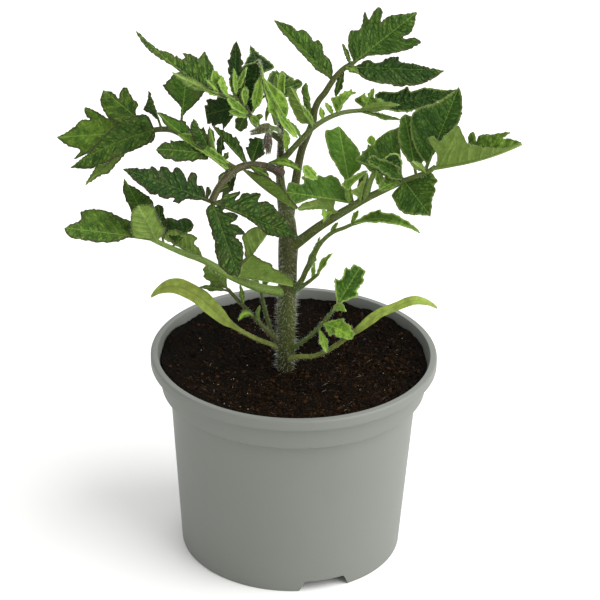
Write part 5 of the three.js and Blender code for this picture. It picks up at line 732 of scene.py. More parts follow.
# Young leaflets round the shoot's tip, on the upper left stalk and along the right one. Each leaves its
# stalk at "at", which has a depth here.
YOUNG_LEAFLETS = [
    {"at": [-14.4, 107.5, -3], "tip": [-16.4, 95.3, -7], "fold": 40, "young": 0.55, "stem": 0.6, "sides": [
        [[-15.9, 105.3], [-16.9, 102.3], [-17.4, 99.7], [-17.3, 97.5]],
        [[-13.8, 104.6], [-13.6, 102.0], [-13.7, 99.5], [-14.4, 97.0]],
    ]},
    {"at": [-13.9, 107.6, -4], "tip": [-4.7, 91.9, -8], "face": 10, "fold": 40, "young": 0.6, "stem": 0.6, "sides": [
        [[-11.6, 103.9], [-9.0, 101.8], [-6.9, 99.2], [-5.6, 96.7], [-5.1, 94.1]],
        [[-12.0, 105.9], [-9.4, 104.0], [-6.8, 102.0], [-4.9, 99.6], [-3.8, 97.1], [-4.0, 94.3]],
    ]},
    {"at": [-13.7, 106.5, -3], "tip": [-5.5, 91.7, -6], "face": 15, "fold": 30, "young": 0.5, "stem": 0.6, "sides": [
        [[-12.9, 102.4], [-11.9, 98.8], [-11.2, 95.1], [-9.2, 93.1], [-7.3, 92.0]],
        [[-11.8, 102.8], [-10.6, 99.9], [-9.2, 97.0], [-7.4, 94.6], [-6.0, 93.4]],
    ]},
    {"at": [-12.0, 104.6, -1], "tip": [-6.6, 94.4, -4], "tone": 0.0, "face": 10, "fold": 30, "young": 0, "stem": 0.6, "sides": [
        [[-11.3, 100.6], [-10.4, 96.9], [-8.5, 94.8]],
        [[-9.7, 101.7], [-7.5, 99.6], [-6.1, 96.7]],
    ]},
    {"at": [-8.8, 95.5, -7], "tip": [-0.2, 85.0, -9], "face": 25, "fold": 50, "young": 0.6, "stem": 0.6, "sides": [
        [[-5.9, 94.1], [-3.0, 90.8], [-1.1, 87.9]],
        [[-7.3, 91.5], [-4.8, 88.2], [-2.4, 85.9]],
    ]},
    {"at": [-6.7, 99.6, -1], "tip": [-6.2, 109.0, 1], "face": 25, "fold": 60, "young": 0.6, "stem": 0.6, "sides": [
        [[-8.1, 102.2], [-8.3, 105.5], [-7.5, 108.1]],
        [[-5.7, 101.8], [-5.6, 105.1], [-5.4, 107.9]],
    ]},
    {"at": [-8.6, 100.3, 1], "tip": [-8.6, 108.4, 3], "face": 25, "fold": 50, "young": 0.6, "stem": 0.6, "sides": [
        [[-9.4, 103.2], [-9.6, 106.2]],
        [[-7.9, 102.9], [-7.8, 106.2]],
    ]},
    {"at": [-15.5, 113.4, 5], "tip": [-17.5, 94.0, 2], "tone": 0.0, "face": 15, "fold": 30, "young": 0, "stem": 0.6, "sides": [
        [[-18.4, 112.2], [-21.0, 111.1], [-23.9, 108.6], [-26.4, 105.8], [-25.9, 102.9], [-23.7, 99.2],
         [-20.6, 96.0]],
        [[-13.6, 109.8], [-13.5, 104.6], [-14.5, 100.2], [-16.2, 96.5]],
    ]},
    {"at": [-4.3, 80.1, -2], "tip": [-5.0, 87.9, -3], "fold": 50, "young": 0.65, "stem": 0.6, "sides": [
        [[-5.4, 82.0], [-5.7, 84.9]],
        [[-3.1, 83.8], [-3.3, 86.0]],
    ]},
    {"at": [5.6, 90.3, -3], "tip": [-0.0, 96.8, 2], "fold": 40, "young": 0.3, "stem": 0.6, "sides": [
        [[3.4, 92.1], [1.5, 94.3]],
        [[4.6, 93.9], [2.6, 95.9], [1.1, 97.1]],
    ]},
    {"at": [-25.9, 99.2, -3], "tip": [-32.3, 109.4, -4], "face": 15, "fold": 30, "young": 0.4, "stem": 0.6, "sides": [
        [[-28.5, 100.6], [-31.1, 102.4], [-32.6, 105.7]],
        [[-27.0, 102.9], [-28.6, 106.5], [-30.5, 109.0]],
    ]},
    {"at": [-25.5, 98.8, -4], "tip": [-37.0, 104.9, -6], "face": 25, "fold": 50, "young": 0.3, "stem": 0.6, "sides": [
        [[-28.4, 99.3], [-32.1, 100.2], [-35.1, 102.1]],
        [[-27.8, 101.7], [-31.5, 104.1], [-34.8, 105.5]],
    ]},
    {"at": [-25.9, 99.2, -6], "tip": [-28.8, 107.5, -5], "fold": 30, "young": 0.6, "stem": 0.6, "sides": [
        [[-28.5, 101.7], [-30.0, 104.6]],
        [[-26.3, 102.1], [-27.3, 105.1], [-27.9, 106.5]],
    ]},
    {"at": [-23.3, 100.7, -6], "tip": [-24.3, 110.3, -4], "fold": 40, "young": 0.45, "stem": 0.6, "sides": [
        [[-24.5, 103.6], [-24.7, 107.0]],
        [[-22.6, 103.7], [-23.2, 107.4]],
    ]},
    {"at": [-23.7, 101.8, -5], "tip": [-19.5, 110.7, -3], "fold": 60, "young": 0.45, "stem": 0.6, "sides": [
        [[-23.0, 105.2], [-21.6, 108.3]],
        [[-21.5, 103.7], [-20.1, 107.1]],
    ]},
    {"at": [-19.9, 96.4, -5], "tip": [-20.1, 103.7, -4], "fold": 40, "young": 0.3, "stem": 0.6, "sides": [
        [[-21.1, 98.9], [-21.3, 101.7]],
        [[-18.9, 99.0], [-18.7, 101.6]],
    ]},
    {"at": [-18.7, 93.5, -5], "tip": [-26.6, 99.7, -7], "fold": 60, "young": 0.4, "stem": 0.6, "sides": [
        [[-21.7, 93.8], [-24.3, 95.6], [-26.2, 97.7]],
        [[-20.6, 96.4], [-22.9, 98.2], [-25.1, 99.6]],
    ]},
    {"at": [-19.1, 92.3, -6], "tip": [-25.8, 94.4, -8], "face": 15, "fold": 50, "young": 0.3, "stem": 0.6, "sides": [
        [[-21.7, 92.1], [-23.9, 92.8]],
        [[-21.0, 94.5], [-23.6, 95.2]],
    ]},
    {"at": [-18.0, 92.7, -4], "tip": [-14.2, 88.8, -5], "face": 10, "fold": 30, "young": 0.5, "stem": 0.6, "sides": [
        [[-16.7, 93.3], [-14.8, 91.9]],
        [[-17.6, 90.5], [-16.1, 89.1]],
    ]},
    {"at": [-24.2, 73.5, -14], "tip": [-44.4, 85.6, -7], "face": 18, "young": 0.45, "stem": 0.6, "sides": [
        [[-26.4, 73.0], [-30.9, 76.3], [-36.1, 79.3], [-40.6, 82.1], [-43.6, 84.3]],
        [[-27.2, 77.4], [-31.7, 80.7], [-35.5, 83.2], [-39.9, 85.8]],
    ]},
    {"at": [31.3, 78.1, -20], "tip": [38.2, 74.8, -22], "tone": 0.0, "face": 10, "fold": 14, "young": 0, "stem": 0.6, "sides": [
        [[33.1, 77.6], [35.4, 76.7], [37.0, 75.5]],
        [[33.1, 79.4], [34.5, 80.2], [36.4, 80.2], [37.7, 79.0], [38.5, 77.0]],
    ]},
    {"at": [7.2, 69.7, -17], "tip": [2.1, 74.9, -18], "face": 15, "young": 0.4, "stem": 0.6, "sides": [
        [[4.6, 70.0], [2.5, 71.1], [1.7, 73.3]],
        [[6.4, 73.0], [4.5, 74.6], [3.0, 75.2]],
    ]},
    {"at": [17.5, 66.2, -16], "tip": [25.7, 73.7, -15], "fold": 50, "young": 0.15, "stem": 0.6, "sides": [
        [[16.2, 68.4], [18.2, 70.4], [20.7, 71.8], [23.3, 73.2]],
        [[19.4, 66.6], [20.1, 68.7], [22.2, 70.6], [24.4, 72.3]],
    ]},
    {"at": [23.1, 62.9, -14], "tip": [25.7, 73.0, -15], "face": 165, "young": 0.9, "stem": 0.6, "sides": [
        [[20.5, 63.7], [19.6, 65.9], [21.6, 67.1], [23.9, 69.7]],
        [[24.6, 63.8], [25.5, 66.4], [26.3, 69.7]],
    ]},
    {"at": [31.5, 66.2, -18], "tip": [29.2, 73.5, -19], "fold": 40, "young": 1, "stem": 0.6, "sides": [
        [[30.0, 67.6], [28.7, 70.5]],
        [[32.6, 68.8], [31.4, 71.7]],
    ]},
    {"at": [35.2, 67.3, -20], "tip": [32.5, 72.8, -21], "fold": 40, "young": 0.9, "stem": 0.6, "sides": [
        [[33.3, 68.0], [32.0, 70.6]],
        [[35.5, 69.9], [34.4, 71.7]],
    ]},
    {"at": [9.9, 59.4, -15], "tip": [10.2, 54.9, -16], "face": 15, "fold": 30, "young": 0.9, "stem": 0.6, "sides": [
        [[9.1, 58.0]],
        [[11.1, 58.0]],
    ]},
    {"at": [26.8, 82.6, -16], "tip": [28.0, 85.6, -16], "fold": 30, "young": 0.4, "stem": 0.6, "sides": [
        [[25.4, 84.1], [25.8, 85.9], [27.1, 86.6]],
        [[27.9, 83.4], [28.4, 84.5]],
    ]},
]
YOUNG_STALKS = [
    {"radius": 0.55, "line": [
        [-8.4, 90.0, 1.5], [-9.9, 94.4, 0], [-11.9, 99.5, -1.5], [-13.3, 104.3, -2.5], [-14.1, 107.9, -3],
    ]},
    {"radius": 0.45, "line": [
        [-8.2, 90.7, 1.5], [-7.4, 95.2, 0.5], [-6.7, 100.0, -1],
    ]},
    {"radius": 0.45, "line": [
        [-13.9, 107.6, -2.5], [-14.3, 110.5, 0], [-15.3, 113.4, 4],
    ]},
    {"radius": 0.4, "line": [
        [-13.5, 104.6, -2], [-13.3, 105.4, 1], [-13.1, 106.1, 4],
    ]},
    {"radius": 1.0, "line": [
        [25.3, 63.5, -14], [26.3, 67.9, -15], [27.7, 71.6, -16], [29.5, 73.9, -17],
    ]},
    {"radius": 0.5, "line": [
        [-12.0, 85.5, -9], [-9.8, 87.8, -8], [-7.6, 87.6, -4], [-6.4, 85.6, -1],
    ]},
]

# How purple each leaf's stalk is, from 0, green, to 1, how pale its green is, and how light its blades are;
# the others take PLAIN_LEAF
PLAIN_LEAF = (0.1, 0.25, 0.5)
LEAF_LOOK = {
    "leaf_arching_left": (0.95, 0.0, 0.1),
    "leaf_upper_left": (0.55, 0.2, 0.25),
    "leaf_top_right": (0.55, 0.1, 0.4),
    "leaf_upper_right": (0.3, 0.2, 0.4),
    "leaf_lower_left": (0.8, 0.7, 0.25),
    "leaf_right": (0.4, 0.35, 0.3),
    "leaf_back_top": (0.3, 0.25, 0.1),
    "leaf_basal_left": (0.5, 0.1, 0.3),
    "leaf_basal_back": (0.25, 0.3, 0.3),
}

# Skins of a plant's piece, in the order of its material slots
UPPER, UNDER, STALK, HAIR = range(4)


def linear(hex_colour, alpha=1.0):
    """An sRGB hex colour as the linear colour that shaders take."""
    channels = [int(hex_colour[i : i + 2], 16) / 255 for i in (0, 2, 4)]
    return tuple(c / 12.92 if c <= 0.04045 else ((c + 0.055) / 1.055) ** 2.4 for c in channels) + (alpha,)


def unit(vectors):
    """Vectors brought to length 1."""
    vectors = np.asarray(vectors, float)
    return vectors / np.linalg.norm(vectors, axis=-1, keepdims=True)


def seen(places):
    """Places [right, up, depth] of the sight frame as points of the plant."""
    right, up, depth = np.asarray(places, float).T
    rise = [right, up * math.sin(EYE_ELEVATION), up * math.cos(EYE_ELEVATION)]
    on_plane = STEM_FOOT + np.stack(rise, -1)
    share = (on_plane[..., 1] - depth) / (on_plane[..., 1] - EYE[1])
    return on_plane + share[..., None] * (EYE - on_plane)


def draw(i, j):
    """A repeatable draw between 0 and 1 for two whole numbers."""
    x = math.sin(i * 12.9898 + j * 78.233) * 43758.5453
    return x - math.floor(x)


def smooth_line(points, step):
    """A smooth line through the points, with a point about every step, without loops at sharp turns."""
    points = np.asarray(points, float)
    ends = np.vstack([2 * points[0] - points[1], points, 2 * points[-1] - points[-2]])
    fine = []
    for p in zip(ends, ends[1:], ends[2:], ends[3:]):
        gaps = [math.sqrt(max(np.linalg.norm(b - a), 1e-6)) for a, b in zip(p, p[1:])]
        t = np.concatenate([[0], np.cumsum(gaps)])
        count = max(4, int(4 * gaps[1] ** 2 / step))
        s = np.linspace(t[1], t[2], count, endpoint=False)[:, None]

        def blend(i, j, a, b):
            return ((t[j] - s) * a + (s - t[i]) * b) / (t[j] - t[i])

        first = [blend(i, i + 1, p[i], p[i + 1]) for i in range(3)]
        second = [blend(i, i + 2, first[i], first[i + 1]) for i in range(2)]
        fine.append(blend(1, 2, *second))
    fine = np.vstack(fine + [points[-1:]])
    along = distances_along(fine)
    at = np.linspace(0, along[-1], max(2, int(round(along[-1] / step)) + 1))
    return np.stack([np.interp(at, along, column) for column in fine.T], -1)


def distances_along(line):
    """How far along the line each of its points lies."""
    return np.concatenate([[0], np.cumsum(np.linalg.norm(np.diff(line, axis=0), axis=1))])


def distance_to_line(points, line):
    """The shortest distance of each point to a line of points."""
    start, step = line[:-1], np.diff(line, axis=0)
    size = np.maximum((step**2).sum(-1), 1e-12)
    share = np.clip(((points[:, None] - start) * step).sum(-1) / size, 0, 1)
    gap = points[:, None] - start - share[..., None] * step
    return np.sqrt((gap**2).sum(-1)).min(1)


def inside(points, loop):
    """Which points lie inside a closed loop."""
    a, b = loop, np.roll(loop, -1, axis=0)
    x, y = points[:, :1], points[:, 1:]
    crosses = (a[:, 1] > y) != (b[:, 1] > y)
    rise = np.where(b[:, 1] == a[:, 1], 1e-12, b[:, 1] - a[:, 1])
    at = a[:, 0] + (y - a[:, 1]) / rise * (b[:, 0] - a[:, 0])
    return ((crosses & (x < at)).sum(1) % 2) == 1


class Growth:
    """What one piece is made of: points in millimetres, triangles with a skin each, and values at points."""

    def __init__(self, value_names):
        self.points, self.faces, self.skins = [], [], []
        self.values = {name: [] for name in value_names}
        self.count = 0

    def add(self, points, faces, skin, **values):
        """Adds points and triangles; each value is one number or one for each point."""
        self.points.append(points)
        self.faces.append(np.asarray(faces, int) + self.count)
        self.skins.append(np.broadcast_to(skin, len(faces)))
        for name, kept in self.values.items():
            kept.append(np.broadcast_to(values.get(name, 0.0), len(points)))
        self.count += len(points)

    def add_tube(self, line, radii, sides, skin, **values):
        """Adds a stalk along a line, rounded off at its ends; radii may vary along and round it."""
        line = np.asarray(line, float)
        count = len(line)
        forward, side, other = line_axes(line)
        radii = np.asarray(radii, float)
        if radii.ndim < 2:
            radii = np.repeat(np.broadcast_to(radii, count)[:, None], sides, axis=1)
        turn = np.linspace(0, 2 * math.pi, sides, endpoint=False)[:, None]
        ring = np.cos(turn) * side[:, None] + np.sin(turn) * other[:, None]
        rings = line[:, None] + radii[..., None] * ring
        ends = [line[0] - forward[0] * radii[0].mean() * 0.6, line[-1] + forward[-1] * radii[-1].mean() * 0.6]
        k = np.arange(sides)
        after = (k + 1) % sides
        low = (np.arange(count - 1) * sides)[:, None]
        a, b, c, d = low + k, low + after, low + sides + after, low + sides + k
        faces = [np.stack([a, b, c], -1).reshape(-1, 3), np.stack([a, c, d], -1).reshape(-1, 3)]
        last = (count - 1) * sides
        faces.append(np.stack([after, k, np.full(sides, count * sides)], -1))
        faces.append(np.stack([last + k, last + after, np.full(sides, count * sides + 1)], -1))
        spread = {}
        for name, value in values.items():
            value = np.asarray(value, float)
            if value.ndim < 2:
                value = np.repeat(np.broadcast_to(value, count)[:, None], sides, axis=1)
            spread[name] = np.concatenate([value.ravel(), value[0, :1], value[-1, :1]])
        self.add(np.vstack([rings.reshape(-1, 3), ends]), np.vstack(faces), skin, **spread)

    def add_hairs(self, roots, ways, lengths, width, chance, **values):
        """Adds thin bent hairs that stand out of a skin."""
        count = len(roots)
        lengths = np.broadcast_to(lengths, count)[:, None]
        ways = unit(ways + chance.normal(0, 0.13, (count, 3)))
        aside = unit(np.cross(ways, chance.normal(0, 1, (count, 3))))
        other = np.cross(ways, aside)
        bend = aside * lengths * chance.uniform(0.02, 0.2, (count, 1))
        turn = np.array([0, 2, 4]) * math.pi / 3
        ring = np.cos(turn)[:, None] * aside[:, None] + np.sin(turn)[:, None] * other[:, None]
        foot = roots[:, None] + ring * width
        middle = (roots + ways * lengths * 0.5 + bend * 0.25)[:, None] + ring * width * 0.7
        tip = (roots + ways * lengths + bend)[:, None]
        faces = []
        for k in range(3):
            m = (k + 1) % 3
            faces += [[k, m, 3 + m], [k, 3 + m, 3 + k], [3 + k, 3 + m, 6]]
        each = np.asarray(faces)[None] + 7 * np.arange(count)[:, None, None]
        points = np.concatenate([foot, middle, tip], axis=1).reshape(-1, 3)
        self.add(points, each.reshape(-1, 3), HAIR, **values)

    def piece(self, name, materials, slot, replaced=(), crease=50):
        """Makes the piece as a Blender object that rides with the pot and stands for the nodes named."""
        mesh = bpy.data.meshes.new(name)
        low, high = np.array(CAD_BOX)
        points = np.clip(np.vstack(self.points) * MM + POT_AXIS, low, high)
        mesh.from_pydata(points.tolist(), [], np.vstack(self.faces).tolist())
        mesh.polygons.foreach_set("material_index", np.concatenate(self.skins).astype(np.int32))
        for value_name, kept in self.values.items():
            attribute = mesh.attributes.new(value_name, "FLOAT", "POINT")
            attribute.data.foreach_set("value", np.concatenate(kept).astype(np.float32))
        for material in materials:
            mesh.materials.append(material)
        mesh.shade_smooth()
        mesh.set_sharp_from_angle(angle=math.radians(crease))
        return settle(bpy.data.objects.new(name, mesh), replaced)


def settle(piece, replaced=()):
    """Links a piece, lets it ride with the pot and hides the nodes it replaces."""
    if piece.name not in bpy.context.scene.collection.objects:
        bpy.context.scene.collection.objects.link(piece)
    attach(piece, "root")
    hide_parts(*replaced)
    return piece


def line_axes(line):
    """Forward, side and other direction at each point of a line, turning as little as they can."""
    forward = unit(np.gradient(line, axis=0))
    side = np.zeros_like(line)
    start = np.eye(3)[np.argmin(np.abs(forward[0]))]
    side[0] = unit(start - forward[0] * start.dot(forward[0]))
    for i in range(1, len(line)):
        side[i] = unit(side[i - 1] - forward[i] * side[i - 1].dot(forward[i]))
    return forward, side, np.cross(forward, side)


def hair_roots(line, radii, count, chance):
    """Places on a stalk, spread over it at random, and the way out of its skin there."""
    _, side, other = line_axes(line)
    at = chance.uniform(0, len(line) - 1.001, count)
    k = at.astype(int)
    share = (at - k)[:, None]
    turn = chance.uniform(0, 2 * math.pi, (count, 1))
    ways = np.cos(turn) * side[k] + np.sin(turn) * other[k]
    middle = line[k] * (1 - share) + line[k + 1] * share
    radii = np.broadcast_to(radii, len(line))
    return middle + ways * radii[k][:, None] * 0.95, ways


class BladeSurface:
    """The bent surface of a leaflet: x along its midrib, y away from it, side -1 lower or 1 upper."""

    def __init__(self, leaflet, base, tip, seed):
        self.bow, self.stem, self.seed, self.base = leaflet["bow"], leaflet["stem"], seed, base
        self.half = math.radians(leaflet["fold"]) / 2
        self.length = np.linalg.norm(tip - base)
        self.along = unit(tip - base)
        sight = unit(EYE - (base + tip) / 2)
        to_eye = unit(sight - sight.dot(self.along) * self.along)
        aside = np.cross(self.along, to_eye)
        if self.along[0] >= 0:
            aside = -aside
        turn = math.radians(leaflet["face"])
        self.out = to_eye * math.cos(turn) + aside * math.sin(turn)
        across = aside * math.cos(turn) - to_eye * math.sin(turn)
        rise = np.array([0, 0, 1.0]) - self.along * self.along[2]
        self.rise = unit(across if np.linalg.norm(rise) < STEEPEST_RISE else rise)
        self.hand = np.sign(np.cross(self.along, across).dot(self.out))

    def midrib(self, x):
        """Points on the midrib."""
        share = np.clip(x / self.length, 0, 1)
        lift = self.bow * self.length * 4 * share * (1 - share)
        return self.base + np.multiply.outer(x, self.along) + np.multiply.outer(lift, self.rise)

    def axes(self, x):
        """The ways out of the upper face and sideways at places on the midrib."""
        share = np.clip(x / self.length, 0, 1)
        forward = unit(self.along + np.multiply.outer(self.bow * 4 * (1 - 2 * share), self.rise))
        outward = unit(self.out - forward * (forward @ self.out)[..., None])
        return outward, np.cross(outward, forward) * self.hand

    def place(self, x, y, side, reach):
        """Points of the blade's middle surface."""
        outward, sideways = self.axes(x)
        u = np.clip((x - self.stem) / (self.length - self.stem), 0, 1)
        phase = np.where(side > 0, draw(self.seed, 5), draw(self.seed, 3))
        ripple = np.sin(2 * math.pi * (WAVES_PER_BLADE * u + phase))
        fade = np.sin(math.pi * np.minimum(1, 1.2 * u))
        lobe = y / reach
        lift = reach * (BLADE_WAVE * lobe**1.5 * ripple * fade - BLADE_CURL * lobe**2)
        spread = (side * math.cos(self.half) * y)[:, None] * sideways
        return self.midrib(x) + spread + (math.sin(self.half) * y + lift)[:, None] * outward

    def normals(self, x, y, side):
        """The way out of the upper face at points of the blade."""
        outward, sideways = self.axes(x)
        on_rib = outward / max(math.cos(self.half), SHARPEST_FOLD)
        off_rib = outward * math.cos(self.half) - sideways * (side * math.sin(self.half))[:, None]
        return np.where((y == 0)[:, None], on_rib, off_rib)

    def behind(self, point, side):
        """The place on one half of the blade that lies behind a point [right, up] of the sight frame."""
        outward, sideways = self.axes(self.length / 2)
        over = sideways * side * math.cos(self.half) + outward * math.sin(self.half)
        ray = seen([*point, 0]) - EYE
        solve = np.linalg.inv(np.stack([ray, -self.along, -over], -1))
        x = self.length / 2
        for _ in range(3):
            _, x, y = solve @ (self.midrib(x) - self.along * x - EYE)
        return [x, y]


def envelope(u, blunt):
    """Half width of a plain leaflet at u from its base to its tip, 1 where it is widest."""
    widest = WIDEST_AT + BLUNT_WIDENING * blunt
    end = END_TAPER - BLUNT_TAPERING * blunt
    start = BASE_TAPER * end * widest / (1 - widest)
    return min(1, (u / widest) ** start * ((1 - u) / (1 - widest)) ** end)


def lobed_outline(leaflet, length, side, seed):
    """Outline of one half of a leaflet of given width and lobes: points [x, y] from the base to the tip."""
    reach = leaflet["width"] / 2 * (1 + side * leaflet["skew"])
    marks = []
    for k in range(leaflet["lobes"]):
        spacing = LOBED_SHARE / leaflet["lobes"]
        tip = FIRST_LOBE + spacing * (k + 0.62 + 0.24 * (draw(seed, k + 7) - 0.5))
        gap = FIRST_LOBE + spacing * (k + 1.0 + 0.12 * (draw(seed + 3, k + 5) - 0.5))
        size = 1.0 + 0.24 * (draw(seed + 9, k + 3 * side) - 0.5)
        marks += [(tip, size), (gap, 1 - leaflet["cut"] * (1 - 0.45 * gap))]
    if marks:
        marks.append((marks[-1][0] + 0.1, 1.0))
    else:
        marks = [(0.1, 1), (0.25, 1), (0.45, 1), (0.65, 1)]
    outline = []
    for u, size in marks + [(0.82, 1.0), (0.93, 1.0)]:
        y = envelope(u, leaflet["blunt"]) * size * reach
        sweep = math.radians(VEIN_ANGLE_AT_BASE - VEIN_ANGLE_LOSS * u)
        x = leaflet["stem"] + (length - leaflet["stem"]) * u + y * math.cos(sweep)
        outline.append([min(x, length - 0.2), y * math.sin(sweep)])
    outline = np.array(outline)
    if leaflet["lobes"]:
        near, far = 0.72 * outline[:-1] + 0.28 * outline[1:], 0.28 * outline[:-1] + 0.72 * outline[1:]
        outline = np.vstack([outline[:1], np.stack([near, far], 1).reshape(-1, 2), outline[-1:]])
    return outline


def outlines(leaflet, surface, seed):
    """The two outlines of a leaflet's halves, lower and upper, whichever way it is described."""
    if "sides" not in leaflet:
        return [lobed_outline(leaflet, surface.length, side, seed) for side in (-1, 1)]
    first, second = leaflet["sides"]
    ways = []
    for lower, upper in ((first, second), (second, first)):
        ways.append([np.array([surface.behind(p, side) for p in half]) for half, side in ((lower, -1), (upper, 1))])
    halves = max(ways, key=lambda pair: sum(half[:, 1].sum() for half in pair))
    for half in halves:
        half[:, 1] = np.maximum(half[:, 1], NARROWEST_HALF)
    return halves


def side_veins(outline, start, length, seed):
    """Side veins of one half: one to each lobe's tip, and shorter ones where they stand far apart."""
    spacing = max(2.2, 0.12 * length)
    tips = []
    for before, here, after in zip(outline, outline[1:], outline[2:]):
        chord = unit(after - before)
        stand = chord[0] * (here - before)[1] - chord[1] * (here - before)[0]
        if stand > 0.3:
            tips.append((stand, here))
    veins = []
    for _, tip in sorted(tips, key=lambda found: -found[0]):
        root = max(start + 0.4, tip[0] - 0.85 * tip[1])
        if all(abs(root - other[0][0]) > 0.45 * spacing for other in veins):
            veins.append(([root, 0], [tip[0] - 0.42 * (tip[0] - root), 0.7 * tip[1]], tip * [1, 0.96], 1.0))
    roots = sorted([start] + [vein[0][0] for vein in veins] + [length * 0.96])
    for low, high in zip(roots, roots[1:]):
        between = int((high - low) / spacing)
        for k in range(between):
            stray = draw(seed + k, 41 + int(10 * low)) - 0.5
            root = low + (high - low) * (k + 1 + 0.5 * stray) / (between + 1)
            reach = (0.72 + 0.3 * stray) * np.interp(root + 1.5, outline[:, 0], outline[:, 1])
            lean = 0.85 + 0.5 * stray
            veins.append(([root, 0], [root + 0.4 * lean * reach, 0.66 * reach], [root + lean * reach, reach], 0.7))
    share = np.linspace(0, 1, 7)[:, None]
    lines = []
    for a, b, c, strength in veins:
        a, b, c = np.array(a), np.array(b), np.array(c)
        lines.append((a * (1 - share) ** 2 + 2 * b * share * (1 - share) + c * share**2, strength))
    return lines


def line_side(line):
    """The way to the left of a flat line at each of its points."""
    ahead = unit(np.gradient(line, axis=0))
    return np.stack([-ahead[:, 1], ahead[:, 0]], -1)


def half_mesh(rib, rim, lines, step, chance):
    """One half of a flat blade, with rows of points along its veins: points, rib indices, triangles."""
    loop = np.vstack([rib, rim[::-1]])
    low, high = loop.min(0), loop.max(0)
    columns = np.arange(low[0], high[0], step)
    rows = np.arange(low[1] + step, high[1], step * math.sqrt(0.75))
    grid = np.array([[x + (k % 2) * step / 2, y] for k, y in enumerate(rows) for x in columns]).reshape(-1, 2)
    grid += chance.uniform(-0.12, 0.12, grid.shape) * step
    rows = [smooth_line(line, 0.8 * step) for line in lines]
    rows = [row[distances_along(row) > 0.5] for row in rows if len(row) > 3]
    for row in rows:
        grid = grid[distance_to_line(grid, row) > VEIN_ROW + 0.3 * step]
    beside = [row + gap * line_side(row) for row in rows for gap in (-VEIN_ROW, 0, VEIN_ROW)]
    for row in beside:
        if len(grid):
            row = row[np.linalg.norm(row[:, None] - grid[None], axis=-1).min(1) > 0.45 * VEIN_ROW]
        grid = np.vstack([grid, row])
    grid = grid[inside(grid, loop)]
    if len(grid):
        closed = np.vstack([loop, loop[:1]])
        grid = grid[distance_to_line(grid, closed) > 0.4 * step]
    points = [Vector(p) for p in np.vstack([loop, grid])]
    made, _, faces, origin, _, _ = delaunay_2d_cdt(points, [], [list(range(len(loop)))], 1, 1e-5)
    on_rib = [min([i for i in found if i < len(rib)], default=-1) for found in origin]
    triangles = []
    for face in faces:
        for k in range(1, len(face) - 1):
            a, b, c = face[0], face[k], face[k + 1]
            area = (made[b] - made[a]).cross(made[c] - made[a])
            if abs(area) > 1e-9:
                triangles.append([a, b, c] if area > 0 else [a, c, b])
    return np.array([p[:] for p in made]), np.array(on_rib), np.array(triangles)


# Values at the points of a plant's piece, which its skins read: nearness of a vein and of the edge, height of
# the quilting, youth, tone, purple flush, and places across and along the side veins in millimetres
LEAF_VALUES = ("vein", "rim", "quilt", "youth", "tone", "blush", "rank", "run")

# Purple-brown of a seed leaf's edge
SEED_LEAF_RIM = 0.7

# How far the colour of a blade's edge reaches into it
RIM_WIDTH = 0.9

# A Mix node that mixes colours
COLOURS = {"data_type": "RGBA"}


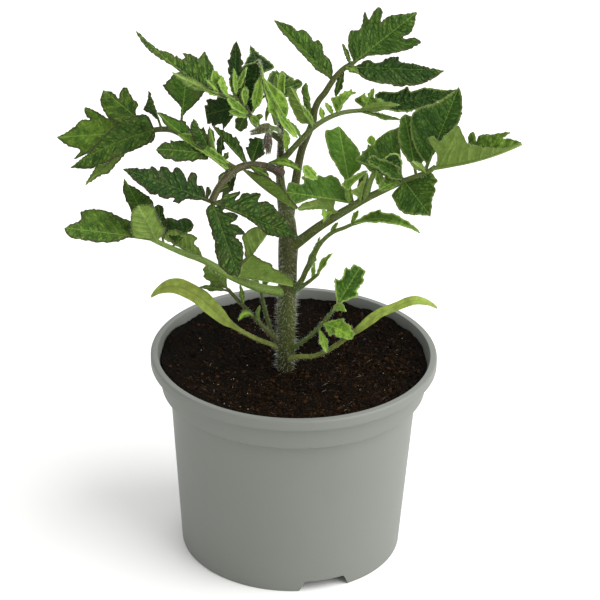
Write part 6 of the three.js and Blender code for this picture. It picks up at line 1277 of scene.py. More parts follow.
def add_leaflet(growth, leaflet, base, seed, look, chance):
    """Adds one leaflet: a quilted blade cut into lobes, its stalk and midrib, and the hairs of its edge."""
    leaflet = PLAIN_LEAFLET | leaflet
    surface = BladeSurface(leaflet, base, seen(leaflet["tip"]), seed)
    length, young = surface.length, leaflet["young"]
    start = max(0.7 * leaflet["stem"], 0.3)
    rib = np.append(np.arange(start, length - 0.3 * look.step, look.step), length)
    rib = np.stack([rib, np.zeros(len(rib))], -1)
    flat, sides, veins, quilt = [rib], [np.ones(len(rib))], [np.ones(len(rib))], [np.zeros(len(rib))]
    edges, triangles = [np.full(len(rib), 9.0)], []
    count = len(rib)
    for half, side in zip(outlines(leaflet, surface, seed), (-1, 1)):
        rim = blade_rim(half, start, length, look, seed + side)
        lines = side_veins(half, start, length, seed + side)
        points, on_rib, faces = half_mesh(rib, rim[:-1], [line for line, _ in lines], look.step, chance)
        free = on_rib < 0
        places = np.where(free, 0, on_rib)
        places[free] = count + np.arange(free.sum())
        faces = places[faces]
        triangles.append(faces if side * surface.hand > 0 else faces[:, ::-1])
        own = points[free]
        to_midrib = own[:, 1]
        to_side = np.min([distance_to_line(own, line) / strength for line, strength in lines], axis=0)
        flat.append(own)
        sides.append(np.full(len(own), float(side)))
        edges.append(distance_to_line(own, rim))
        veins.append(np.maximum(0.75 * np.exp(-((to_side / 0.2) ** 2)), np.exp(-((to_midrib / 0.4) ** 2))))
        quilt.append(1 - np.exp(-((np.minimum(to_side, to_midrib) / look.quilt_width) ** 2)))
        count += len(own)
    x, y = np.vstack(flat).T
    sides, edges, veins, quilt = map(np.concatenate, (sides, edges, veins, quilt))
    triangles = np.vstack(triangles)
    lower, upper = (max(0.5, y[sides == side].max(initial=0)) for side in (-1, 1))
    reach = np.where(sides > 0, upper, lower)
    middle = surface.place(x, y, sides, reach)
    out = surface.normals(x, y, sides)
    puckers = np.array([noise.noise(Vector(p) * 0.33) + 0.4 * noise.noise(Vector(p) * 0.9) for p in middle])
    cells = np.array([np.diff(noise.voronoi(Vector((p[0], p[1], seed)) / BLISTER)[0][:2])[0] for p in zip(x, y)])
    blisters = 1 - np.exp(-((cells / 0.3) ** 2))
    frill = np.array([noise.noise(Vector((p[0], p[1], p[2] + seed)) * 0.28) for p in middle])
    bulge = quilt * (0.55 + 0.45 * blisters) * (1 - 0.6 * np.exp(-((edges / ROLLED_RIM) ** 2)))
    lift = look.quilt * (1.3 - 0.5 * young) * bulge
    lift += 0.5 * puckers * np.minimum(1, y / 3) + FRILL * np.minimum(1, reach / 6) * frill * (y / reach) ** 2
    ridge = 0.22 * veins * (1 - 0.5 * y / reach)
    top = middle + out * (look.thickness / 2 + lift)[:, None]
    bottom = middle + out * (lift - look.thickness / 2 - ridge)[:, None]
    wall = open_edges(triangles)
    a, b = wall.T
    walls = np.vstack([np.stack([b, a, a + count], -1), np.stack([b, a + count, b + count], -1)])
    faces = np.vstack([triangles, triangles[:, ::-1] + count, walls])
    skins = np.repeat([UPPER, UNDER, UPPER], [len(triangles), len(triangles), len(walls)])
    lean = math.radians(SIDE_VEIN_LEAN)
    rank, run = x * math.sin(lean) - y * math.cos(lean), x * math.cos(lean) + y * math.sin(lean)
    values = {"vein": veins, "rim": np.exp(-((edges / RIM_WIDTH) ** 2)), "quilt": quilt, "rank": rank, "run": run}
    values = {name: np.tile(value, 2) for name, value in values.items()}
    tone = leaflet.get("tone", look.tone) + 0.3 * (draw(seed, 21) - 0.5)
    growth.add(np.vstack([top, bottom]), faces, skins, youth=young, tone=tone, blush=look.blush, **values)
    add_midrib(growth, surface, young, look)
    fringe = a[chance.random(len(a)) < look.edge_hairs * (0.6 + 1.2 * young) * look.step * 0.8]
    ahead = dict(zip(a, b))
    ways = np.array([np.cross(top[ahead[i]] - top[i], out[i]) for i in fringe]).reshape(-1, 3)
    if len(fringe):
        lengths = chance.uniform(0.25, 0.55, len(fringe)) * (1 + 0.5 * young)
        roots = (top[fringe] + bottom[fringe]) / 2
        growth.add_hairs(roots, unit(ways), lengths, look.hair_width * 0.8, chance)


def blade_rim(half, start, length, look, seed):
    """The finely toothed edge of one half of a blade, from its stalk to its tip."""
    corners = np.vstack([[[start, LEAFLET_STALK_RADIUS * 0.8]], half[half[:, 0] > start], [[length, 0.0]]])
    rim = smooth_line(corners, look.step * 0.8)
    ripple = np.array([noise.noise(Vector((p[0] * 1.1, p[1] * 1.1, seed))) for p in rim])
    rim[1:-1, 1] += look.teeth * ripple[1:-1]
    rim[1:-1, 1] = np.maximum(rim[1:-1, 1], 0.12)
    return rim


def open_edges(triangles):
    """The edges that only one triangle has, in that triangle's order."""
    edges = np.vstack([triangles[:, [0, 1]], triangles[:, [1, 2]], triangles[:, [2, 0]]])
    _, first, counts = np.unique(np.sort(edges, axis=1), axis=0, return_index=True, return_counts=True)
    return edges[first[counts == 1]]


def add_midrib(growth, surface, young, look):
    """Adds a leaflet's own stalk, which runs on under the blade as its midrib."""
    x = np.linspace(0, surface.length * 0.93, max(6, int(surface.length / 1.2)))
    thick = float(np.clip(0.3 + 0.014 * surface.length, 0.34, 0.75))
    radii = thick + (0.12 - thick) * (x / surface.length) ** 0.8
    outward, _ = surface.axes(x)
    line = surface.midrib(x) - outward * (0.65 * radii)[:, None]
    growth.add_tube(line, radii, 8, STALK, youth=0.3 + 0.7 * young, blush=look.blush * 0.3)


def add_compound_leaf(growth, leaf, number, look, chance):
    """Adds one compound leaf or branch: its ribbed stalk with hairs, and every leaflet on it."""
    sketch = smooth_line(leaf["stalk"], 1.0)
    line = smooth_line(seen(sketch[::4] if len(sketch) % 4 == 1 else np.vstack([sketch[::4], sketch[-1:]])), 0.8)
    first, last = leaf["thick"]
    share = np.linspace(0, 1, len(line))
    radii = first + (last - first) * share
    flare = 1 + 0.35 * np.exp(-share * len(line) * 0.8 / 3)
    turn = np.linspace(0, 2 * math.pi, 16, endpoint=False)
    ribs = 1 + 0.05 * np.cos(3 * turn)[None] + 0.03 * np.sin(7 * turn + 1)[None]
    blush = leaf.get("flush", look.blush) * (1 - 0.45 * share)
    growth.add_tube(line, (radii * flare)[:, None] * ribs, 16, STALK, blush=blush, youth=look.paleness)
    roots, ways = hair_roots(line, radii, int(len(line) * 0.8 * look.stalk_hairs), chance)
    growth.add_hairs(roots, ways, chance.uniform(0.35, 1.1, len(roots)), look.hair_width, chance)
    for k, leaflet in enumerate(leaf["leaflets"]):
        root = sketch[np.argmin(((sketch[:, :2] - leaflet["at"]) ** 2).sum(1))]
        add_leaflet(growth, leaflet, seen(root), number * 31 + k, look, chance)


def add_seed_leaf(growth, leaf, look, chance):
    """Adds a seed leaf: a narrow blade folded along its middle, on a stalk rounded to its edges."""
    marks = seen(leaf["line"])
    line = smooth_line(marks, 0.6)
    along = distances_along(line) / distances_along(line)[-1]
    at = distances_along(marks) / distances_along(marks)[-1]
    width = np.interp(along, at, leaf["width"])
    blade = np.clip((width - SEED_STALK_WIDTH) / 1.5, 0, 1)
    blade = np.maximum.accumulate(blade)
    half = math.radians(leaf["fold"]) / 2
    turn = math.radians(leaf["face"])
    forward = unit(np.gradient(line, axis=0))
    sight = unit(EYE - line)
    to_eye = unit(sight - (sight * forward).sum(-1)[:, None] * forward)
    aside = np.cross(forward, to_eye) * (1 if marks[-1][0] < 0 else -1)
    out = to_eye * math.cos(turn) + aside * math.sin(turn)
    across = aside * math.cos(turn) - to_eye * math.sin(turn)
    sides = 24
    ring = np.linspace(0, 2 * math.pi, sides, endpoint=False)
    spread, level = -np.cos(ring), np.sin(ring)
    thick = 1.4 + (0.75 - 1.4) * blade
    puckers = np.array([noise.noise(Vector(p) * 0.25) for p in line])
    fold = np.sqrt(spread**2 + 0.02)[None] * math.sin(half) * width[:, None] / 2
    raised = fold + level * thick[:, None] / 2 + (0.3 * puckers * blade)[:, None] * spread[None] ** 2
    beside = spread[None] * math.cos(half) * width[:, None] / 2
    points = line[:, None] + beside[..., None] * across[:, None] + raised[..., None] * out[:, None]
    count = len(line)
    k = np.arange(sides)
    after = (k + 1) % sides
    low = (np.arange(count - 1) * sides)[:, None]
    quads = np.stack([low + k, low + after, low + sides + after, low + sides + k], -1).reshape(-1, 4)
    last = (count - 1) * sides
    caps = [[after, k, np.full(sides, count * sides)], [last + k, last + after, np.full(sides, count * sides + 1)]]
    faces = np.vstack([quads[:, [0, 1, 2]], quads[:, [0, 2, 3]]] + [np.stack(cap, -1) for cap in caps])
    on_top = np.tile(level + np.roll(level, -1) >= 0, count - 1)
    skins = np.concatenate([np.where(on_top, UPPER, UNDER)] * 2 + [np.full(2 * sides, UNDER)])
    if np.cross(across[0], out[0]).dot(forward[0]) > 0:
        faces = faces[:, ::-1]
    ends = [line[0] - forward[0] * 0.3, line[-1] + forward[-1] * 0.2]
    vein = np.exp(-((np.abs(spread) / 0.13) ** 2))[None] * blade[:, None]
    values = {"vein": vein, "rim": (np.abs(spread) ** 24)[None] * blade[:, None], "quilt": np.ones((1, 1))}
    values |= {"rank": beside, "run": distances_along(line)[:, None]}
    values |= {"tone": (0.3 + 0.3 * blade)[:, None], "youth": (0.55 * blade)[:, None]}
    values = {n: np.append(np.broadcast_to(v, (count, sides)).ravel(), [0, 0]) for n, v in values.items()}
    growth.add(np.vstack([points.reshape(-1, 3), ends]), faces, skins, blush=SEED_LEAF_RIM, **values)
    roots, ways = hair_roots(line[along < 0.4], 0.9, int(look.stalk_hairs * 16), chance)
    growth.add_hairs(roots, ways, chance.uniform(0.3, 0.9, len(roots)), look.hair_width, chance)


def add_bud(growth, bud, look, chance):
    """Adds a closed flower bud: a core in five hairy sepals, whose tips stand a little apart."""
    start, end = seen(bud["from"]), seen(bud["to"])
    share = np.linspace(0, 1, 26)
    line = start + share[:, None] * (end - start)
    line += (np.sin(math.pi * share) * 0.3)[:, None] * np.array([0, 0, -1.0])
    swell = np.sin(math.pi * np.clip(share * 0.96 + 0.04, 0, 1) ** 0.75) ** 0.8
    core = bud["radius"] * np.maximum(0.1, 0.72 * swell)
    growth.add_tube(line[:-3], core[:-3], 20, STALK, blush=0.9)
    _, side, other = line_axes(line)
    for k in range(SEPALS):
        turn = 2 * math.pi * (k + 0.5 * chance.random()) / SEPALS
        away = math.cos(turn) * side + math.sin(turn) * other
        spread = bud["radius"] * (0.5 * swell + chance.uniform(0.2, 0.6) * np.maximum(0, share - 0.7) / 0.3)
        sepal = line + away * spread[:, None]
        radii = bud["radius"] * np.maximum(0.07, 0.5 * swell * (1 - 0.25 * share))
        dark = np.clip(share * 1.5 - 0.6, 0, 1) * chance.uniform(0.5, 1)
        flush = np.maximum(bud["flush"], dark)
        growth.add_tube(sepal, radii, 14, STALK, youth=0.4 * (1 - share) * (1 - flush), blush=flush)
        roots, ways = hair_roots(sepal, radii, int(15 * look.stalk_hairs), chance)
        growth.add_hairs(roots, ways, chance.uniform(0.4, 1.3, len(roots)), look.hair_width, chance)


def add_young_leaflet(growth, leaflet, number, look, chance):
    """Adds one leaflet of the shoot's tip, whose base has its own depth."""
    add_leaflet(growth, leaflet, seen(leaflet["at"]), 900 + number, look, chance)


def add(tree, kind, settings=(), inputs=()):
    """Adds a node with its settings and links.

    Inputs go by name, or as a row in the order of the node's sockets. Each is a value, a socket or a node,
    of which the first output is taken.
    """
    node = tree.nodes.new("ShaderNode" + kind)
    for name, value in dict(settings).items():
        setattr(node, name, value)
    sockets = [socket for socket in node.inputs if socket.enabled]
    if isinstance(inputs, dict):
        sockets = [next(socket for socket in sockets if socket.name == name) for name in inputs]
        inputs = inputs.values()
    for socket, value in zip(sockets, inputs):
        if isinstance(value, bpy.types.Node):
            value = next(output for output in value.outputs if output.enabled)
        if isinstance(value, bpy.types.NodeSocket):
            tree.links.new(value, socket)
        else:
            socket.default_value = value
    return node


def blank(name):
    """A new material's node tree, its shader and its place coordinates in metres."""
    material = bpy.data.materials.new(name)
    material.use_nodes = True
    tree = material.node_tree
    tree.nodes.clear()
    shader = add(tree, "BsdfPrincipled")
    add(tree, "OutputMaterial", (), {"Surface": shader})
    return material, tree, shader, add(tree, "TexCoord").outputs["Object"]


def per_mm(size):
    """The scale of a pattern whose features are this many millimetres apart."""
    return 1 / (size * MM)


def leaf_skin(name, colours, midribs, roughness, relief):
    """Living tomato leaf: matte and faintly waxy, quilted along its side veins into pillows 1.2 by 2.2 mm.

    The colours are those of its old dark blade, its lighter old blade, its young pale blade, a dark green and
    its veins. The dark green is painted shade in the hollows between the pillows and beside the veins, and it is
    also the darker panels of a young blade and its fine specks. The vein colour is also a painted highlight on
    the middle of each pillow. The midrib shows by the first share on an old blade and by the second on a young one.
    """
    material, tree, shader, place = blank(name)
    dark, middle, pale, panel_and_shade, vein = colours
    nodes = [add(tree, "Attribute", {"attribute_name": each}) for each in LEAF_VALUES]
    veins, rim, quilt, youth, tone, blush, rank, run = nodes
    patches = add(tree, "TexNoise", (), {"Vector": place, "Scale": per_mm(6.0), "Detail": 3.0})
    dapple = add(tree, "TexNoise", (), {"Vector": place, "Scale": per_mm(2.5), "Detail": 2.0})
    grain = add(tree, "TexNoise", (), {"Vector": place, "Scale": per_mm(0.5), "Detail": 3.0})
    wander = add(tree, "TexNoise", (), {"Vector": place, "Scale": per_mm(2.0), "Detail": 2.0}).outputs["Color"]
    cells = add(tree, "CombineXYZ", (), (rank, run, tone))
    cells = add(tree, "VectorMath", {"operation": "MULTIPLY"}, (cells, (1 / 1.2, 1 / 2.2, 40.0)))
    cells = add(tree, "VectorMath", {"operation": "MULTIPLY_ADD"}, (wander, [0.8] * 3, cells))
    net = add(tree, "TexVoronoi", {"feature": "DISTANCE_TO_EDGE"}, {"Vector": cells, "Scale": 1.0})
    pillows = add(tree, "MapRange", {"interpolation_type": "SMOOTHSTEP"}, (net, 0.0, 0.3))
    beside = add(tree, "MapRange", {"interpolation_type": "SMOOTHSTEP"}, (quilt, 0.0, 0.3))
    height = add(tree, "MapRange", (), (pillows, 0.0, 1.0, 0.3, 1.0))
    height = add(tree, "Math", {"operation": "MULTIPLY"}, (height, beside))
    share = add(tree, "MapRange", (), (patches, 0.3, 0.7, -0.25, 0.25))
    share = add(tree, "Math", {"operation": "ADD", "use_clamp": True}, (share, tone))
    colour = add(tree, "Mix", COLOURS, (share, dark, middle))
    share = add(tree, "MapRange", (), (dapple, 0.38, 0.62, -0.8, 0.3))
    share = add(tree, "Math", {"operation": "MULTIPLY_ADD", "use_clamp": True}, (share, youth, youth))
    colour = add(tree, "Mix", COLOURS, (share, colour, pale))
    share = add(tree, "Math", {"operation": "MULTIPLY"}, (youth, quilt))
    share = add(tree, "Math", {"operation": "MULTIPLY"}, (share, 0.65))
    colour = add(tree, "Mix", COLOURS, (share, colour, panel_and_shade))
    share = add(tree, "MapRange", (), (patches, 0.54, 0.7, 0.0, 0.45))
    share = add(tree, "Math", {"operation": "MULTIPLY"}, (share, blush))
    colour = add(tree, "Mix", COLOURS, (share, colour, linear("46382a")))
    # Painted highlight: the middle of each pillow is lightened toward the vein colour.
    share = add(tree, "MapRange", (), (net, 0.2, 0.55, 0.0, 0.2))
    colour = add(tree, "Mix", COLOURS, (share, colour, vein))
    share = add(tree, "MapRange", (), (grain, 0.6, 0.4, 0.0, 0.3))
    colour = add(tree, "Mix", COLOURS, (share, colour, panel_and_shade))
    # Painted shade: the hollows between the pillows and beside the veins are mixed toward the dark green, less on
    # light and young blades.
    light = add(tree, "Math", {"operation": "MAXIMUM"}, (tone, youth))
    depth = add(tree, "MapRange", (), (light, 0.1, 0.7, 0.8, 0.2))
    share = add(tree, "MapRange", (), (height, 0.0, 0.9, 1.0, 0.0))
    share = add(tree, "Math", {"operation": "MULTIPLY"}, (share, depth))
    colour = add(tree, "Mix", COLOURS, (share, colour, panel_and_shade))
    share = add(tree, "MapRange", (), (youth, 0.0, 1.0, *midribs))
    thin = add(tree, "MapRange", (), (light, 0.1, 0.7, 0.7, 0.4))
    faint = add(tree, "MapRange", (), (veins, thin, 1.0))
    share = add(tree, "Math", {"operation": "MULTIPLY"}, (share, faint))
    sunken = add(tree, "MapRange", (), (light, 0.0, 0.4, 0.4, 1.0))
    share = add(tree, "Math", {"operation": "MULTIPLY"}, (share, sunken))
    colour = add(tree, "Mix", COLOURS, (share, colour, vein))
    share = add(tree, "MapRange", (), (youth, 0.0, 1.0, 0.75, 0.4))
    share = add(tree, "MapRange", (), (rim, 0.5, 0.9, 0.0, share))
    edge = add(tree, "MapRange", (), (blush, 0.1, 0.6))
    edge = add(tree, "Mix", COLOURS, (edge, linear("8ba452"), linear("33281c")))
    colour = add(tree, "Mix", COLOURS, (share, colour, edge))
    tree.links.new(colour.outputs[2], shader.inputs["Base Color"])
    firm = add(tree, "MapRange", (), (light, 0.1, 0.7, 1.0, 0.35))
    bump = add(tree, "Bump", (), {"Distance": relief * MM, "Strength": firm, "Height": pillows})
    fine = add(tree, "Bump", (), {"Distance": 0.04 * MM, "Strength": 0.6, "Height": grain, "Normal": bump})
    tree.links.new(fine.outputs[0], shader.inputs["Normal"])
    shader.inputs["Roughness"].default_value = roughness
    shader.inputs["IOR"].default_value = 1.42
    shader.inputs["Specular IOR Level"].default_value = 0.14
    return material


def stalk_skin(name, green, blush):
    """Living green stem skin, ribbed lengthwise, flushed purple-brown in the sun and darker toward its foot."""
    material, tree, shader, place = blank(name)
    values = ("blush", "youth", "tone")
    flushed, youth, foot_darkening = [add(tree, "Attribute", {"attribute_name": each}) for each in values]
    streaks = add(tree, "TexNoise", (), {"Vector": place, "Scale": per_mm(2.2), "Detail": 4.0})
    pores = add(tree, "TexNoise", (), {"Vector": place, "Scale": per_mm(0.5), "Detail": 2.0})
    colour = add(tree, "Mix", COLOURS, (youth, green, linear("6a8438")))
    share = add(tree, "MapRange", (), (streaks, 0.3, 0.6, 0.75, 1.0))
    share = add(tree, "Math", {"operation": "MULTIPLY"}, (share, flushed))
    colour = add(tree, "Mix", COLOURS, (share, colour, blush))
    share = add(tree, "MapRange", (), (pores, 0.52, 0.72, 0.0, 0.25))
    colour = add(tree, "Mix", COLOURS, (share, colour, linear("66743a")))
    share = add(tree, "MapRange", (), (pores, 0.5, 0.3, 0.0, 0.6))
    colour = add(tree, "Mix", COLOURS, (share, colour, linear("1d2210")))
    colour = add(tree, "Mix", COLOURS, (foot_darkening, colour, linear("1f170f")))
    tree.links.new(colour.outputs[2], shader.inputs["Base Color"])
    bump = add(tree, "Bump", (), {"Distance": 0.1 * MM, "Strength": 0.8, "Height": pores})
    tree.links.new(bump.outputs[0], shader.inputs["Normal"])
    shader.inputs["Roughness"].default_value = 0.5
    shader.inputs["IOR"].default_value = 1.42
    shader.inputs["Specular IOR Level"].default_value = 0.25
    return material


def hair_skin(name):
    """Colourless plant hairs, grown: they catch the light along their length and read as silvery white."""
    material, _, shader, _ = blank(name)
    shader.inputs["Base Color"].default_value = linear("cfd4c2")
    shader.inputs["Roughness"].default_value = 0.35
    shader.inputs["Subsurface Weight"].default_value = 0.3
    shader.inputs["Subsurface Scale"].default_value = 0.2 * MM
    return material


def soil_skin(name, dark, brown):
    """Moist peat compost, milled: nearly black crumbs with reddish-brown bits, dull all over."""
    material, tree, shader, place = blank(name)
    tone, pale = [add(tree, "Attribute", {"attribute_name": each}) for each in ("tone", "pale")]
    clods = add(tree, "TexNoise", (), {"Vector": place, "Scale": per_mm(5.0), "Detail": 6.0})
    crumbs = add(tree, "TexNoise", (), {"Vector": place, "Scale": per_mm(0.9), "Detail": 6.0})
    share = add(tree, "MapRange", (), (clods, 0.45, 0.75, 0.0, 0.7))
    colour = add(tree, "Mix", COLOURS, (share, dark, brown))
    share = add(tree, "MapRange", (), (crumbs, 0.55, 0.75, 0.0, 0.7))
    colour = add(tree, "Mix", COLOURS, (share, colour, linear("271a10")))
    share = add(tree, "MapRange", (), (tone, 0.0, 1.0, 0.0, 0.7))
    colour = add(tree, "Mix", COLOURS, (share, colour, linear("46301c")))
    colour = add(tree, "Mix", COLOURS, (pale, colour, linear("8a8070")))
    tree.links.new(colour.outputs[2], shader.inputs["Base Color"])
    bump = add(tree, "Bump", (), {"Distance": 0.5 * MM, "Strength": 1.0, "Height": crumbs})
    tree.links.new(bump.outputs[0], shader.inputs["Normal"])
    shader.inputs["Roughness"].default_value = 0.95
    shader.inputs["Specular IOR Level"].default_value = 0.05
    return material


def pot_skin(name, grey, pale):
    """Recycled polypropylene, injection moulded: matte, with faint flow marks, an eggshell grain and painted shade
    inside.
    """
    material, tree, shader, place = blank(name)
    painted_inner_shade = add(tree, "Attribute", {"attribute_name": "painted_inner_shade"})
    flow = add(tree, "TexNoise", (), {"Vector": place, "Scale": per_mm(28.0), "Detail": 3.0})
    specks = add(tree, "TexNoise", (), {"Vector": place, "Scale": per_mm(0.5), "Detail": 2.0})
    shade_patches = add(tree, "TexNoise", (), {"Vector": place, "Scale": per_mm(9.0), "Detail": 6.0})
    share = add(tree, "MapRange", (), (flow, 0.35, 0.65, 0.0, 0.35))
    colour = add(tree, "Mix", COLOURS, (share, grey, pale))
    share = add(tree, "MapRange", (), (specks, 0.62, 0.75, 0.0, 0.25))
    colour = add(tree, "Mix", COLOURS, (share, colour, linear("5e615b")))
    # Painted shade: the inner wall below the lip is darkened in uneven patches.
    share = add(tree, "MapRange", (), (shade_patches, 0.35, 0.6, 0.55, 1.0))
    share = add(tree, "Math", {"operation": "MULTIPLY"}, (share, painted_inner_shade))
    colour = add(tree, "Mix", COLOURS, (share, colour, linear("31302b")))
    tree.links.new(colour.outputs[2], shader.inputs["Base Color"])
    bump = add(tree, "Bump", (), {"Distance": 0.05 * MM, "Strength": 0.6, "Height": specks})
    tree.links.new(bump.outputs[0], shader.inputs["Normal"])
    gloss = add(tree, "MapRange", (), (flow, 0.3, 0.7, 0.5, 0.6))
    tree.links.new(gloss.outputs[0], shader.inputs["Roughness"])
    shader.inputs["IOR"].default_value = 1.49
    return material


def leaf_materials(settings):
    """The skins of a leaf in the order of its slots."""
    if "tomato_leaf_upper" not in bpy.data.materials:
        old = (settings.leaf_dark, settings.leaf_middle, settings.leaf_pale)
        upper = [tuple(c) for c in old] + [linear("14260b"), tuple(settings.leaf_vein)]
        leaf_skin("tomato_leaf_upper", upper, (0.55, 0.8), 0.45, 0.35)
        under = [tuple(settings.leaf_under)] + [linear(c) for c in ("687e34", "738a42", "4c6224", "8fa45c")]
        leaf_skin("tomato_leaf_under", under, (0.5, 0.6), 0.6, 0.12)
        stalk_skin("tomato_stalk", tuple(settings.stem_green), tuple(settings.stem_blush))
        hair_skin("tomato_hair")
    names = ("tomato_leaf_upper", "tomato_leaf_under", "tomato_stalk", "tomato_hair")
    return [bpy.data.materials[name] for name in names]


def rounded_profile(corners):
    """A closed profile of [radius, height] with each corner rounded by its own radius."""
    points = []
    for before, here, after in zip(corners[-1:] + corners[:-1], corners, corners[1:] + corners[:1]):
        p, q, r = (np.array(c[:2], float) for c in (before, here, after))
        size = here[2] if len(here) > 2 else 0
        if not size:
            points.append(q)
            continue
        into, out = unit(p - q), unit(r - q)
        gap = min(size / math.tan(math.acos(np.clip(into.dot(out), -1, 1)) / 2), 0.45 * min(
            np.linalg.norm(p - q), np.linalg.norm(r - q)))
        share = np.linspace(0, 1, 7)[:, None]
        points += list((q + into * gap) * (1 - share) ** 2 + 2 * q * share * (1 - share) + (q + out * gap) * share**2)
    return np.array(points)


def turned_mesh(name, profile, segments):
    """A closed profile turned round the pot's axis; points on the axis are shared."""
    points, rings, faces = [], [], []
    for radius, height in profile:
        if radius < 1e-6:
            rings.append([len(points)] * segments)
            points.append((0, 0, height))
            continue
        rings.append(list(range(len(points), len(points) + segments)))
        for k in range(segments):
            turn = 2 * math.pi * k / segments
            points.append((radius * math.cos(turn), radius * math.sin(turn), height))
    for low, high in zip(rings, rings[1:]):
        for k in range(segments):
            m = (k + 1) % segments
            face = [low[k], low[m], high[m], high[k]]
            face = [v for i, v in enumerate(face) if v != face[i - 1]]
            if len(face) > 2:
                faces.append(face)
    mesh = bpy.data.meshes.new(name)
    mesh.from_pydata((np.array(points) * MM + POT_AXIS).tolist(), [], faces)
    return mesh


def cutter(name, outline, low, high, turn=0.0, offset=(0, 0)):
    """A bar with the given outline [across, up] that cuts from low to high, turned round the pot's axis."""
    count = len(outline)
    spin = Matrix.Rotation(turn, 3, "Z")
    points = [spin @ Vector((x + offset[0], -depth + offset[1], z)) for depth in (low, high) for x, z in outline]
    faces = [list(range(count))[::-1], [count + k for k in range(count)]]
    faces += [[k, (k + 1) % count, count + (k + 1) % count, count + k] for k in range(count)]
    mesh = bpy.data.meshes.new(name)
    mesh.from_pydata((np.array([p[:] for p in points]) * MM + POT_AXIS).tolist(), [], faces)
    cut = bpy.data.objects.new(name, mesh)
    bpy.context.scene.collection.objects.link(cut)
    return cut


def carve(piece, cuts):
    """Cuts the bars out of a piece and drops them."""
    for cut in cuts:
        modifier = piece.modifiers.new(cut.name, "BOOLEAN")
        modifier.operation, modifier.solver, modifier.object = "DIFFERENCE", "EXACT", cut
    bpy.context.view_layer.update()
    shaped = piece.evaluated_get(bpy.context.evaluated_depsgraph_get())
    mesh = bpy.data.meshes.new_from_object(shaped)
    piece.modifiers.clear()
    piece.data = mesh
    for cut in cuts:
        bpy.data.objects.remove(cut)


def body_radius(height):
    """The pot's outer radius below its collar."""
    return FOOT_RADIUS + (BODY_TOP_RADIUS - FOOT_RADIUS) * height / BODY_TOP


def inner_radius(height, wall):
    """The radius of the pot's inner side at a height."""
    heights = (0, BODY_TOP + 0.8, COLLAR_FOOT + 0.8, POT_HEIGHT - RIM_DEPTH - 2.0, POT_HEIGHT)
    radii = (FOOT_RADIUS, BODY_TOP_RADIUS, COLLAR_FOOT_RADIUS, COLLAR_TOP_RADIUS, RIM_RADIUS - RIM_LIP + wall)
    return np.interp(height, heights, radii) - wall


def soil_rise(x, y):
    """How far the soil's surface rises at a place: humps, a dish, and a heap along the pot's side."""
    broad = np.sin(0.2 * x + 1.3) * np.cos(0.2 * y - 0.6)
    out = np.sqrt(x * x + y * y) / COLLAR_FOOT_RADIUS
    heap = np.clip((out - HEAP_FROM) / (1 - HEAP_FROM), 0, 1)
    rise = SOIL_DISH * out**2 + SOIL_HEAP * heap * heap * (3 - 2 * heap) * (1 - 0.25 * x / COLLAR_FOOT_RADIUS)
    return rise + SOIL_ROUGHNESS * (0.6 * broad + 0.36 * np.sin(0.4 * (x - y)) - 0.3)


def crumbs_rise(x, y):
    """How far the crumbs of the soil rise above its surface at a place."""
    p = Vector((x, y, 3.7))
    return 0.55 * abs(noise.noise(p * 0.45)) + 0.6 * abs(noise.noise(p * 0.9)) + 0.35 * noise.noise(p * 2.1) - 0.3


class PlantSettings(bpy.types.PropertyGroup):
    """Sizes and colours that a user would change."""

    pot_wall: FloatProperty(
        name="Pot wall", description="Thickness of the pot's wall", default=1.2 * MM, unit="LENGTH", precision=4
    )
    blade_thickness: FloatProperty(
        name="Blade thickness", description="Thickness of a leaflet", default=0.32 * MM, unit="LENGTH", precision=5
    )
    quilt_height: FloatProperty(
        name="Quilting", description="How far a blade bulges between its veins", default=0.55 * MM,
        unit="LENGTH", precision=5,
    )
    mesh_step: FloatProperty(
        name="Mesh step", description="Distance between the points of a blade", default=0.6 * MM,
        unit="LENGTH", precision=5,
    )
    hair_width: FloatProperty(
        name="Hair radius", description="Radius of a hair at its root", default=0.026 * MM,
        unit="LENGTH", precision=6,
    )
    stem_hairs: IntProperty(name="Stem hairs", description="Hairs on the main stem", default=3400, min=0)
    soil_crumbs: IntProperty(name="Soil crumbs", description="Loose crumbs on the soil", default=4500, min=0)
    soil_fibres: IntProperty(name="Soil fibres", description="Loose fibres on the soil", default=2600, min=0)
    pot_grey: FloatVectorProperty(
        name="Pot", description="Colour of the plastic", subtype="COLOR", size=4, default=linear("686b65")
    )
    soil_dark: FloatVectorProperty(
        name="Soil", description="Colour of the compost", subtype="COLOR", size=4, default=linear("060503")
    )
    leaf_dark: FloatVectorProperty(
        name="Leaf, dark", description="Colour of an old leaf", subtype="COLOR", size=4, default=linear("234010")
    )
    leaf_middle: FloatVectorProperty(
        name="Leaf, middle", description="Colour of its paler patches", subtype="COLOR", size=4,
        default=linear("527a22"),
    )
    leaf_pale: FloatVectorProperty(
        name="Leaf, young", description="Colour of a young leaf", subtype="COLOR", size=4,
        default=linear("8cb03a"),
    )
    leaf_under: FloatVectorProperty(
        name="Leaf, underside", description="Colour of a leaf's lower face", subtype="COLOR", size=4,
        default=linear("5c762e"),
    )
    leaf_vein: FloatVectorProperty(
        name="Leaf veins", description="Colour of the veins", subtype="COLOR", size=4, default=linear("80a244")
    )
    stem_green: FloatVectorProperty(
        name="Stem", description="Colour of the stem", subtype="COLOR", size=4, default=linear("3c4a10")
    )
    stem_blush: FloatVectorProperty(
        name="Stem flush", description="Colour where a stalk is flushed", subtype="COLOR", size=4,
        default=linear("3f2c2b"),
    )


def look_of(settings, leaf=PLAIN_LEAF):
    """The leaf sizes of the settings in millimetres."""
    return SimpleNamespace(
        step=settings.mesh_step / MM,
        thickness=settings.blade_thickness / MM,
        quilt=settings.quilt_height / MM,
        quilt_width=0.9,
        teeth=0.5,
        hair_width=settings.hair_width / MM,
        edge_hairs=1.1,
        stalk_hairs=8.0,
        blush=leaf[0],
        paleness=leaf[1],
        tone=leaf[2],
    )


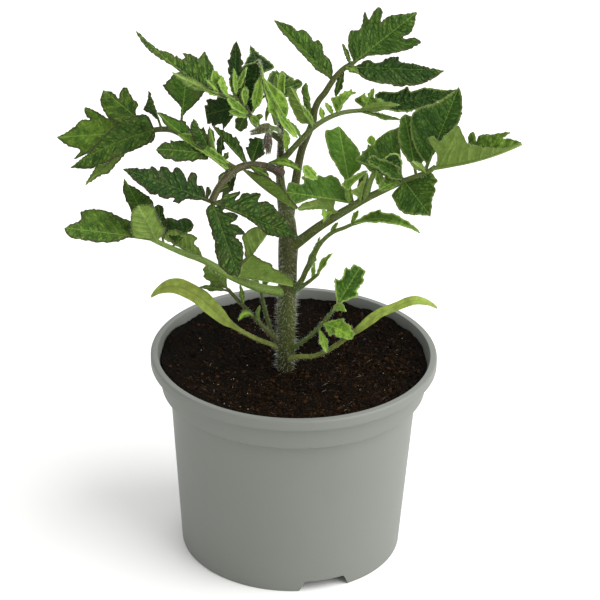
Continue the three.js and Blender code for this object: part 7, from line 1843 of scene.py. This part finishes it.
class PLANT_OT_pot(bpy.types.Operator):
    """Makes the round garden pot with its rim, collar, drainage notches and floor holes"""

    bl_idname = "plant.pot"
    bl_label = "Pot"

    def execute(self, context):
        """Turns the rounded profile, then cuts the notches and holes."""
        settings = context.scene.plant
        wall = settings.pot_wall / MM
        rim_foot = POT_HEIGHT - RIM_DEPTH
        floor = FLOOR_UNDERSIDE + wall
        profile = rounded_profile([
            (0, FLOOR_UNDERSIDE),
            (body_radius(FLOOR_UNDERSIDE) - wall, FLOOR_UNDERSIDE, 0.5),
            (FOOT_RADIUS - wall, 0, 0.3),
            (FOOT_RADIUS, 0, 0.5),
            (BODY_TOP_RADIUS, BODY_TOP, 0.5),
            (COLLAR_FOOT_RADIUS, COLLAR_FOOT, 0.4),
            (COLLAR_TOP_RADIUS, rim_foot, 0.25),
            (RIM_RADIUS, rim_foot, 0.8),
            (RIM_RADIUS, POT_HEIGHT, 1.0),
            (RIM_RADIUS - RIM_LIP, POT_HEIGHT, 0.35),
            (COLLAR_TOP_RADIUS - wall, rim_foot - 2.0, 1.0),
            (COLLAR_FOOT_RADIUS - wall, COLLAR_FOOT + 0.8, 1.0),
            (BODY_TOP_RADIUS - wall, BODY_TOP + 0.8, 1.0),
            (body_radius(floor) - wall, floor, 1.5),
            (0, floor),
        ])
        mesh = turned_mesh("garden_pot", profile, POT_SEGMENTS)
        piece = bpy.data.objects.new("garden_pot", mesh)
        bpy.context.scene.collection.objects.link(piece)
        top, foot = NOTCH_TOP_WIDTH / 2, NOTCH_FOOT_WIDTH / 2
        notch = rounded_profile([(-foot, -1), (foot, -1), (top, NOTCH_HEIGHT, 1.0), (-top, NOTCH_HEIGHT, 1.0)])
        cuts = []
        for degrees in NOTCH_ANGLES:
            far = NOTCH_INNER_RADIUS + NOTCH_REACH
            cuts.append(cutter("notch", notch, NOTCH_INNER_RADIUS, far, math.radians(degrees)))
        for k in range(DRAIN_COUNT):
            turn = 2 * math.pi * (k + 0.5) / DRAIN_COUNT
            cuts.append(self.drain(turn))
        carve(piece, cuts)
        piece.data.shade_smooth()
        piece.data.set_sharp_from_angle(angle=math.radians(35))
        grey = tuple(settings.pot_grey)
        piece.data.materials.append(pot_skin("matte_polypropylene", grey, linear("6f726b")))
        # Painted shade: the inside of the pot, from just below the lip down, is marked to be darkened.
        places = (np.array([point.co for point in piece.data.vertices]) - POT_AXIS) / MM
        radii = np.hypot(places[:, 0], places[:, 1])
        within = radii < inner_radius(places[:, 2], wall) + 0.3
        painted_inner_shade = within * np.clip((POT_HEIGHT - 0.5 - places[:, 2]) / 2.5, 0, 1)
        piece.data.attributes.new("painted_inner_shade", "FLOAT", "POINT").data.foreach_set("value", painted_inner_shade.astype(np.float32))
        settle(piece, ["pot"])
        return {"FINISHED"}

    def drain(self, turn):
        """A round cutter for one hole in the floor."""
        mesh = bpy.data.meshes.new("drain")
        centre = DRAIN_CIRCLE * np.array([math.cos(turn), math.sin(turn)])
        ring = np.linspace(0, 2 * math.pi, 32, endpoint=False)
        points = []
        for z in (FLOOR_UNDERSIDE - 2, FLOOR_UNDERSIDE + 4):
            for t in ring:
                points.append([centre[0] + DRAIN_RADIUS * math.cos(t), centre[1] + DRAIN_RADIUS * math.sin(t), z])
        faces = [list(range(32))[::-1], list(range(32, 64))]
        faces += [[k, (k + 1) % 32, 32 + (k + 1) % 32, 32 + k] for k in range(32)]
        mesh.from_pydata((np.array(points) * MM + POT_AXIS).tolist(), [], faces)
        cut = bpy.data.objects.new("drain", mesh)
        bpy.context.scene.collection.objects.link(cut)
        return cut


class PLANT_OT_soil(bpy.types.Operator):
    """Makes the compost: its crumbly body, the loose crumbs on it and the fibres between them"""

    bl_idname = "plant.soil"
    bl_label = "Soil"

    def execute(self, context):
        """Fills the pot with a crumbly body, then scatters crumbs and fibres over it."""
        settings = context.scene.plant
        chance = np.random.default_rng(31)
        skin = soil_skin("moist_peat_compost", tuple(settings.soil_dark), linear("120c07"))
        wall = settings.pot_wall / MM + SOIL_GAP
        edge = inner_radius(SOIL_HEIGHT + SOIL_DISH, wall) + 0.2
        self.body(edge, wall, skin)
        self.crumbs(edge, settings.soil_crumbs, skin, chance)
        self.fibres(edge, settings.soil_fibres, skin, chance)
        return {"FINISHED"}

    def body(self, edge, wall, skin):
        """The soil's body with a crumbly top."""
        segments, rings = 300, 75
        turn = np.linspace(0, 2 * math.pi, segments, endpoint=False)
        floor = FLOOR_UNDERSIDE + wall
        radii = list(edge * np.linspace(1, 0, rings, endpoint=False) ** 0.8)
        points = [[0, 0, floor]]
        sides = [
            (body_radius(floor) - wall, floor), (BODY_TOP_RADIUS - wall, BODY_TOP + 0.8),
            (COLLAR_FOOT_RADIUS - wall, COLLAR_FOOT + 0.8 + SOIL_GAP),
        ]
        for radius, height in sides:
            points += [[radius * math.cos(t), radius * math.sin(t), height] for t in turn]
        for radius in radii:
            for t in turn:
                x, y = radius * math.cos(t), radius * math.sin(t)
                points.append([x, y, SOIL_HEIGHT + soil_rise(x, y) + crumbs_rise(x, y)])
        points.append([0, 0, SOIL_HEIGHT + soil_rise(0, 0)])
        count = len(sides) + len(radii)
        k = np.arange(segments)
        after = (k + 1) % segments
        low = 1 + (np.arange(count - 1) * segments)[:, None]
        a, b, c, d = low + k, low + after, low + segments + after, low + segments + k
        faces = [np.stack([a, b, c], -1).reshape(-1, 3), np.stack([a, c, d], -1).reshape(-1, 3)]
        last = 1 + (count - 1) * segments
        faces.append(np.stack([np.zeros(segments, int), 1 + after, 1 + k], -1))
        faces.append(np.stack([last + k, last + after, np.full(segments, len(points) - 1)], -1))
        growth = Growth(["tone", "pale"])
        growth.add(np.array(points), np.vstack(faces), 0)
        growth.piece("compost", [skin], "soil", ["soil"], crease=180)

    def spots(self, edge, count, chance):
        """Places scattered over the soil, more of them to the right and the front."""
        turn = chance.uniform(0, 2 * math.pi, 3 * count)
        radius = (edge - 1.2) * np.sqrt(chance.random(3 * count))
        x, y = radius * np.cos(turn), radius * np.sin(turn)
        wanted = chance.random(3 * count) < 0.45 + 0.25 * x / edge - 0.25 * y / edge
        return np.stack([x, y], -1)[wanted][:count]

    def crumbs(self, edge, wanted, skin, chance):
        """Loose crumbs half sunk in the soil, some of them pale grit."""
        spots = self.spots(edge, wanted, chance)
        ball_points, ball_faces = icosahedron()
        sizes = 0.16 + 0.6 * chance.random(len(spots)) ** 5 + 0.12 * chance.random(len(spots))
        growth = Growth(["tone", "pale"])
        each = ball_points[None] * chance.uniform(0.75, 1.25, (len(spots), 12, 1))
        each = each * chance.uniform(0.6, 1.2, (len(spots), 1, 3)) * sizes[:, None, None]
        x, y = spots.T
        z = SOIL_HEIGHT + soil_rise(x, y) + [crumbs_rise(*p) for p in spots] + 0.25 * sizes
        each += np.stack([x, y, z], -1)[:, None]
        faces = ball_faces[None] + 12 * np.arange(len(spots))[:, None, None]
        pale = (chance.random(len(spots)) < 0.02) & (sizes < 0.3)
        tone = chance.random(len(spots)) ** 3
        tone, pale = np.repeat(tone, 12), np.repeat(pale.astype(float), 12)
        growth.add(each.reshape(-1, 3), faces.reshape(-1, 3), 0, tone=tone, pale=pale)
        growth.piece("compost_crumbs", [skin], "soil", crease=30)

    def fibres(self, edge, wanted, skin, chance):
        """Fine peat fibres that lie on the soil and curl."""
        growth = Growth(["tone", "pale"])
        for x, y in self.spots(edge - 4, wanted, chance):
            length = 0.7 + 2.6 * chance.random() ** 2
            heading, bend = chance.uniform(0, 2 * math.pi), chance.normal(0, 0.25)
            steps = max(3, int(length / 0.8))
            line = []
            for k in range(steps + 1):
                z = SOIL_HEIGHT + soil_rise(x, y) + crumbs_rise(x, y)
                line.append([x, y, z + 0.1 + 0.25 * math.sin(math.pi * k / steps)])
                x += length / steps * math.cos(heading)
                y += length / steps * math.sin(heading)
                heading += bend
            if max(math.hypot(p[0], p[1]) for p in line) < edge - 0.8:
                radius = chance.uniform(0.05, 0.1)
                growth.add_tube(line, radius, 3, 0, tone=chance.uniform(0.3, 1.0), pale=0.5 * (chance.random() < 0.02))
        growth.piece("compost_fibres", [skin], "soil", crease=80)


def icosahedron():
    """The points and triangles of a regular icosahedron of radius 1."""
    gold = (1 + math.sqrt(5)) / 2
    points = np.array([(s, t * gold, 0) for s in (-1, 1) for t in (-1, 1)], float)
    points = unit(np.vstack([points, points[:, [2, 0, 1]], points[:, [1, 2, 0]]]))
    gaps = np.linalg.norm(points[:, None] - points[None], axis=-1)
    near = (gaps > 0.1) & (gaps < 1.2)
    faces = []
    for a in range(12):
        for b in range(a + 1, 12):
            for c in range(b + 1, 12):
                if near[a, b] and near[b, c] and near[a, c]:
                    turn = np.cross(points[b] - points[a], points[c] - points[a]).dot(points[a])
                    faces.append([a, b, c] if turn > 0 else [a, c, b])
    return points, np.array(faces)


class PLANT_OT_main_stem(bpy.types.Operator):
    """Makes the hairy main stem from its root to the shoot's tip"""

    bl_idname = "plant.main_stem"
    bl_label = "Main stem"

    def execute(self, context):
        """Lofts the ribbed stem, thicker where leaves join it, and sets its hairs."""
        settings = context.scene.plant
        chance = np.random.default_rng(7)
        marks = seen(MAIN_STEM)
        line = smooth_line(marks, 0.5)
        along = distances_along(line)
        at = distances_along(marks) * along[-1] / distances_along(marks)[-1]
        radii = np.interp(along, at, MAIN_RADII)
        turn = np.linspace(0, 2 * math.pi, 32, endpoint=False)
        ribs = np.ones((len(line), 32))
        for i, p in enumerate(line):
            for k, t in enumerate(turn):
                ribs[i, k] += 0.035 * math.cos(5 * t + 0.02 * i)
                ribs[i, k] += 0.05 * noise.noise(Vector((math.cos(t) * 1.3, math.sin(t) * 1.3, p[2] * 0.16)))
        growth = Growth(LEAF_VALUES)
        blush = 0.3 + 0.35 * np.clip(np.array([noise.noise(Vector(p) * 0.08) for p in line]), 0, 1)
        # The stem is darker over its lowest 9 mm above the soil.
        foot_darkening = 0.8 * np.clip(1 - (line[:, 2] - SOIL_HEIGHT) / 9, 0, 1)
        growth.add_tube(line, radii[:, None] * ribs, 32, STALK, tone=foot_darkening, blush=blush)
        above = np.argmax(line[:, 2] > SOIL_HEIGHT)
        roots, ways = hair_roots(line[above:], radii[above:], settings.stem_hairs, chance)
        lengths = chance.uniform(0.5, 2.9, len(roots)) * (0.6 + 0.4 * chance.random(len(roots)))
        growth.add_hairs(roots, ways, lengths, 1.05 * settings.hair_width / MM, chance)
        growth.piece("main_stem_hairy", leaf_materials(settings), "stem", ["main_stem"])
        return {"FINISHED"}


class PLANT_OT_compound_leaves(bpy.types.Operator):
    """Makes the compound leaves, each with its stalk, leaflets and hairs"""

    bl_idname = "plant.compound_leaves"
    bl_label = "Compound leaves"

    def execute(self, context):
        """Makes one piece for each leaf of the description."""
        settings = context.scene.plant
        for order, node in enumerate(dict.fromkeys(leaf["node"] for leaf in LEAVES)):
            chance = np.random.default_rng(100 + order)
            growth = Growth(LEAF_VALUES)
            look = look_of(settings, LEAF_LOOK.get(node, PLAIN_LEAF))
            for number, leaf in enumerate(LEAVES):
                if leaf["node"] == node:
                    add_compound_leaf(growth, leaf, number, look, chance)
            growth.piece(node + "_grown", leaf_materials(settings), "leaf", [node])
        return {"FINISHED"}


class PLANT_OT_seed_leaves(bpy.types.Operator):
    """Makes the two narrow seed leaves at the foot of the stem"""

    bl_idname = "plant.seed_leaves"
    bl_label = "Seed leaves"

    def execute(self, context):
        """Lofts each folded blade with its stalk and sets its hairs."""
        settings = context.scene.plant
        skins = leaf_materials(settings)
        colours = [linear(c) for c in ("3a401c", "848c40", "a6c452", "76843a", "566030")]
        upper = leaf_skin("seed_leaf_upper", colours, (0.5, 0.5), 0.5, 0.05)
        colours = [linear(c) for c in ("75745a", "8f9c58", "8f9c58", "6a655c", "a9b46a")]
        under = leaf_skin("seed_leaf_under", colours, (0, 0), 0.55, 0.05)
        for order, leaf in enumerate(SEED_LEAVES):
            chance = np.random.default_rng(300 + order)
            growth = Growth(LEAF_VALUES)
            add_seed_leaf(growth, leaf, look_of(settings), chance)
            growth.piece(leaf["node"] + "_grown", [upper, under] + skins[2:], "seed_leaf", [leaf["node"]])
        return {"FINISHED"}


class PLANT_OT_flower_buds(bpy.types.Operator):
    """Makes the two hairy flower buds on their short stalks"""

    bl_idname = "plant.flower_buds"
    bl_label = "Flower buds"

    def execute(self, context):
        """Makes the stalks and the closed sepals."""
        settings = context.scene.plant
        chance = np.random.default_rng(500)
        look = look_of(settings)
        growth = Growth(LEAF_VALUES)
        for marks in BUD_STALKS:
            line = smooth_line(seen(marks), 0.4)
            growth.add_tube(line, BUD_STALK_RADIUS, 14, STALK, youth=0.6, blush=0.2)
            roots, ways = hair_roots(line, BUD_STALK_RADIUS, 70, chance)
            growth.add_hairs(roots, ways, chance.uniform(0.4, 1.1, len(roots)), look.hair_width, chance)
        for bud in BUDS:
            add_bud(growth, bud, look, chance)
        growth.piece("flower_buds_closed", leaf_materials(settings), "bud", ["flower_buds"])
        return {"FINISHED"}


class PLANT_OT_young_shoots(bpy.types.Operator):
    """Makes the young leaflets round the shoot's tip and on the upper left stalk"""

    bl_idname = "plant.young_shoots"
    bl_label = "Young shoots"

    def execute(self, context):
        """Makes the thin stalks and the leaflets that hang from them."""
        chance = np.random.default_rng(700)
        look = look_of(context.scene.plant, (0.1, 0.7, 0.6))
        growth = Growth(LEAF_VALUES)
        for stalk in YOUNG_STALKS:
            line = smooth_line(seen(stalk["line"]), 0.6)
            growth.add_tube(line, np.linspace(1.2, 0.8, len(line)) * stalk["radius"], 12, STALK, youth=0.7)
            roots, ways = hair_roots(line, stalk["radius"], int(len(line) * look.stalk_hairs), chance)
            growth.add_hairs(roots, ways, chance.uniform(0.3, 0.9, len(roots)), look.hair_width, chance)
        for number, leaflet in enumerate(YOUNG_LEAFLETS):
            add_young_leaflet(growth, leaflet, number, look, chance)
        growth.piece("young_shoots", leaf_materials(context.scene.plant), "leaf")
        return {"FINISHED"}


class PLANT_OT_stage(bpy.types.Operator):
    """Makes the pale floor, the soft studio light and the camera"""

    bl_idname = "plant.stage"
    bl_label = "Stage"

    def execute(self, context):
        """Sets the floor, world, lights and camera."""
        scene = context.scene
        mesh = bpy.data.meshes.new("floor")
        mesh.from_pydata([(-6, -6, 0), (6, -6, 0), (6, 6, 0), (-6, 6, 0)], [], [(0, 1, 2, 3)])
        floor = bpy.data.objects.new("floor", mesh)
        scene.collection.objects.link(floor)
        material, _, shader, _ = blank("pale_floor")
        shader.inputs["Base Color"].default_value = linear("efefed")
        shader.inputs["Roughness"].default_value = 0.85
        mesh.materials.append(material)
        world = bpy.data.worlds.new("studio")
        world.use_nodes = True
        world.node_tree.nodes["Background"].inputs["Color"].default_value = linear("ffffff")
        world.node_tree.nodes["Background"].inputs["Strength"].default_value = 0.74
        scene.world = world
        middle = Vector((POT_AXIS[0], POT_AXIS[1], 0.09))
        for name, place, size, power in (
            ("key", (1.15, -0.4, 0.95), 1.9, 46), ("fill", (-1.0, -0.8, 0.7), 1.4, 3), ("back", (0.1, 1.2, 1.2), 1.2, 6),
        ):
            light = bpy.data.lights.new(name, "AREA")
            light.size, light.energy = size, power
            lamp = bpy.data.objects.new(name, light)
            lamp.location = middle + Vector(place)
            lamp.rotation_euler = (middle - lamp.location).to_track_quat("-Z", "Y").to_euler()
            scene.collection.objects.link(lamp)
        scene.view_settings.view_transform = "Standard"
        scene.camera = self.camera()
        scene.collection.objects.link(scene.camera)
        return {"FINISHED"}

    def camera(self):
        """The camera at the viewing angle of the description."""
        data = bpy.data.cameras.new("view")
        data.lens, data.sensor_width, data.clip_start = LENS, 36.0, 0.01
        camera = bpy.data.objects.new("view", data)
        eye, target = Vector(EYE), Vector(EYE_TARGET)
        forward = (target - eye).normalized()
        right = Vector((1, 0, 0))
        up = right.cross(forward)
        rolled_right = right * math.cos(EYE_ROLL) + up * math.sin(EYE_ROLL)
        rolled_up = up * math.cos(EYE_ROLL) - right * math.sin(EYE_ROLL)
        turned = Matrix((rolled_right, rolled_up, -forward)).transposed().to_4x4()
        camera.matrix_world = Matrix.Translation(eye * MM + Vector(POT_AXIS)) @ turned
        return camera


class PLANT_PT_panel(bpy.types.Panel):
    """Lists the pieces of the potted plant"""

    bl_label = "Potted tomato plant"
    bl_space_type = "VIEW_3D"
    bl_region_type = "UI"
    bl_category = "Plant"

    def draw(self, context):
        """Shows the settings and a button for each piece."""
        for name in PlantSettings.__annotations__:
            self.layout.prop(context.scene.plant, name)
        for operator in OPERATORS:
            self.layout.operator(operator.bl_idname)


OPERATORS = (
    PLANT_OT_stage,
    PLANT_OT_pot,
    PLANT_OT_soil,
    PLANT_OT_main_stem,
    PLANT_OT_compound_leaves,
    PLANT_OT_seed_leaves,
    PLANT_OT_flower_buds,
    PLANT_OT_young_shoots,
)


def register():
    """Registers the settings, operators and panel."""
    for kind in (PlantSettings, *OPERATORS, PLANT_PT_panel):
        bpy.utils.register_class(kind)
    bpy.types.Scene.plant = PointerProperty(type=PlantSettings)


def unregister():
    """Takes the settings, operators and panel back."""
    del bpy.types.Scene.plant
    for kind in reversed((PlantSettings, *OPERATORS, PLANT_PT_panel)):
        bpy.utils.unregister_class(kind)


def main():
    """Makes every piece in order."""
    register()
    for operator in OPERATORS:
        group, name = operator.bl_idname.split(".")
        getattr(getattr(bpy.ops, group), name)()


if __name__ == "__main__":
    main()
